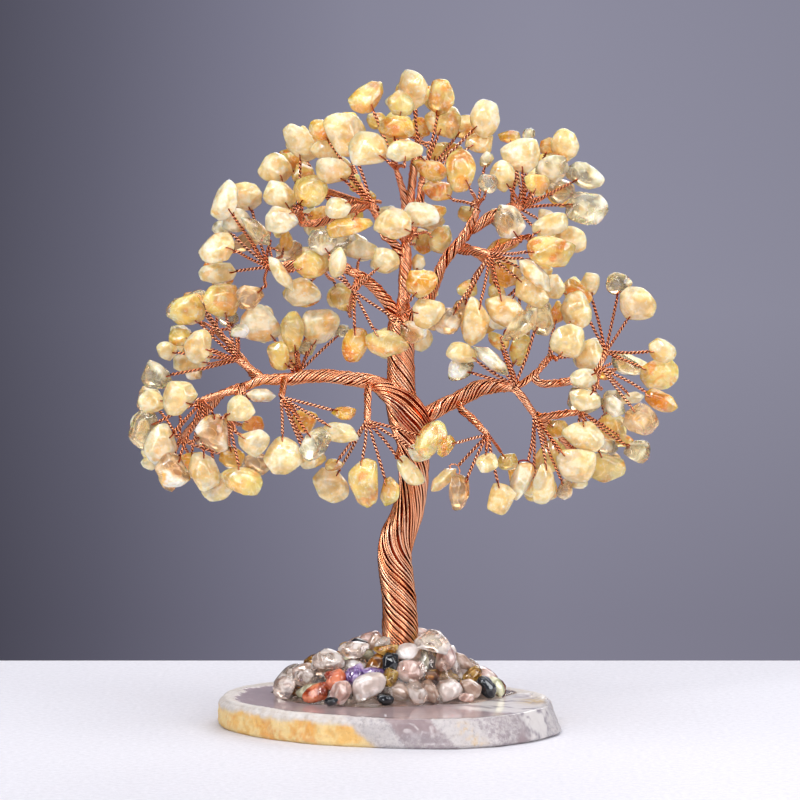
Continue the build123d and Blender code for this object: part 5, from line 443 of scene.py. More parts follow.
# tumbled stones of the mound: centre, turn, half sizes, shape number
MOUND = {
    "mound_amethyst": [
        (-8.71, -10.48, 13.77, 0.787, 0.525, -0.217, 0.24, 3.25, 2.62, 1.89, 5019),
        (-4.16, -11.6, 14.67, 0.821, 0.57, -0.022, -0.015, 2.75, 1.5, 1.3, 5020),
        (-15.84, 10.96, 15.48, 0.956, -0.17, -0.237, -0.013, 2.97, 2.12, 1.69, 5066),
        (-20.62, 11.75, 12.45, 0.87, -0.29, -0.209, 0.34, 2.77, 2.17, 1.73, 5067),
    ],
    "mound_carnelian": [
        (-13.19, -8.07, 13.23, 0.826, 0.553, -0.017, -0.109, 3.25, 1.88, 1.35, 5010),
        (-15.07, -9.27, 11.01, 0.822, 0.564, -0.07, -0.048, 1.5, 1.25, 1.3, 5011),
        (-13.55, -12.19, 12.91, 0.762, 0.507, -0.281, 0.29, 3, 2.25, 1.62, 5012),
        (-18.31, -11.33, 9.49, 0.798, 0.571, -0.176, 0.076, 3.75, 2.25, 1.62, 5013),
        (7.15, 17.77, 15.2, -0.499, 0.268, 0.239, 0.789, 2.98, 2.29, 1.83, 5057),
    ],
    "mound_citrine": [
        (-18.7, 1.85, 16.03, 0.873, 0.46, -0.162, -0.004, 2.5, 1.75, 1.3, 5005),
        (-11.16, -1.92, 19.72, 0.871, 0.483, -0.077, -0.042, 1.62, 1.38, 1.3, 5009),
        (-0.92, -7.52, 19.93, 0.85, 0.521, -0.045, 0.064, 3.25, 1.25, 1.3, 5029),
        (-0.16, -12.92, 13.66, 0.717, 0.499, -0.282, 0.397, 2.5, 2, 1.44, 5030),
        (13.13, -7.64, 13.04, 0.828, 0.542, 0.133, -0.056, 4.25, 1.62, 1.3, 5047),
        (20.5, -2.84, 12.68, 0.771, 0.519, -0.068, 0.363, 3.25, 1.75, 1.3, 5048),
        (-0.72, 16.38, 16.89, -0.301, 0.095, 0.315, 0.895, 3.79, 2.61, 2.09, 5060),
        (-19.8, 6.94, 14.46, 0.689, -0.244, -0.174, 0.66, 2.91, 2.28, 1.83, 5076),
    ],
    "mound_grey_agate": [
        (-24.18, -2.41, 10.22, 0.828, 0.534, -0.142, -0.091, 2.12, 1.75, 1.3, 5001),
        (-21.87, -0.33, 13.73, 0.858, 0.465, -0.211, 0.051, 3, 1.88, 1.35, 5003),
        (-3.8, -3.08, 21.24, 0.827, 0.471, -0.17, 0.255, 2.25, 1.88, 1.35, 5026),
        (2.46, -12.31, 9.68, 0.806, 0.586, 0.058, -0.06, 4.25, 2.88, 2.07, 5032),
        (9.66, -12.13, 9.89, 0.67, 0.448, 0.384, -0.451, 3.25, 2.38, 1.71, 5037),
        (18.21, -0.53, 15.75, 0.826, 0.417, 0.286, -0.25, 3, 1.88, 1.35, 5045),
        (19.7, -7.19, 9.78, 0.815, 0.567, 0.1, 0.07, 3.25, 2.88, 2.07, 5049),
        (14.32, 11.35, 16.61, 0.366, 0.128, 0.259, 0.885, 3.96, 2.5, 2, 5055),
    ],
    "mound_hematite": [
        (-14.5, -18.19, 8.42, 0.725, 0.685, -0.05, -0.047, 1.75, 1.25, 1.3, 5016),
        (-7.39, -1.02, 20.04, 0.857, 0.488, 0.017, -0.167, 2.75, 1.75, 1.3, 5023),
        (0.04, -9.84, 16.42, 0.623, 0.402, -0.367, 0.562, 3.12, 2.12, 1.53, 5028),
        (-1.19, -16.01, 8.68, 0.792, 0.61, -0.009, -0.007, 2.38, 1.62, 1.3, 5031),
        (24.17, -4.3, 10.06, 0.733, 0.409, 0.415, -0.35, 3.12, 2.38, 1.71, 5050),
    ],
    "mound_milky_quartz": [
        (-5.1, -14.58, 11.81, 0.793, 0.586, -0.123, 0.116, 4.5, 3.5, 2.3, 5018),
        (4.87, -6.31, 19, 0.854, 0.519, 0.023, 0.014, 3.5, 2.5, 1.8, 5034),
        (14.78, -10.27, 9.89, 0.803, 0.59, 0.068, 0.05, 3.5, 3.12, 2.25, 5038),
        (15.58, 3.52, 17.63, 0.718, 0.443, -0.132, 0.52, 1.88, 1.62, 1.3, 5042),
        (-15.16, 16.48, 13.19, 0.842, -0.373, -0.062, 0.384, 2.97, 2.24, 1.8, 5058),
        (-23.24, 15.11, 9.65, -0.088, -0.362, 0.381, 0.846, 2.83, 1.94, 1.55, 5061),
        (20.06, 16.46, 10.28, 0.215, 0.207, 0.389, 0.871, 2.8, 1.9, 1.52, 5065),
    ],
    "mound_prehnite": [
        (-19.68, -7.88, 9.26, 0.808, 0.575, -0.103, -0.073, 4, 2.12, 1.53, 5014),
        (-6.42, -3.28, 18.11, 0.857, 0.513, -0.039, -0.023, 2.5, 1.75, 1.3, 5024),
        (9.68, -3.09, 18.57, 0.624, 0.42, -0.298, 0.588, 5.25, 3.25, 2.3, 5039),
        (26.92, -0.82, 9.87, 0.783, 0.401, 0.398, -0.261, 3, 1.88, 1.35, 5052),
        (-10.19, 22.61, 10.65, 0.635, -0.299, -0.459, -0.545, 3.82, 3, 2.3, 5059),
    ],
    "mound_quartz": [
        (-25.78, 5.74, 10.5, 0.849, 0.403, -0.326, 0.1, 4.75, 3, 2.16, 5000),
        (-26.46, -6.66, 10.22, 0.683, 0.512, -0.456, 0.253, 3.25, 2.75, 1.98, 5002),
        (-20.96, -4.96, 12.35, 0.836, 0.531, -0.115, -0.073, 3.5, 2.5, 1.8, 5004),
        (-16.71, -3.1, 15, 0.847, 0.521, -0.093, -0.057, 3.38, 3, 2.16, 5006),
        (-15.24, -6.6, 17.27, 0.841, 0.521, -0.01, -0.146, 4.25, 2.75, 1.98, 5007),
        (-8.6, -6.3, 15.11, 0.838, 0.542, -0.046, -0.03, 3, 2.25, 1.62, 5021),
        (-9, -5.69, 19.55, 0.855, 0.516, -0.053, -0.032, 4, 2.25, 1.62, 5022),
        (-1.77, -5.26, 21.34, 0.839, 0.493, -0.114, 0.202, 2.25, 1.5, 1.3, 5033),
        (6.64, -15.29, 10.59, 0.708, 0.512, 0.319, -0.368, 3.5, 2.38, 1.71, 5036),
        (10.67, -8.97, 22.04, 0.86, 0.475, 0.09, -0.163, 4.5, 3.12, 2.25, 5041),
        (15.49, -3.76, 14.89, 0.782, 0.424, 0.312, -0.334, 4, 2.25, 1.62, 5044),
        (-19.03, 19.37, 9.93, 0.846, -0.294, -0.363, -0.259, 3.1, 2.51, 2.01, 5063),
        (-7.88, 13.77, 17.74, 0.962, -0.242, -0.126, -0.015, 4.35, 3.26, 2.3, 5069),
        (20.78, 7.24, 13.4, 0.389, 0.254, 0.174, 0.868, 3.06, 2.09, 1.67, 5073),
        (-7.44, 18.7, 14.64, 0.833, -0.283, -0.25, -0.405, 2.77, 1.95, 1.56, 5075),
    ],
    "mound_rose_quartz": [
        (-12.16, -14.86, 10.5, 0.71, 0.509, -0.336, 0.352, 3.12, 2.5, 1.8, 5017),
        (-5.24, 2.12, 20.79, 0.874, 0.471, -0.096, 0.072, 3.5, 2.38, 1.71, 5025),
        (5, -9.48, 14.63, 0.831, 0.542, 0.09, -0.084, 4, 3.12, 2.25, 5035),
        (7.71, 4.63, 22.05, 0.898, 0.431, 0.082, 0.039, 2.38, 2, 1.44, 5040),
        (13.78, -6.93, 17.49, 0.661, 0.463, -0.254, 0.532, 3.75, 2.75, 1.98, 5043),
        (24.16, 2.24, 12.01, 0.854, 0.45, 0.253, -0.067, 4, 2, 1.44, 5051),
        (18.95, -10.57, 8.31, 0.795, 0.596, 0.088, 0.066, 2, 1.25, 1.3, 5054),
    ],
    "mound_tiger_eye": [
        (-13.71, -0.71, 17.53, 0.869, 0.482, -0.109, -0.018, 2.5, 1, 1.3, 5008),
        (-23, -5.18, 8.76, 0.794, 0.587, -0.127, -0.094, 2.25, 1.5, 1.3, 5015),
        (-3.38, -7.77, 15.77, 0.708, 0.439, -0.317, 0.453, 4, 2.62, 1.89, 5027),
        (10.38, -10.66, 13.78, 0.832, 0.552, 0.046, 0.03, 1.88, 1.25, 1.3, 5046),
        (27.69, 4.44, 9.36, 0.797, 0.381, 0.426, -0.194, 2.75, 1.12, 1.3, 5053),
        (24.34, 10.69, 9.51, 0.899, -0.204, 0.385, -0.045, 3.99, 2.86, 2.29, 5056),
        (12.35, 20.56, 10.65, -0.339, 0.316, 0.323, 0.825, 3.23, 2.16, 1.73, 5062),
        (-3.03, 22.53, 11.01, 0.383, -0.232, 0.393, 0.804, 2.97, 2.14, 1.71, 5064),
        (4.12, 13.19, 19.26, 0.359, -0.037, 0.273, 0.892, 2.85, 2.15, 1.72, 5072),
        (0.2, 8.89, 20.8, 0.742, -0.143, 0.13, 0.643, 2.92, 2.31, 1.84, 5074),
    ],
}

# seeds of the stones with the stronger tone of their kind
DEEP = {
    1006, 1013, 1014, 1015, 1016, 1019, 1020, 1023, 1025, 1026, 1027, 1029, 1032, 1037, 1050, 1052, 1054, 1055, 1059,
    1060, 1061, 1067, 1069, 1070, 1077, 1080, 1081, 1084, 1085, 1088, 1094, 1100, 1101, 1103, 1104, 1108, 1111, 1118,
    1125, 1126, 1130, 1132, 1134, 1139, 1140, 1148, 1152, 1153, 1160, 1161, 1162, 1165, 1166, 1169, 1172, 1173, 1181,
    1183, 1192, 1193, 1198, 1200, 1202, 1203, 1206, 1207, 1210, 1211, 1212, 1215, 1216, 1218, 1223, 1224, 1226, 1227,
    1228, 1229, 1237, 1238, 1240, 1241, 1242, 1246, 1247, 1249, 1250, 1252, 1254, 1255, 1256, 1260, 1262, 1263, 1264,
    1267, 1269, 1271,
}

NAMES = {"TR": "trunk", "LL": "left_lower", "RL": "right_lower", "LU": "left_upper",
         "LT": "left_top", "CR": "crown", "RU": "right_upper"}
BODY = {"TR": "base_and_trunk", "LL": "limb_left_lower", "RL": "limb_right_lower", "LU": "limb_left_upper",
        "LT": "limb_left_top", "CR": "crown", "RU": "limb_right_upper"}
BASE = "base_and_trunk"
KNOT_R = 1.5


# ---- small geometry kit ---------------------------------------------------------
def unit(v):
    v = np.asarray(v, float)
    return v / np.linalg.norm(v)


def unit_rows(a):
    return a / np.maximum(np.linalg.norm(a, axis=1), 1e-12)[:, None]


def rot(q):
    w, x, y, z = np.array(q, float) / np.linalg.norm(q)
    return np.array([[1 - 2 * (y * y + z * z), 2 * (x * y - z * w), 2 * (x * z + y * w)],
                     [2 * (x * y + z * w), 1 - 2 * (x * x + z * z), 2 * (y * z - x * w)],
                     [2 * (x * z - y * w), 2 * (y * z + x * w), 1 - 2 * (x * x + y * y)]])


def chip_points(seed, a, b, c):
    """Corner points of one tumbled chip with half sizes a, b, c."""
    rnd = random.Random(seed)
    k1, p1 = rnd.uniform(0.0, 0.2), rnd.uniform(0, 6.28)
    k2, p2 = rnd.uniform(-0.03, 0.1), rnd.uniform(0, 6.28)
    k3, p3 = rnd.uniform(0.02, 0.15), rnd.uniform(0, 6.28)
    n = rnd.uniform(2.0, 3.2)
    pts = []
    count = 9
    o = rnd.uniform(0, 6.28)
    for i in range(count):
        f = o + 2 * math.pi * (i + rnd.uniform(-0.22, 0.22)) / count
        cf, sf = math.cos(f), math.sin(f)
        r = (abs(cf) ** n + abs(sf) ** n) ** (-1 / n)
        r *= 1 + k1 * math.cos(f + p1) + k2 * math.cos(2 * f + p2) + k3 * math.cos(3 * f + p3) + rnd.uniform(-0.04, 0.04)
        pts.append((a * r * cf, b * r * sf, c * rnd.uniform(-0.28, 0.28)))
    for s in (1, -1):
        o = rnd.uniform(0, 6.28)
        tl, pt = rnd.uniform(0.0, 0.3), rnd.uniform(0, 6.28)
        m = 5
        for i in range(m):
            f = o + 2 * math.pi * (i + rnd.uniform(-0.2, 0.2)) / m
            q = rnd.uniform(0.5, 0.68)
            h = rnd.uniform(0.86, 1.0) * (1 - tl * (0.5 + 0.5 * math.cos(f - pt)))
            pts.append((a * q * math.cos(f), b * q * math.sin(f), s * c * h))
    lo = [min(p[k] for p in pts) for k in range(3)]
    hi = [max(p[k] for p in pts) for k in range(3)]
    half = (a, b, c)
    return np.array([[(p[k] - (lo[k] + hi[k]) / 2) * 2 * half[k] / (hi[k] - lo[k]) for k in range(3)] for p in pts])


TRI = np.array(list(itertools.combinations(range(19), 3)))


def hull_planes(P):
    """Outward unit normals and distances of the faces of a small convex point set."""
    a, b, c = P[TRI[:, 0]], P[TRI[:, 1]], P[TRI[:, 2]]
    n = np.cross(b - a, c - a)
    ln = np.linalg.norm(n, axis=1)
    ok = ln > 1e-6
    n, a = n[ok] / ln[ok][:, None], a[ok]
    d = np.einsum("ij,ij->i", n, a)
    s = P @ n.T - d
    top = np.all(s <= 1e-7, axis=0)
    bot = np.all(s >= -1e-7, axis=0)
    return np.concatenate([n[top], -n[bot]]), np.concatenate([d[top], -d[bot]])


def ray_out(N, h, o, d):
    den = N @ d
    num = h - N @ o
    return float(np.where(den > 1e-9, num / np.maximum(den, 1e-12), 1e9).min())


def ball(level):
    """Unit sphere directions and triangles."""
    import bmesh
    bm = bmesh.new()
    bmesh.ops.create_icosphere(bm, subdivisions=level, radius=1.0)
    v = np.array([x.co[:] for x in bm.verts])
    f = np.array([[x.index for x in t.verts] for t in bm.faces])
    bm.free()
    return unit_rows(v), f


BALL_V, BALL_F = ball(4)


def pebble(seed, a, b, c, p=16.0, dent=0.05, rough=0.010, keep=None, cuts=3):
    """Rounded skin of one tumbled stone, inside its flat-faced hull, with a few worn flats."""
    P = chip_points(seed, a, b, c)
    N, h = hull_planes(P)
    D = BALL_V * np.array([a, b, c])
    D = unit_rows(D)
    rnd = random.Random(seed * 7 + 3)
    N2, h2 = [], []
    while len(N2) < cuts:
        f = rnd.uniform(0, 6.28)
        s = unit([math.cos(f) / a, math.sin(f) / b, rnd.uniform(-0.9, 0.9) / c])
        if keep is not None and s[0] * keep[0] + s[1] * keep[1] > 0.35:
            continue
        N2.append(s)
        h2.append(float((P @ s).max()) * rnd.uniform(0.74, 0.93))
    N, h = np.vstack([N, N2]), np.concatenate([h, h2])
    q = np.maximum(D @ N.T, 0) / h
    r = (q ** p).sum(1) ** (-1 / p)
    for _ in range(3):
        s = unit([rnd.gauss(0, 1), rnd.gauss(0, 1), rnd.gauss(0, 0.8)])
        w = rnd.uniform(0.35, 0.6)
        ang = np.arccos(np.clip(D @ s, -1, 1))
        r = r * (1 - dent * rnd.uniform(0.4, 1.3) * np.exp(-(ang / w) ** 2))
    for k in range(5):
        s = np.array([rnd.gauss(0, 1), rnd.gauss(0, 1), rnd.gauss(0, 1)]) * (2.2 + 1.3 * k)
        r = r * (1 + rough * math.cos(k) * np.sin(D @ s + rnd.uniform(0, 6.28)))
    V = D * r[:, None]
    ext = np.maximum(V.max(0) - V.min(0), 1e-9)
    k = np.minimum(1.13, 2 * np.array([a, b, c]) / ext)
    V = (V - (V.max(0) + V.min(0)) / 2) * k
    return V, N, h


class Skin:
    """Collects triangles and quads with per-vertex values, and becomes one object."""

    def __init__(self):
        self.v, self.t, self.q, self.at, self.n = [], [], [], {}, 0

    def add(self, V, tris=None, quads=None, **values):
        V = np.asarray(V, float)
        if tris is not None and len(tris):
            self.t.append(np.asarray(tris) + self.n)
        if quads is not None and len(quads):
            self.q.append(np.asarray(quads) + self.n)
        for k, x in values.items():
            x = np.asarray(x, float)
            if x.ndim == 0:
                x = np.full(len(V), float(x))
            self.at.setdefault(k, []).append(x)
        self.v.append(V)
        self.n += len(V)

    def make(self, name, smooth=True):
        V = np.concatenate(self.v) * MM
        T = np.concatenate(self.t) if self.t else np.zeros((0, 3), int)
        Q = np.concatenate(self.q) if self.q else np.zeros((0, 4), int)
        me = bpy.data.meshes.new(name)
        me.vertices.add(len(V))
        me.vertices.foreach_set("co", V.astype(np.float32).ravel())
        loops = np.concatenate([T.ravel(), Q.ravel()]).astype(np.int32)
        me.loops.add(len(loops))
        me.loops.foreach_set("vertex_index", loops)
        start = np.concatenate([np.arange(len(T)) * 3, len(T) * 3 + np.arange(len(Q)) * 4]).astype(np.int32)
        me.polygons.add(len(start))
        me.polygons.foreach_set("loop_start", start)
        me.update(calc_edges=True)
        me.validate()
        me.polygons.foreach_set("use_smooth", np.full(len(me.polygons), bool(smooth)))
        for k, xs in self.at.items():
            x = np.concatenate(xs)
            if x.ndim == 2:
                at = me.attributes.new(k, "FLOAT_COLOR", "POINT")
                at.data.foreach_set("color", np.hstack([x, np.ones((len(x), 1))]).astype(np.float32).ravel())
            else:
                at = me.attributes.new(k, "FLOAT", "POINT")
                at.data.foreach_set("value", x.astype(np.float32))
        me.update()
        ob = bpy.data.objects.new(name, me)
        bpy.context.scene.collection.objects.link(ob)
        return ob


def curve(points, extra=(), step=0.6):
    """Smooth path through points, with the extra columns carried along."""
    P = np.array([list(p) for p in points], float)
    E = np.array(extra, float).reshape(len(P), -1) if len(extra) else np.zeros((len(P), 0))
    A = np.hstack([P, E])
    if len(A) == 2:
        n = max(2, int(math.ceil(np.linalg.norm(P[1] - P[0]) / step)) + 1)
        t = np.linspace(0, 1, n)[:, None]
        out = A[0] * (1 - t) + A[1] * t
        return out[:, :3], out[:, 3:]
    A = np.vstack([2 * A[0] - A[1], A, 2 * A[-1] - A[-2]])
    A[0, 3:], A[-1, 3:] = A[1, 3:], A[-2, 3:]
    out = []
    for i in range(1, len(A) - 2):
        p0, p1, p2, p3 = A[i - 1], A[i], A[i + 1], A[i + 2]
        n = max(1, int(math.ceil(np.linalg.norm(p2[:3] - p1[:3]) / step)))
        for k in range(n):
            t = k / n
            out.append(0.5 * ((2 * p1) + (-p0 + p2) * t + (2 * p0 - 5 * p1 + 4 * p2 - p3) * t * t
                              + (-p0 + 3 * p1 - 3 * p2 + p3) * t ** 3))
    out.append(A[-2])
    out = np.array(out)
    return out[:, :3], out[:, 3:]


def tangents(C):
    t = np.empty_like(C)
    t[1:-1] = C[2:] - C[:-2]
    t[0], t[-1] = C[1] - C[0], C[-1] - C[-2]
    return unit_rows(t)


def carry(C, up=(0, 1, 0)):
    """Frames along a path that don't spin."""
    T = tangents(C)
    u = np.asarray(up, float)
    if abs(np.dot(u, T[0])) > 0.95:
        u = np.array([1.0, 0, 0])
    U = np.empty_like(C)
    for i, t in enumerate(T):
        u = unit(u - np.dot(u, t) * t)
        U[i] = u
    return T, U, np.cross(T, U)


def wires(paths, out, r, sides=6, rnd=None, ref=None, cap=True):
    """Round wires along many paths of equal length: paths is wires x points x 3."""
    paths = np.asarray(paths, float)
    W, M, _ = paths.shape
    T = np.empty_like(paths)
    T[:, 1:-1] = paths[:, 2:] - paths[:, :-2]
    T[:, 0], T[:, -1] = paths[:, 1] - paths[:, 0], paths[:, -1] - paths[:, -2]
    T /= np.maximum(np.linalg.norm(T, axis=2), 1e-9)[:, :, None]
    if ref is None:
        ref = np.broadcast_to(np.array([0.3, 1.0, 0.2]), paths.shape)
    U = ref - (ref * T).sum(2)[:, :, None] * T
    U /= np.maximum(np.linalg.norm(U, axis=2), 1e-9)[:, :, None]
    V = np.cross(T, U)
    f = 2 * np.pi * np.arange(sides) / sides
    rr = r if np.ndim(r) else np.full((W, M), float(r))
    rr = np.array(np.broadcast_to(rr, (W, M)), float)
    if cap:
        rr[:, 0] *= 0.35
        rr[:, -1] *= 0.35
    ring = U[:, :, None, :] * np.cos(f)[None, None, :, None] + V[:, :, None, :] * np.sin(f)[None, None, :, None]
    X = paths[:, :, None, :] + ring * rr[:, :, None, None]
    idx = np.arange(W * M * sides).reshape(W, M, sides)
    a, b = idx[:, :-1], idx[:, 1:]
    quads = np.stack([a, np.roll(a, -1, 2), np.roll(b, -1, 2), b], -1).reshape(-1, 4)
    val = np.zeros(W) if rnd is None else np.asarray(rnd, float)
    # groove runs from 0 on the outer side of each wire to 1 on its inner side: painted shade between the wires, with
    # some patina
    out.add(X.reshape(-1, 3), quads=quads, rnd=np.repeat(val, M * sides), groove=np.tile((1 - np.cos(f)) / 2, W * M))


def bundle(out, points, radii, lean, count, r, seed, phase=0.0, flat=None, up=(0, 1, 0), step=0.6, core=True,
           thin=None, wobble=0.10, hand=-1.0, fray=None, sink=1.7, stray=0.10):
    """Wires laid round a centre line. lean is their angle to it in degrees at each point."""
    rg = np.random.default_rng(seed)
    ex = np.column_stack([radii, lean, np.ones(len(radii)) if flat is None else flat])
    C, E = curve(points, ex, step)
    R, A, F = E[:, 0], np.radians(E[:, 1]), np.clip(E[:, 2], 0.05, 1)
    T, U, V = carry(C, up)
    ds = np.concatenate([[0], np.linalg.norm(np.diff(C, axis=0), axis=1)])
    turn = np.cumsum(np.tan(A) / np.maximum(R, 0.5) * ds) * hand
    s = np.cumsum(ds)
    W = count
    base = 2 * np.pi * (np.arange(W) + rg.uniform(-stray, stray, W)) / W + phase
    k1, k2 = rg.uniform(0.10, 0.30, W), rg.uniform(0.35, 0.7, W)
    o1, o2 = rg.uniform(0, 6.28, W), rg.uniform(0, 6.28, W)
    slip = stray * 2 * np.pi / W
    phi = base[:, None] + turn[None] + slip * np.sin(k1[:, None] * s[None] + o1[:, None])
    deep = wobble * (np.sin(k2[:, None] * s[None] + o2[:, None]) + rg.uniform(-0.6, 0.6, W)[:, None])
    rad = np.maximum(R[None] - r + deep, 0.05)
    if fray is not None:
        rad = rad * fray(s / s[-1])[None]
    if thin is not None:       # wires that leave the bundle sink below its skin
        for w in range(W):
            end = thin[w % len(thin)]
            if end is not None:
                rad[w] = np.where(s > end, np.maximum(rad[w] - (s - end) * 0.25, 0.05), rad[w])
    cu, sv = np.cos(phi) * rad, np.sin(phi) * rad * F[None]
    X = C[None] + cu[:, :, None] * U[None] + sv[:, :, None] * V[None]
    ref = cu[:, :, None] * U[None] + sv[:, :, None] * V[None]
    wires(X, out, r, 6, rg.uniform(0, 1, W), ref)
    if core:
        n = 10
        f = 2 * np.pi * np.arange(n) / n
        rc = np.maximum(R - sink * r, 0.10) * np.clip((s[-1] - s) / 1.2 - 0.6, 0.05, 1)
        X = C[:, None, :] + rc[:, None, None] * (np.cos(f)[None, :, None] * U[:, None, :] + (np.sin(f)[None, :] * F[:, None])[:, :, None] * V[:, None, :])
        idx = np.arange(len(C) * n).reshape(len(C), n)
        a, b = idx[:-1], idx[1:]
        q = np.stack([a, np.roll(a, -1, 1), np.roll(b, -1, 1), b], -1).reshape(-1, 4)
        # the core under the wires is painted fully dark: painted shade in the gaps between the wires
        out.add(X.reshape(-1, 3), quads=q, rnd=0.5, groove=1.0)
    return C, T


# ---- materials ---------------------------------------------------------------------
class Mat:
    """A node material round one principled shader."""

    def __init__(self, name):
        self.m = bpy.data.materials.new(name)
        self.m.use_nodes = True
        self.nt = self.m.node_tree
        self.p = self.nt.nodes["Principled BSDF"] if "Principled BSDF" in self.nt.nodes else None
        if self.p is None:
            self.nt.nodes.clear()
            o = self.nt.nodes.new("ShaderNodeOutputMaterial")
            self.p = self.nt.nodes.new("ShaderNodeBsdfPrincipled")
            self.nt.links.new(self.p.outputs[0], o.inputs[0])

    def put(self, **kw):
        for k, v in kw.items():
            self.p.inputs[k.replace("_", " ")].default_value = v
        return self

    def node(self, kind, ins=None, **props):
        n = self.nt.nodes.new(kind)
        for k, v in props.items():
            setattr(n, k, v)
        for k, v in (ins or {}).items():
            if isinstance(v, bpy.types.NodeSocket):
                self.nt.links.new(v, n.inputs[k])
            else:
                n.inputs[k].default_value = v
        return n

    def link(self, sock, to):
        self.nt.links.new(sock, self.p.inputs[to])
        return self

    def coord(self):
        return self.node("ShaderNodeTexCoord").outputs["Object"]

    def noise(self, scale, detail=3.0, rough=0.55, vec=None, distort=0.0, out="Fac"):
        n = self.node("ShaderNodeTexNoise", {"Vector": vec or self.coord(), "Scale": scale, "Detail": detail,
                                             "Roughness": rough, "Distortion": distort})
        return n.outputs[out]

    def attr(self, name, out="Fac"):
        n = self.node("ShaderNodeAttribute")
        n.attribute_name = name
        return n.outputs[out]

    def ramp(self, fac, stops, mode="LINEAR"):
        n = self.node("ShaderNodeValToRGB", {"Fac": fac})
        cr = n.color_ramp
        cr.interpolation = mode
        while len(cr.elements) < len(stops):
            cr.elements.new(0.5)
        for e, (pos, col) in zip(cr.elements, stops):
            e.position = pos
            e.color = (col, col, col, 1) if np.isscalar(col) else (*col, 1)
        return n.outputs["Color"]

    def mix(self, fac, a, b, mode="MIX"):
        n = self.node("ShaderNodeMix", data_type="RGBA", blend_type=mode)
        for i, v in ((0, fac), (6, a), (7, b)):
            if isinstance(v, bpy.types.NodeSocket):
                self.nt.links.new(v, n.inputs[i])
            elif i == 0:
                n.inputs[0].default_value = v
            else:
                n.inputs[i].default_value = (*v, 1)
        return n.outputs[2]

    def math(self, op, a, b=None, c=None, clamp=False):
        n = self.node("ShaderNodeMath", operation=op, use_clamp=clamp)
        for i, v in enumerate((a, b, c)):
            if v is None:
                continue
            if isinstance(v, bpy.types.NodeSocket):
                self.nt.links.new(v, n.inputs[i])
            else:
                n.inputs[i].default_value = v
        return n.outputs[0]

    def bump(self, height, strength=0.3, distance=0.0002, under=None):
        ins = {"Height": height, "Strength": strength, "Distance": distance}
        if under is not None:
            ins["Normal"] = under
        n = self.node("ShaderNodeBump", ins)
        self.nt.links.new(n.outputs[0], self.p.inputs["Normal"])
        return n.outputs[0]


def srgb(r, g, b):
    def f(c):
        c /= 255
        return c / 12.92 if c <= 0.04045 else ((c + 0.055) / 1.055) ** 2.4
    return (f(r), f(g), f(b))


def copper():
    M = Mat("copper_wire")
    M.put(Metallic=1.0, Specular_Tint=(0.92, 0.48, 0.26, 1.0))
    rnd = M.attr("rnd")
    col = M.ramp(rnd, [(0.0, (0.82, 0.30, 0.13)), (0.35, (1.0, 0.54, 0.32)), (0.7, (0.92, 0.41, 0.21)), (1.0, (1.0, 0.65, 0.44))])
    tarnish = M.ramp(M.noise(210.0, 4, 0.6), [(0.50, 0.0), (0.74, 1.0)])
    col = M.mix(M.math("MULTIPLY", tarnish, 0.30), col, (0.70, 0.24, 0.10))
    # painted shade between the wires: the inner side of each wire and the core under them darken to near black, with
    # some patina in the grooves
    col = M.mix(M.ramp(M.attr("groove"), [(0.12, 0.0), (0.50, 1.0)]), col, (0.24, 0.018, 0.003))
    M.link(col, "Base Color")
    M.link(M.ramp(M.noise(520.0, 3), [(0.3, 0.15), (0.75, 0.28)]), "Roughness")
    M.bump(M.noise(900.0, 2), 0.06, 0.00005)
    return M.m


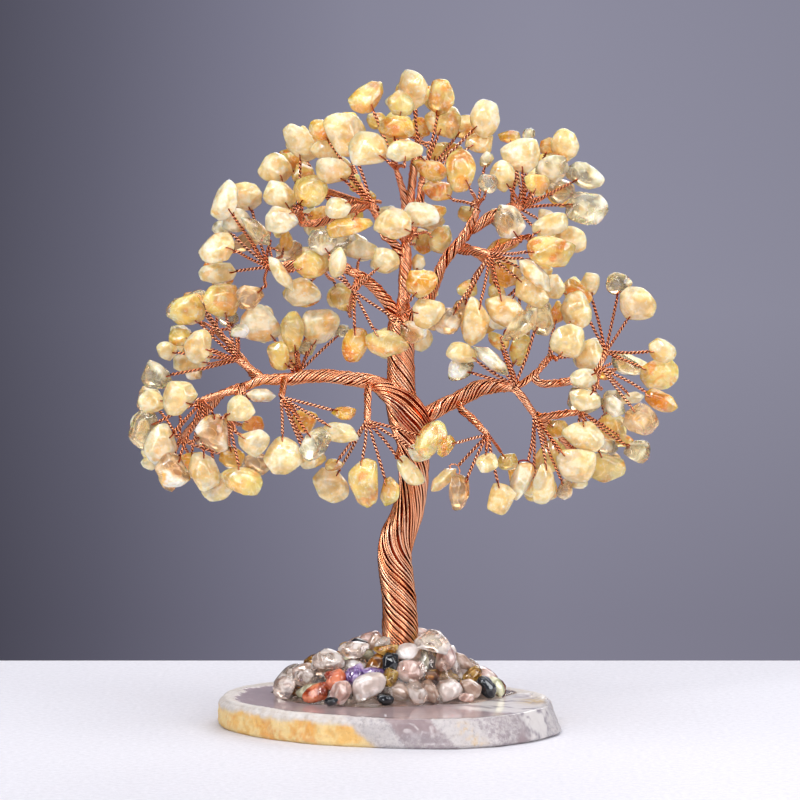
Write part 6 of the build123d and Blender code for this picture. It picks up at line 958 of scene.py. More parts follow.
def citrine(tone):
    """Tumbled citrine: cloudy, clear or honey coloured, with soft veils inside and iron stains."""
    M = Mat("citrine_" + tone)
    rnd, rn2 = M.attr("rnd"), M.attr("rn2")
    zone = M.noise(165.0, 2, 0.45, distort=0.3)
    stain = M.noise(250.0, 2, 0.5, distort=0.3)
    grain = M.noise(1100.0, 3, 0.6)
    haze = M.noise(300.0, 2, 0.5, distort=0.4)
    # thin healed cracks: where a soft noise passes through its middle value
    crack = M.ramp(M.noise(210.0, 2, 0.5, distort=1.0), [(0.470, 0.0), (0.492, 1.0), (0.508, 1.0), (0.530, 0.0)])
    if tone == "milky":
        col = M.ramp(rnd, [(0.0, srgb(255, 212, 142)), (0.3, srgb(255, 220, 160)), (0.55, srgb(255, 208, 134)), (0.8, srgb(255, 226, 180)), (1.0, srgb(255, 231, 196))])
        col = M.mix(M.ramp(zone, [(0.48, 0.0), (0.60, 0.45)]), col, srgb(255, 242, 222))
        col = M.mix(M.ramp(haze, [(0.50, 0.0), (0.66, 0.35)]), col, srgb(255, 245, 230))
        col = M.mix(M.math("MULTIPLY", crack, 0.20), col, srgb(252, 210, 136))
        col = M.mix(M.math("MULTIPLY", M.ramp(stain, [(0.58, 0.0), (0.67, 0.9)]), M.ramp(rn2, [(0.0, 0.15), (0.3, 0.55), (1.0, 1.0)])), col, srgb(246, 174, 58))
        M.put(Subsurface_Weight=0.9, Subsurface_Scale=0.003, Subsurface_Radius=(1.0, 0.78, 0.5), IOR=1.54, Coat_Weight=0.8, Coat_Roughness=0.03)
        M.link(M.ramp(zone, [(0.3, 0.08), (0.7, 0.24)]), "Roughness")
        M.link(M.ramp(haze, [(0.38, 0.38), (0.56, 0.08)]), "Transmission Weight")
    elif tone == "clear":
        col = M.ramp(rnd, [(0.0, srgb(255, 243, 210)), (0.4, srgb(255, 236, 190)), (0.6, srgb(255, 240, 204)), (0.75, srgb(255, 216, 168)), (1.0, srgb(255, 206, 148))])
        col = M.mix(M.ramp(zone, [(0.54, 0.0), (0.64, 0.8)]), col, srgb(255, 253, 244))
        col = M.mix(M.math("MULTIPLY", M.ramp(stain, [(0.58, 0.0), (0.66, 1.0)]), M.ramp(rn2, [(0.0, 0.1), (0.3, 0.4), (1.0, 1.0)])), col, srgb(246, 186, 90))
        M.put(Subsurface_Weight=0.7, Subsurface_Scale=0.003, Subsurface_Radius=(1.0, 0.8, 0.5), IOR=1.5, Coat_Weight=0.3, Coat_Roughness=0.02)
        M.link(M.ramp(zone, [(0.45, 0.0), (0.7, 0.16)]), "Roughness")
        M.link(M.math("SUBTRACT", M.ramp(zone, [(0.46, 0.93), (0.60, 0.26)]), M.math("ADD", M.math("MULTIPLY", rn2, 0.12), M.math("MULTIPLY", crack, 0.20)), clamp=True), "Transmission Weight")
    else:
        col = M.ramp(rnd, [(0.0, srgb(255, 220, 130)), (0.25, srgb(255, 213, 114)), (0.5, srgb(255, 222, 140)), (0.6, srgb(255, 194, 74)), (0.8, srgb(255, 182, 58)), (1.0, srgb(255, 200, 90))])
        col = M.mix(M.ramp(haze, [(0.50, 0.0), (0.62, 0.40)]), col, srgb(255, 238, 192))
        col = M.mix(M.math("MULTIPLY", crack, 0.24), col, srgb(255, 242, 210))
        iron = M.math("MULTIPLY", M.ramp(stain, [(0.52, 0.0), (0.60, 1.0)]), M.ramp(rn2, [(0.0, 0.30), (0.5, 0.75), (1.0, 1.0)]))
        col = M.mix(iron, col, srgb(240, 140, 20))
        M.put(Subsurface_Weight=0.85, Subsurface_Scale=0.003, Subsurface_Radius=(1.0, 0.72, 0.36), IOR=1.54, Coat_Weight=0.8, Coat_Roughness=0.03)
        M.link(M.ramp(zone, [(0.3, 0.10), (0.7, 0.28)]), "Roughness")
        M.link(M.math("SUBTRACT", M.ramp(zone, [(0.36, 0.60), (0.60, 0.16)]), M.math("MULTIPLY", crack, 0.12), clamp=True), "Transmission Weight")
    # honey colour that is strongest round the drilled hole
    col = M.mix(M.math("MULTIPLY", M.attr("core"), M.ramp(stain, [(0.38, 0.35), (0.56, 1.0)])), col, srgb(248, 174, 46))
    col = M.mix(M.ramp(grain, [(0.54, 0.0), (0.68, 0.55)]), col, srgb(255, 251, 238))
    col = M.mix(M.ramp(grain, [(0.34, 0.40), (0.46, 0.0)]), col, srgb(248, 196, 104))
    M.link(col, "Base Color")
    M.bump(M.math("ADD", M.noise(240.0, 2), M.math("MULTIPLY", grain, 0.08)), 0.26, 0.0005)
    return M.m


COPPER = copper()
CITRINE = {t: citrine(t) for t in ("milky", "clear", "amber")}


# ---- chips --------------------------------------------------------------------------
def chip_frame(row):
    """World place of a chip: rotation, hole centre, in-plane direction, wire attach point."""
    hub, x, y, z, qw, qx, qy, qz, a, b, c, seed = row
    o = np.array([x, y, z])
    R = rot((qw, qx, qy, qz))
    P = chip_points(seed, a, b, c)
    N, h = hull_planes(P)
    knot = np.array(HUBS[hub][1][0], float)
    n = R[:, 2]
    d = knot - o
    e = d - np.dot(d, n) * n
    e = unit(e) if np.linalg.norm(e) >= 0.8 else R[:, 0]
    el = R.T @ e
    edge = ray_out(N, h, np.zeros(3), el)
    inset = min(1.25, 0.3 * edge)
    H = el * (edge - inset)
    up, dn = np.array([0, 0, 1.0]), np.array([0, 0, -1.0])
    across = np.array([-el[1], el[0], 0.0])
    far = max(ray_out(N, h, np.array([0, 0, t * c]) + across * g, el)
              for t in (-0.5, -0.33, -0.16, 0.0, 0.16, 0.33, 0.5) for g in (-0.15, 0.0, 0.15))
    hi, lo = ray_out(N, h, H, up), ray_out(N, h, H, dn)
    return dict(R=R, o=o, knot=knot, e=e, n=n, H=o + R @ H, A=o + R @ (el * (far + 0.33)), reach=far - edge + inset + 0.33, hi=hi, lo=lo)


def twig_path(f, hub, rg):
    """Centre line of the twisted pair, from inside the stem to the stone."""
    pts = [np.array(p, float) for p in HUBS[hub][1]]
    knot, A, e = f["knot"], f["A"], f["e"]
    d = A - knot
    L = np.linalg.norm(d)
    back = unit(pts[1] - knot)
    side = d / L - np.dot(d / L, back) * back
    side = unit(side) if np.linalg.norm(side) > 1e-3 else np.array([0.0, 1.0, 0.0])
    lean = math.degrees(math.acos(max(-1.0, min(1.0, float(np.dot(-d / L, e))))))
    stretch = min(4.2, 0.8 * float(np.linalg.norm(pts[1] - knot)))
    turn = np.cross(back, side) * rg.uniform(-0.35, 0.35)
    path = [knot + back * stretch + side * 0.42 - turn, knot + back * 0.55 * stretch + side * 0.55 + turn, knot + back * 0.5 + side * 0.5,
            knot + d / L * min(1.1, 0.35 * L) + side * 0.18]
    bend = unit(np.cross(d, rg.normal(size=3))) * L * rg.uniform(-0.02, 0.03)
    path.append(knot + d * 0.55 + bend)
    if lean > 20:
        path.append(A + e * min(0.38 + 0.9 * math.sin(math.radians(lean)), 0.35 * L))
    path.append(A)
    return path


def twist(path, out, r, pitch, phase, val, hand=-1.0, ease=1.4):
    """Two wires twisted round a path."""
    C, _ = curve(path, step=0.24)
    T, U, V = carry(C)
    s = np.concatenate([[0], np.cumsum(np.linalg.norm(np.diff(C, axis=0), axis=1))])
    phi = phase + hand * 2 * np.pi * s / pitch
    rad = r * 1.10
    X = []
    for k in (0, math.pi):
        X.append(C + rad * (np.cos(phi + k)[:, None] * U + np.sin(phi + k)[:, None] * V))
    ref = np.array([x - C for x in X])
    wires(X, out, r, 6, [val, val], ref)


def loop(f, out, r, val):
    """The turn of wire that goes through the hole and back to the pair."""
    e, n, H, A = f["e"], f["n"], f["H"], f["A"]
    top, bot, x = f["hi"] + 0.16, f["lo"] + 0.16, f["reach"]
    q = [(x, 0.0), (x * 0.85, top * 0.55), (x * 0.4, top * 0.98), (0.02, top * 0.92), (0, top * 0.4), (0, -bot * 0.4), (0.02, -bot * 0.92),
         (x * 0.4, -bot * 0.98), (x * 0.85, -bot * 0.55), (x, 0.0)]
    C, _ = curve([H + e * a + n * b for a, b in q], step=0.3)
    wires([C], out, r, 6, [val], np.array([np.broadcast_to(np.cross(e, n), C.shape)]))


# two chips beside the lower right limb that pass each other when it is bent down
SNUG = {1182, 1045}
rg = np.random.default_rng(11)
for key, name in NAMES.items():
    tw = Skin()
    for tone in ("milky", "clear", "amber"):
        rows = CHIPS.get(key + "_" + tone, [])
        if not rows:
            continue
        sk = Skin()
        for row in rows:
            f = chip_frame(row)
            a, b, c, seed = row[8:]
            V, _, _ = pebble(seed, a, b, c, p={"milky": 30.0, "clear": 42.0, "amber": 34.0}[tone], dent=0.03, rough=0.006, cuts=6, keep=f["R"].T @ f["e"])
            if seed in SNUG:
                V = V * 0.88
            v1, v2 = rg.uniform(0, 0.55), rg.uniform(0, 0.6)
            if seed in DEEP:
                v1, v2 = v1 * 0.7 + 0.615, v2 * 0.8 + 0.5
            W = V @ f["R"].T + f["o"]
            v3 = {"milky": 0.60, "clear": 0.35, "amber": 0.75}[tone] * rg.uniform(0, 1) ** (1.6 if tone == "milky" else 1.2)
            sk.add(W, tris=BALL_F, rnd=v1, rn2=v2, core=v3 * np.exp(-(np.linalg.norm(W - f["H"], axis=1) / (0.62 * a)) ** 2))
            path = twig_path(f, row[0], rg)
            val = rg.uniform(0, 1)
            twist(path, tw, 0.21, rg.uniform(1.8, 2.2), rg.uniform(0, 6.28), val)
            loop(f, tw, 0.19, val)
        ob = sk.make("citrine_%s_%s" % (name, tone))
        ob.data.materials.append(CITRINE[tone])
        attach(ob, BODY[key])
        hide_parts("chips_%s_%s" % (name, tone))
    ob = tw.make("twisted_pairs_" + name)
    ob.data.materials.append(COPPER)
    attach(ob, BODY[key])
    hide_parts("twigs_" + name, "eyes_" + name)

# ---- stems ---------------------------------------------------------------------------
for key, name in NAMES.items():
    sk = Skin()
    for i, (hub, (b, pts)) in enumerate(HUBS.items()):
        if b != key:
            continue
        P = [np.array(p, float) for p in pts]
        d = unit(P[0] - P[1])
        line = P[::-1]
        line[-1] = P[0] + d * 0.3
        n = len([1 for t in ("milky", "clear", "amber") for row in CHIPS.get(key + "_" + t, []) if row[0] == hub])
        r0 = 0.66 + 0.045 * n
        rad = [r0] * (len(line) - 1) + [r0 * 0.72]
        bundle(sk, line, rad, [34] * len(line), max(6, int(round(2 * math.pi * r0 * 0.72 / 0.52))), 0.235, 100 + i, step=0.4, wobble=0.10,
               fray=lambda t: 1 - 0.5 * np.clip((t - 0.8) / 0.2, 0, 1) ** 2)
    ob = sk.make("spray_stems_" + name)
    ob.data.materials.append(COPPER)
    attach(ob, BODY[key])
    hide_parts("stems_" + name)

# ---- trunk ------------------------------------------------------------------------------
TRUNK_LEAN = {7: 46, 25: 48, 34: 44, 44: 34, 50: 22, 58: 18, 66: 26, 75: 34, 84: 40, 95: 42, 104: 45, 120: 45}


def lean_at(z):
    zs = sorted(TRUNK_LEAN)
    return float(np.interp(z, zs, [TRUNK_LEAN[k] for k in zs]))


sk = Skin()
T = LIMBS["TR"]
pts = [p[:3] for p in T]
rad = [p[3] for p in T]
ends = [None, 108, None, 96, None, 100, 92]
bundle(sk, pts, rad, [lean_at(p[2]) for p in pts], 31, 0.29, 5, phase=0.3, step=0.55, thin=ends, wobble=0.11, stray=0.26)
ob = sk.make("trunk_wires")
ob.data.materials.append(COPPER)
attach(ob, BASE)
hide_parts("trunk_bundle")

# ---- limbs: each starts inside the trunk and crosses its bend --------------------------------
ROOTS = {
    "LL": ("TRL", [(8.6, -1.2, 70.0), (7.6, -3.0, 74.5), (5.2, -3.9, 78.6), (2.4, -3.6, 82.0)], [2.6, 3.4, 3.9, 3.4], [0.32, 0.30, 0.30, 0.42]),
    "RL": ("TRR", [(2.6, 0.8, 66.5), (4.4, 0.4, 72.5)], [1.8, 2.1], [0.9, 1.0]),
    "LU": ("TLU", [(3.2, -0.3, 93.0), (2.9, -0.5, 97.0)], [1.6, 1.9], [1.0, 1.0]),
    "RU": ("TRU", [(2.4, 0.1, 93.0), (3.0, 0.0, 97.0)], [1.5, 1.7], [1.0, 1.0]),
    "LT": ("TLT", [(3.9, 0.0, 109.0), (3.9, 0.0, 113.0)], [0.9, 1.1], [1.0, 1.0]),
    "CR": (None, [(3.8, 0.0, 113.0), (4.0, 0.0, 118.0)], [0.9, 1.1], [1.0, 1.0]),
}
PIVOT = {j["child"]: (j["pos_m"], j["axis"]) for j in frame["joints"]}
for k, (key, (stub, root, rr, ff)) in enumerate(ROOTS.items()):
    line, rad, flat = list(root), list(rr), list(ff)
    if stub:
        for p in LIMBS[stub][1 if key == "LL" else 0:]:
            line.append(p[:3]); rad.append(p[3]); flat.append(1.0)
    for p in LIMBS[key]:
        line.append(p[:3]); rad.append(p[3]); flat.append(1.0)
    sk = Skin()
    big = max(p[3] for p in LIMBS[key])
    lean = [12.0] * len(root) + [40.0] * (len(line) - len(root))
    count = max(6, int(round(2 * math.pi * (big - 0.25) * 0.80 / 0.65)))
    tails = None
    if key == "LL":
        count, tails = 27, [None, 20.0, None, 23.0, None, 26.0, 21.5]
    bundle(sk, line, rad, lean, count, 0.272 if key == "LL" else 0.265, 40 + k, phase=0.5 * k, flat=flat, up=(0.55, 0.0, 0.83) if key == "LL" else (0, 1, 0),
           step=0.45, wobble=0.09, stray=0.2, thin=tails, sink=1.35 if key == "LL" else 1.7)
    name = NAMES[key]
    ob = sk.make("limb_wires_" + name)
    ob.data.materials.append(COPPER)
    c = np.array(PIVOT[BODY[key]][0])
    if stub:
        a, b = np.array(LIMBS[stub][-1][:3]) * MM, np.array(LIMBS[key][0][:3]) * MM
    else:
        a, b = np.array([4.0, 0.0, 120.0]) * MM, np.array(LIMBS[key][0][:3]) * MM
    d = unit(b - a)
    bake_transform(ob)
    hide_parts(("limb_crown" if key == "CR" else "limb_" + name), *(["fork_stubs"] if key == "LL" else []))

# ---- agate slice --------------------------------------------------------------------
def lattice(P, seed):
    """Smooth value noise in 0..1 at points P."""
    P = np.asarray(P, float)
    i = np.floor(P).astype(np.int64)
    f = P - i
    f = f * f * (3 - 2 * f)
    out = 0.0
    for dx in (0, 1):
        for dy in (0, 1):
            for dz in (0, 1):
                q = i + np.array([dx, dy, dz])
                k = (q[..., 0] * 374761393 + q[..., 1] * 668265263 + q[..., 2] * 2147483647 + seed * 974634777) & 0x7FFFFFFF
                k = ((k ^ (k >> 13)) * 1274126177) & 0x7FFFFFFF
                k = (k ^ (k >> 16)) & 0xFFFF
                w = (f[..., 0] if dx else 1 - f[..., 0]) * (f[..., 1] if dy else 1 - f[..., 1]) * (f[..., 2] if dz else 1 - f[..., 2])
                out = out + w * (k / 65535.0)
    return out


def cloud(P, scale, seed, octaves=4, gain=0.55):
    P = np.asarray(P, float) * scale
    s, a, tot = 0.0, 1.0, 0.0
    for o in range(octaves):
        s = s + a * lattice(P * 2 ** o + 17.3 * o, seed + o)
        tot += a
        a *= gain
    return s / tot


def soft(x, a, b):
    t = np.clip((np.asarray(x, float) - a) / (b - a), 0, 1)
    return t * t * (3 - 2 * t)


def blend(A, B, t):
    return A * (1 - t[:, None]) + np.asarray(B) * t[:, None]


SLAB_T = 7.0
NA = 720
out_pts = np.array(SLAB_OUTLINE, float)
centre = np.array([SLAB_CX, SLAB_CY])
rel = out_pts - centre
oa = np.unwrap(np.arctan2(rel[:, 1], rel[:, 0]))
orr = np.hypot(rel[:, 0], rel[:, 1])
aa = np.linspace(0, 2 * np.pi, NA, endpoint=False)
tab = np.concatenate([oa - 2 * np.pi, oa, oa + 2 * np.pi, oa + 4 * np.pi])
rad_of = np.interp((aa - tab[0]) % (2 * np.pi) + tab[0] + 2 * np.pi, tab, np.tile(orr, 4))
for _ in range(10):
    rad_of = 0.25 * np.roll(rad_of, 1) + 0.5 * rad_of + 0.25 * np.roll(rad_of, -1)
ux, uy = np.cos(aa), np.sin(aa)
Xo, Yo = SLAB_CX + rad_of * ux, SLAB_CY + rad_of * uy
front = soft(-Yo, -6, 12)
# how far each stretch of the rim is rough rind (1) or polished slope (0)
rind = 1 - front * soft(Xo, -9, 6) * (1 - 0.35 * soft(Xo, 36, 42))
steep = 1 - front * soft(Xo, -6, 14)
rings = []
prof_z = [0.0, 0.25, 0.7, 1.2, 1.8, 2.4, 3.0, 3.6, 4.2, 4.8, 5.4, 5.9, 6.3, 6.6, 6.85, 7.0]
for z in prof_z:
    t = z / SLAB_T
    k_rind = 1.0 - 0.022 * (1 - soft(z, 0, 0.8)) - 0.006 * t - 0.022 * soft(t, 0.8, 1.0) ** 1.8
    k_slope = 1.0 - 0.03 * (1 - soft(z, 0, 0.8)) - 0.085 * t ** 1.15
    k = k_rind * steep + k_slope * (1 - steep)
    P = np.column_stack([Xo * 1.0, Yo, np.full(NA, z)])
    n1 = cloud(P, 0.22, 3) - 0.5
    n2 = cloud(P, 0.9, 9) - 0.5
    rr = rad_of * k + (n1 * 1.3 + n2 * 0.9 * rind) * (0.5 + 0.5 * soft(z, 0, 1.5))
    rr = np.minimum(rr, rad_of * 1.004)
    rings.append(np.column_stack([SLAB_CX + rr * ux, SLAB_CY + rr * uy, np.full(NA, z)]))
edge = rings[-1]
er = np.hypot(edge[:, 0] - SLAB_CX, edge[:, 1] - SLAB_CY)
n_side = len(rings)
for d in (0.5, 1.0, 1.5, 2.1, 2.8, 3.6, 4.5, 5.5, 6.6, 7.8, 9.2, 10.8, 12.6, 14.6, 16.8, 19.5, 23, 27, 31):
    k = np.maximum(er - d, 0.6) / er
    z = SLAB_T + rind * (0.34 * np.exp(-((d - 1.4) / 1.5) ** 2)) - 0.14 * soft(d, 0.4, 4.6) * rind
    P = np.column_stack([SLAB_CX + (edge[:, 0] - SLAB_CX) * k, SLAB_CY + (edge[:, 1] - SLAB_CY) * k, z])
    P[:, 2] += rind * np.exp(-(d / 2.0) ** 2) * (cloud(P, 0.9, 21) - 0.5) * 0.5
    rings.append(P)
V = np.concatenate(rings)
idx = np.arange(len(rings) * NA).reshape(len(rings), NA)
a, b = idx[:-1], idx[1:]
quads = np.stack([a, np.roll(a, -1, 1), np.roll(b, -1, 1), b], -1).reshape(-1, 4)
mid_top, mid_bot = len(V), len(V) + 1
V = np.vstack([V, [SLAB_CX, SLAB_CY, SLAB_T - 0.1], [SLAB_CX, SLAB_CY, 0.0]])
i0, i1 = idx[-1], idx[0]
tris = np.concatenate([np.column_stack([i0, np.roll(i0, -1), np.full(NA, mid_top)]),
                       np.column_stack([np.roll(i1, -1), i1, np.full(NA, mid_bot)])])
# colours by place
tot = np.concatenate([np.tile(rind, len(rings)), [0, 0]])
ring_no = np.concatenate([np.repeat(np.arange(len(rings)), NA), [len(rings), 0]])
side = 1 - soft(ring_no, n_side - 2, n_side + 1)
inward = np.concatenate([np.repeat(np.array([0] * n_side + [0.5, 1.0, 1.5, 2.1, 2.8, 3.6, 4.5, 5.5, 6.6, 7.8, 9.2, 10.8, 12.6, 14.6, 16.8, 19.5, 23, 27, 31]), NA), [40, 0]])
x, y, z = V.T
taupe = np.array(srgb(178, 158, 159))
dark = np.array(srgb(166, 148, 150))
white = np.array(srgb(206, 199, 196))
chalk = np.array(srgb(212, 202, 192))
grey = np.array(srgb(176, 172, 180))
ochre = np.array(srgb(238, 184, 94))
honey = np.array(srgb(230, 150, 52))
cream = np.array(srgb(242, 212, 148))
n_big = cloud(V, 0.07, 31, 4)
n_mid = cloud(V, 0.25, 41, 4)
n_fine = cloud(V, 0.9, 51, 4)
col = np.tile(taupe, (len(V), 1))
col = blend(col, dark, 0.45 * soft(n_big, 0.45, 0.65))
fleck = np.zeros(len(V))
# fine wavy lines of the agate that follow the rim
line = soft(np.sin(inward * 2.6 + 5 * n_mid), 0.82, 0.98) * soft(inward, 1.0, 3.0) * (1 - soft(inward, 7, 12))
col = blend(col, srgb(190, 176, 176), 0.35 * line)
# grey and white streaks that widen towards the right end
bx = x * 0.90 - y * 0.12 + 3.5 * (n_big - 0.5)
wedge = soft(bx + 4.0 * (n_mid - 0.5), 14, 20) * soft(y + 0.55 * (x - 24), -27, -21) * (1 - soft(y, 10, 20))
streak = 0.5 + 0.5 * np.sin((y + 0.30 * x) * 0.62 + 8 * n_mid)
col = blend(col, srgb(166, 160, 168), wedge * 0.75)
col = blend(col, srgb(240, 234, 230), wedge * soft(streak * 0.55 + n_fine * 0.6, 0.24, 0.44))
patch = np.exp(-(((x - 35.8) / 3.2) ** 2 + ((y + 8.0) / 5.0) ** 2))
col = blend(col, srgb(226, 196, 132), np.clip(patch * 1.3 * soft(n_fine, 0.30, 0.55), 0, 0.85))
# rind: white crust above, ochre below, on the left and round the back
rough = np.zeros(len(V))
crust = tot * (1 - soft(inward + 5.5 * (n_mid - 0.5) + 3.0 * (n_fine - 0.5), 2.7, 3.6))
crust = crust * (1 - soft(x + 3.0 * (n_mid - 0.5) - 7.5 * (1 - np.clip(z / SLAB_T, 0, 1)), -10.5, -8.5) * np.concatenate([np.tile(front, len(rings)), [0, 0]]))
low = soft(5.6 - z + 2.8 * (n_mid - 0.5), -0.5, 0.9)
rcol = np.tile(chalk, (len(V), 1))
rcol = blend(rcol, np.array(srgb(226, 220, 214)), soft(n_fine, 0.35, 0.65))
oc = np.tile(cream, (len(V), 1))
oc = blend(oc, ochre, 0.75 * soft(n_mid + 0.3 * (n_fine - 0.5), 0.44, 0.60))
oc = blend(oc, honey, 0.6 * soft(cloud(V, 0.16, 63, 4), 0.52, 0.66) * soft(n_fine, 0.36, 0.6))
rcol = rcol * (1 - low[:, None]) + oc * low[:, None]
col = col * (1 - crust[:, None]) + rcol * crust[:, None]
rough = np.maximum(rough, crust)
fleck = np.maximum(fleck, crust * (0.10 + 0.40 * (1 - low)))
# front slope, left to right: crystal grain, taupe, white crystal band with yellow spots, grain, taupe, streaked tip
fr = np.concatenate([np.tile(front, len(rings)), [0, 0]])
edge_in = 1 - soft(inward + 2.4 * (n_mid - 0.5), 0.6, 1.6)
fr = fr * edge_in
h = np.clip(z / SLAB_T, 0, 1)
sx = x + 3.2 * (n_mid - 0.5) + 1.6 * (n_fine - 0.5)
gA = soft(sx, -12.0 + 7.5 * (1 - h), -9.5 + 7.5 * (1 - h)) * (1 - soft(sx, -2.0 + 5.0 * (1 - h), 0.2 + 5.0 * (1 - h)))
gB = soft(sx, 1, 4) * (1 - soft(sx, 15, 18)) * (1 - soft(h, 0.35, 0.75))
gC = soft(sx, 8.6 + 7.6 * (1 - h), 10.6 + 7.6 * (1 - h)) * (1 - soft(sx, 18.5 + 6.0 * (1 - h), 21.5 + 6.0 * (1 - h)))
gD = soft(sx, 17, 21) * (1 - soft(sx, 30, 33))
gE = soft(sx, 38.0, 39.5)
lum = np.clip(fr * np.maximum.reduce([0.85 * gA, 0.26 * gB, 1.0 * gC, 0.50 * gD, 0.75 * gE]), 0, 1)
col = blend(col, grey, np.clip(fr * np.maximum.reduce([gA, 0.5 * gB, gC, 0.6 * gD, gE]), 0, 1) * 0.75)
col = blend(col, white, 0.55 * lum * soft(n_fine + 0.4 * (n_mid - 0.5), 0.34, 0.58))
spot = np.exp(-((sx - (16.0 + 6.2 * (1 - h))) / 1.9) ** 2) * fr * soft(cloud(V, 0.8, 77, 3), 0.46, 0.60) * (1 - soft(h, 0.80, 1.0))
col = blend(col, srgb(222, 178, 92), np.clip(spot * 1.2, 0, 0.9))
fleck = np.maximum(fleck, lum)
# painted shade: the front slope outside the crust is darkened by a quarter to offset the light that falls on it
col = col * (1 - 0.25 * fr * (1 - crust))[:, None]
rough = np.clip(np.maximum(rough, 0.45 * lum), 0, 1)

S = Mat("agate")
base = S.attr("tone", "Color")
rg_ = S.attr("rind")
fl = S.attr("fleck")
grainy = S.noise(1000.0, 6, 0.75)
fine = S.noise(420.0, 5, 0.62)
mask = S.ramp(S.math("ADD", grainy, S.math("MULTIPLY", fl, 0.22)), [(0.53, 0.0), (0.72, 1.0)])
c1 = S.mix(S.math("MULTIPLY", mask, S.ramp(fl, [(0.0, 0.0), (0.30, 0.62)])), base, srgb(211, 204, 200))
c1 = S.mix(S.math("MULTIPLY", S.ramp(grainy, [(0.30, 1.0), (0.44, 0.0)]), S.math("MULTIPLY", rg_, 0.30)), c1, srgb(150, 118, 84))
c1 = S.mix(S.math("MULTIPLY", S.ramp(fine, [(0.3, 1.0), (0.5, 0.0)]), 0.12), c1, srgb(128, 110, 114))
S.link(c1, "Base Color")
S.link(S.ramp(rg_, [(0.0, 0.07), (0.35, 0.28), (1.0, 0.66)]), "Roughness")
S.put(Subsurface_Weight=0.2, Subsurface_Scale=0.0015, Subsurface_Radius=(1.0, 0.85, 0.75), IOR=1.54)
S.bump(S.math("ADD", S.math("MULTIPLY", grainy, S.math("ADD", rg_, 0.03)), S.math("MULTIPLY", fine, 0.04)), 0.7, 0.0006)
sk = Skin()
sk.add(V, tris=tris, quads=quads, tone=col, rind=rough, fleck=fleck)
slab = sk.make("agate_slice")
slab.data.materials.append(S.m)
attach(slab, BASE)
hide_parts("agate_slab")

# ---- mound of tumbled stones -----------------------------------------------------------
def stone(name, stops, veil=None, patch=None, trans=(0.1, 0.02), rough=(0.05, 0.16), sss=0.25, radius=(1, 0.9, 0.8),
          scale=260.0, band=None, coat=0.8, ior=1.54, metal=0.0):
    M = Mat(name)
    rnd, rn2 = M.attr("rnd"), M.attr("rn2")
    v = M.noise(scale * 1.3, 3, 0.5, distort=0.6)
    big = M.noise(scale, 3, 0.5, distort=0.5)
    col = M.ramp(rnd, [(i / max(len(stops) - 1, 1), srgb(*s)) for i, s in enumerate(stops)])
    if veil:
        col = M.mix(M.ramp(v, [(0.48, 0.0), (0.62, veil[1])]), col, srgb(*veil[0]))
    if patch:
        col = M.mix(M.math("MULTIPLY", M.ramp(big, [(0.48, 0.0), (0.62, patch[1])]), M.ramp(rn2, [(0.0, 0.45), (1.0, 1.0)])), col, srgb(*patch[0]))
    if band:
        w = M.node("ShaderNodeTexWave", {"Vector": M.coord(), "Scale": 170.0, "Distortion": 5.0, "Detail": 3.0, "Detail Scale": 1.4},
                   bands_direction="DIAGONAL").outputs["Fac"]
        col = M.mix(M.ramp(w, [(0.35, 0.0), (0.65, band[1])]), col, srgb(*band[0]))
    M.link(col, "Base Color")
    M.link(M.ramp(v, [(0.3, rough[0]), (0.75, rough[1])]), "Roughness")
    if trans[0] > 0:
        M.link(M.ramp(v, [(0.42, trans[0]), (0.60, trans[1])]), "Transmission Weight")
    M.put(Subsurface_Weight=sss, Subsurface_Scale=0.0022, Subsurface_Radius=radius, IOR=ior, Coat_Weight=coat, Coat_Roughness=0.04, Metallic=metal)
    M.bump(M.noise(420.0, 3), 0.14, 0.0003)
    return M.m


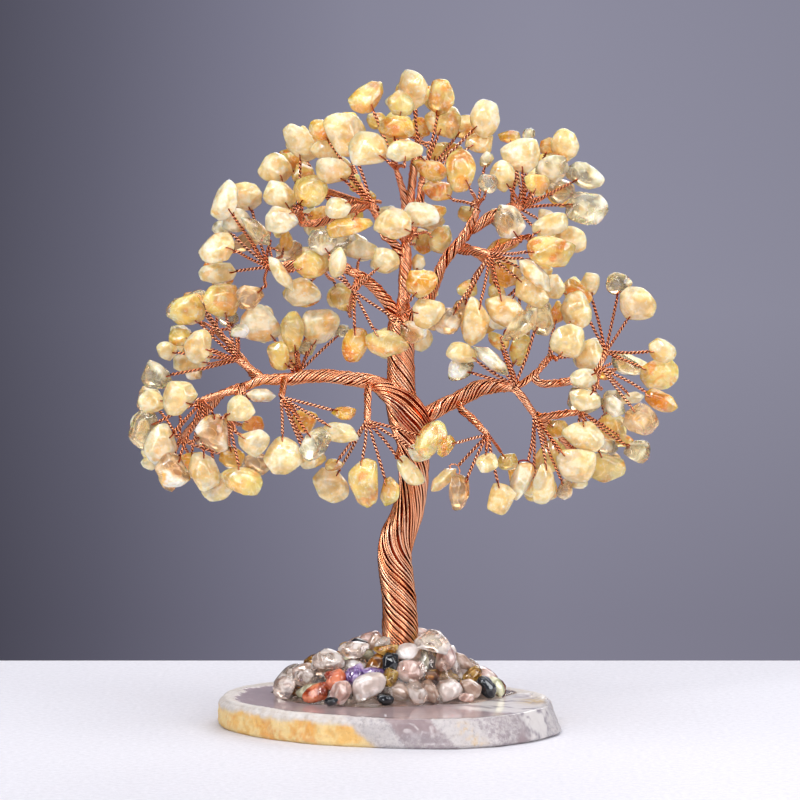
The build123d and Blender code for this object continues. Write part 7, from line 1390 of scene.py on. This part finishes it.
STONES = {
    "mound_quartz": ("clear_quartz", stone("clear_quartz", [(255, 238, 224), (252, 228, 212), (255, 246, 234)], ((255, 252, 248), 0.8), ((214, 168, 136), 0.22), (0.94, 0.45), (0.02, 0.16), 0.15, (1, 0.85, 0.75))),
    "mound_milky_quartz": ("milky_quartz", stone("milky_quartz", [(244, 228, 220), (238, 222, 214), (248, 236, 226)], ((252, 248, 246), 0.8), ((198, 176, 160), 0.5), (0.35, 0.03), (0.04, 0.16), 0.6, (1, 0.85, 0.78))),
    "mound_grey_agate": ("grey_agate", stone("grey_agate", [(200, 166, 142), (184, 150, 130), (212, 176, 148)], ((226, 208, 196), 0.7), ((128, 100, 82), 0.6), (0.35, 0.08), (0.04, 0.14), 0.4, band=((212, 188, 170), 0.4))),
    "mound_hematite": ("hematite", stone("hematite", [(30, 32, 36), (44, 48, 52), (24, 24, 28)], ((66, 72, 78), 0.5), None, (0, 0), (0.03, 0.12), 0.0, metal=0.5)),
    "mound_tiger_eye": ("tiger_eye", stone("tiger_eye", [(150, 88, 26), (122, 68, 20), (168, 104, 34)], ((206, 142, 50), 0.65), ((60, 32, 12), 0.7), (0.25, 0.0), (0.03, 0.12), 0.15, (1, 0.5, 0.2), band=((64, 32, 12), 0.6))),
    "mound_amethyst": ("amethyst", stone("amethyst", [(176, 140, 216), (156, 116, 200), (200, 172, 226)], ((240, 226, 246), 0.75), ((116, 70, 170), 0.7), (0.80, 0.30), (0.02, 0.12), 0.2)),
    "mound_carnelian": ("carnelian", stone("carnelian", [(236, 84, 30), (214, 50, 22), (240, 124, 62)], ((250, 190, 150), 0.45), ((170, 26, 12), 0.7), (0.75, 0.20), (0.02, 0.12), 0.3, (1, 0.4, 0.22))),
    "mound_citrine": ("citrine_mound", stone("citrine_mound", [(222, 166, 40), (204, 138, 26), (232, 190, 84)], ((250, 228, 150), 0.6), ((140, 82, 12), 0.6), (0.88, 0.35), (0.02, 0.12), 0.2, (1, 0.7, 0.2))),
    "mound_rose_quartz": ("rose_quartz", stone("rose_quartz", [(244, 208, 196), (238, 192, 176), (248, 222, 212)], ((255, 244, 238), 0.8), ((206, 140, 108), 0.45), (0.65, 0.15), (0.03, 0.14), 0.4, (1, 0.7, 0.6))),
    "mound_prehnite": ("prehnite", stone("prehnite", [(226, 222, 178), (208, 208, 160), (234, 230, 194)], ((248, 246, 220), 0.75), ((108, 98, 60), 0.55), (0.6, 0.12), (0.03, 0.14), 0.4, (1, 0.95, 0.6))),
}
for node, rows in MOUND.items():
    slot, mat = STONES[node]
    sk = Skin()
    for px, py, pz, qw, qx, qy, qz, a, b, c, seed in rows:
        R = rot((qw, qx, qy, qz))
        V, _, _ = pebble(seed, a, b, c, p=22.0, dent=0.05, cuts=5)
        sk.add(V @ R.T + np.array([px, py, pz]), tris=BALL_F, rnd=rg.uniform(0, 1), rn2=rg.uniform(0, 1))
    ob = sk.make("tumbled" + node[5:])
    ob.data.materials.append(mat)
    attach(ob, BASE)
    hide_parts(node)

# ---- clear glue: it fills the gaps between the stones and runs out as a wet skirt ------------
NG, NR = 240, 46
th = np.linspace(0, 2 * np.pi, NG, endpoint=False)
GX, GY = MOUND_RX - 1.0, MOUND_RY - 1.0
edge_w = 1 + 0.035 * np.sin(3 * th + 1.0) + 0.03 * np.sin(7 * th + 0.4) + 0.018 * np.sin(13 * th)
tt = np.linspace(1.06, 0.0, NR, endpoint=False)
GXY = np.stack([MOUND_CX + GX * tt[:, None] * (edge_w * np.cos(th))[None], MOUND_CY + GY * tt[:, None] * (edge_w * np.sin(th))[None]], -1)
top = np.full((NR, NG), SLAB_T)
for rows in MOUND.values():
    for px, py, pz, qw, qx, qy, qz, a, b, c, seed in rows:
        R = rot((qw, qx, qy, qz))
        A = R @ np.diag([1 / a ** 2, 1 / b ** 2, 1 / c ** 2]) @ R.T
        dx, dy = GXY[..., 0] - px, GXY[..., 1] - py
        B = A[0, 2] * dx + A[1, 2] * dy
        C = A[0, 0] * dx * dx + 2 * A[0, 1] * dx * dy + A[1, 1] * dy * dy - 1
        D = B * B - A[2, 2] * C
        hit = np.where(D > 0, pz + (-B + np.sqrt(np.maximum(D, 0))) / A[2, 2], -1)
        top = np.maximum(top, hit)
fill = top.copy()
for _ in range(26):
    fill = 0.5 * fill + 0.25 * (np.roll(fill, 1, 1) + np.roll(fill, -1, 1))
    f2 = fill.copy()
    f2[1:-1] = 0.5 * fill[1:-1] + 0.25 * (fill[:-2] + fill[2:])
    f2[-1] = fill[-1].mean() * 0.5 + 0.5 * fill[-2].mean()
    fill = f2
fill = np.minimum(fill - 1.7, top + 0.9)
taper = soft(1.06 - tt, 0.0, 0.10)[:, None]
gz = SLAB_T - 0.12 + np.maximum((fill - SLAB_T) * taper, 0) + 0.30 * soft(1.06 - tt, 0.0, 0.03)[:, None]
V = np.dstack([GXY, gz]).reshape(-1, 3)
idx = np.arange(NR * NG).reshape(-1, NG)
a, b = idx[:-1], idx[1:]
quads = np.stack([a, np.roll(a, -1, 1), np.roll(b, -1, 1), b], -1).reshape(-1, 4)
V = np.vstack([V, [MOUND_CX, MOUND_CY, float(gz[-1].mean())], [MOUND_CX, MOUND_CY, SLAB_T - 0.12]])
tris = np.concatenate([np.column_stack([idx[-1], np.roll(idx[-1], -1), np.full(NG, len(V) - 2)]),
                       np.column_stack([np.roll(idx[0], -1), idx[0], np.full(NG, len(V) - 1)])])
G = Mat("clear_glue")
haze = G.noise(240.0, 4, 0.6)
G.link(G.mix(G.ramp(haze, [(0.4, 0.0), (0.7, 1.0)]), srgb(255, 230, 210), srgb(255, 246, 236)), "Base Color")
G.link(G.ramp(haze, [(0.4, 0.03), (0.7, 0.14)]), "Roughness")
G.link(G.ramp(haze, [(0.35, 1.0), (0.75, 0.88)]), "Transmission Weight")
G.put(IOR=1.47)
G.bump(G.noise(160.0, 3), 0.4, 0.0008)
sk = Skin()
sk.add(V, tris=tris, quads=quads)
ob = sk.make("glue_dome")
ob.data.materials.append(G.m)
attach(ob, BASE)
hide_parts("glue_bed")

# ---- table, light and camera ------------------------------------------------------------------
import bmesh
bm = bmesh.new()
y1, y0, x1 = 0.113, -1.15, 1.6
prof = [(y0, 0.0), (y1 - 0.0012, 0.0), (y1 - 0.0004, -0.0003), (y1, -0.0012), (y1, -0.03), (y0, -0.03)]
va = [bm.verts.new((-x1, p, q)) for p, q in prof]
vb = [bm.verts.new((x1, p, q)) for p, q in prof]
for i in range(len(prof)):
    j = (i + 1) % len(prof)
    bm.faces.new((va[i], va[j], vb[j], vb[i]))
bm.faces.new(va[::-1])
bm.faces.new(vb)
bmesh.ops.recalc_face_normals(bm, faces=bm.faces)
me = bpy.data.meshes.new("table_top")
bm.to_mesh(me)
bm.free()
table = bpy.data.objects.new("table_top", me)
bpy.context.scene.collection.objects.link(table)
F = Mat("table_white")
grain = F.noise(700.0, 5, 0.7)
F.link(F.mix(F.ramp(grain, [(0.35, 0.0), (0.65, 1.0)]), srgb(210, 209, 215), srgb(223, 222, 228)), "Base Color")
F.put(Roughness=0.75)
F.bump(F.noise(1100.0, 4, 0.7), 0.25, 0.0004)
me.materials.append(F.m)

world = bpy.data.worlds.new("studio")
bpy.context.scene.world = world
world.use_nodes = True
wn = world.node_tree
bg = wn.nodes["Background"]
tc = wn.nodes.new("ShaderNodeTexCoord")
sp = wn.nodes.new("ShaderNodeSeparateXYZ")
wn.links.new(tc.outputs["Generated"], sp.inputs[0])


def sky(axis, lo, hi, stops):
    mr = wn.nodes.new("ShaderNodeMapRange")
    mr.inputs["From Min"].default_value = lo
    mr.inputs["From Max"].default_value = hi
    wn.links.new(sp.outputs[axis], mr.inputs[0])
    cr = wn.nodes.new("ShaderNodeValToRGB")
    while len(cr.color_ramp.elements) < len(stops):
        cr.color_ramp.elements.new(0.5)
    for e, (pos, c) in zip(cr.color_ramp.elements, stops):
        e.position = pos
        e.color = (*c, 1)
    wn.links.new(mr.outputs[0], cr.inputs[0])
    return cr.outputs[0]


wide = sky(0, -0.11, 0.11, [(0.0, srgb(84, 83, 97)), (0.12, srgb(99, 98, 114)), (0.3, srgb(122, 121, 139)), (0.45, srgb(137, 136, 154)),
                            (0.68, srgb(143, 142, 160)), (1.0, srgb(138, 137, 154))])
tall = sky(2, -0.13, 0.04, [(0.0, (0.80, 0.79, 0.80)), (0.5, (1.02, 1.02, 1.02)), (1.0, (0.97, 0.97, 0.98))])
deep = sky(1, 0.20, 0.93, [(0.0, (1.0, 1.0, 0.97)), (0.6, (1.0, 1.0, 0.97)), (1.0, (1.0, 1.0, 1.0))])
mx = wn.nodes.new("ShaderNodeMix")
mx.data_type, mx.blend_type = "RGBA", "MULTIPLY"
mx.inputs[0].default_value = 1.0
wn.links.new(wide, mx.inputs[6])
wn.links.new(tall, mx.inputs[7])
m2 = wn.nodes.new("ShaderNodeMix")
m2.data_type, m2.blend_type = "RGBA", "MULTIPLY"
m2.inputs[0].default_value = 1.0
wn.links.new(mx.outputs[2], m2.inputs[6])
wn.links.new(deep, m2.inputs[7])
wn.links.new(m2.outputs[2], bg.inputs[0])
bg.inputs[1].default_value = 1.0


def softbox(name, place, aim, size, power, colour=(1, 1, 1)):
    li = bpy.data.lights.new(name, "AREA")
    li.shape = "RECTANGLE"
    li.size, li.size_y = size
    li.energy = power
    li.color = colour
    ob = bpy.data.objects.new(name, li)
    ob.location = place
    d = Vector(aim) - Vector(place)
    ob.rotation_euler = d.to_track_quat("-Z", "Y").to_euler()
    bpy.context.scene.collection.objects.link(ob)
    return ob


from mathutils import Vector
softbox("top_box", (0.05, -0.15, 1.05), (0, 0, 0.05), (1.2, 1.0), 8.2)
softbox("left_box", (-0.80, -0.85, 0.55), (0, 0, 0.09), (0.40, 0.8), 4.4)
softbox("right_box", (0.90, -0.70, 0.50), (0, 0, 0.09), (0.40, 0.8), 5.6)
softbox("back_box", (0.35, 0.95, 0.75), (0, 0, 0.11), (0.9, 0.6), 6.0)
softbox("front_strip", (0.0, -1.15, 0.62), (0, 0, 0.10), (0.7, 0.14), 2.5)
softbox("small_key", (-0.50, -0.95, 0.85), (0, 0, 0.09), (0.22, 0.22), 3.9)

cam = bpy.data.cameras.new("camera")
cam.sensor_width = 36.0
cam.sensor_fit = "HORIZONTAL"
cam.lens = 162.0
cam.clip_start = 0.01
cam.clip_end = 20.0
co = bpy.data.objects.new("camera", cam)
co.location = (0.0025, -0.8978, 0.14495)
co.rotation_euler = (math.radians(90 - 4.03), 0, 0)
bpy.context.scene.collection.objects.link(co)
bpy.context.scene.camera = co
bpy.context.scene.view_settings.view_transform = "Standard"
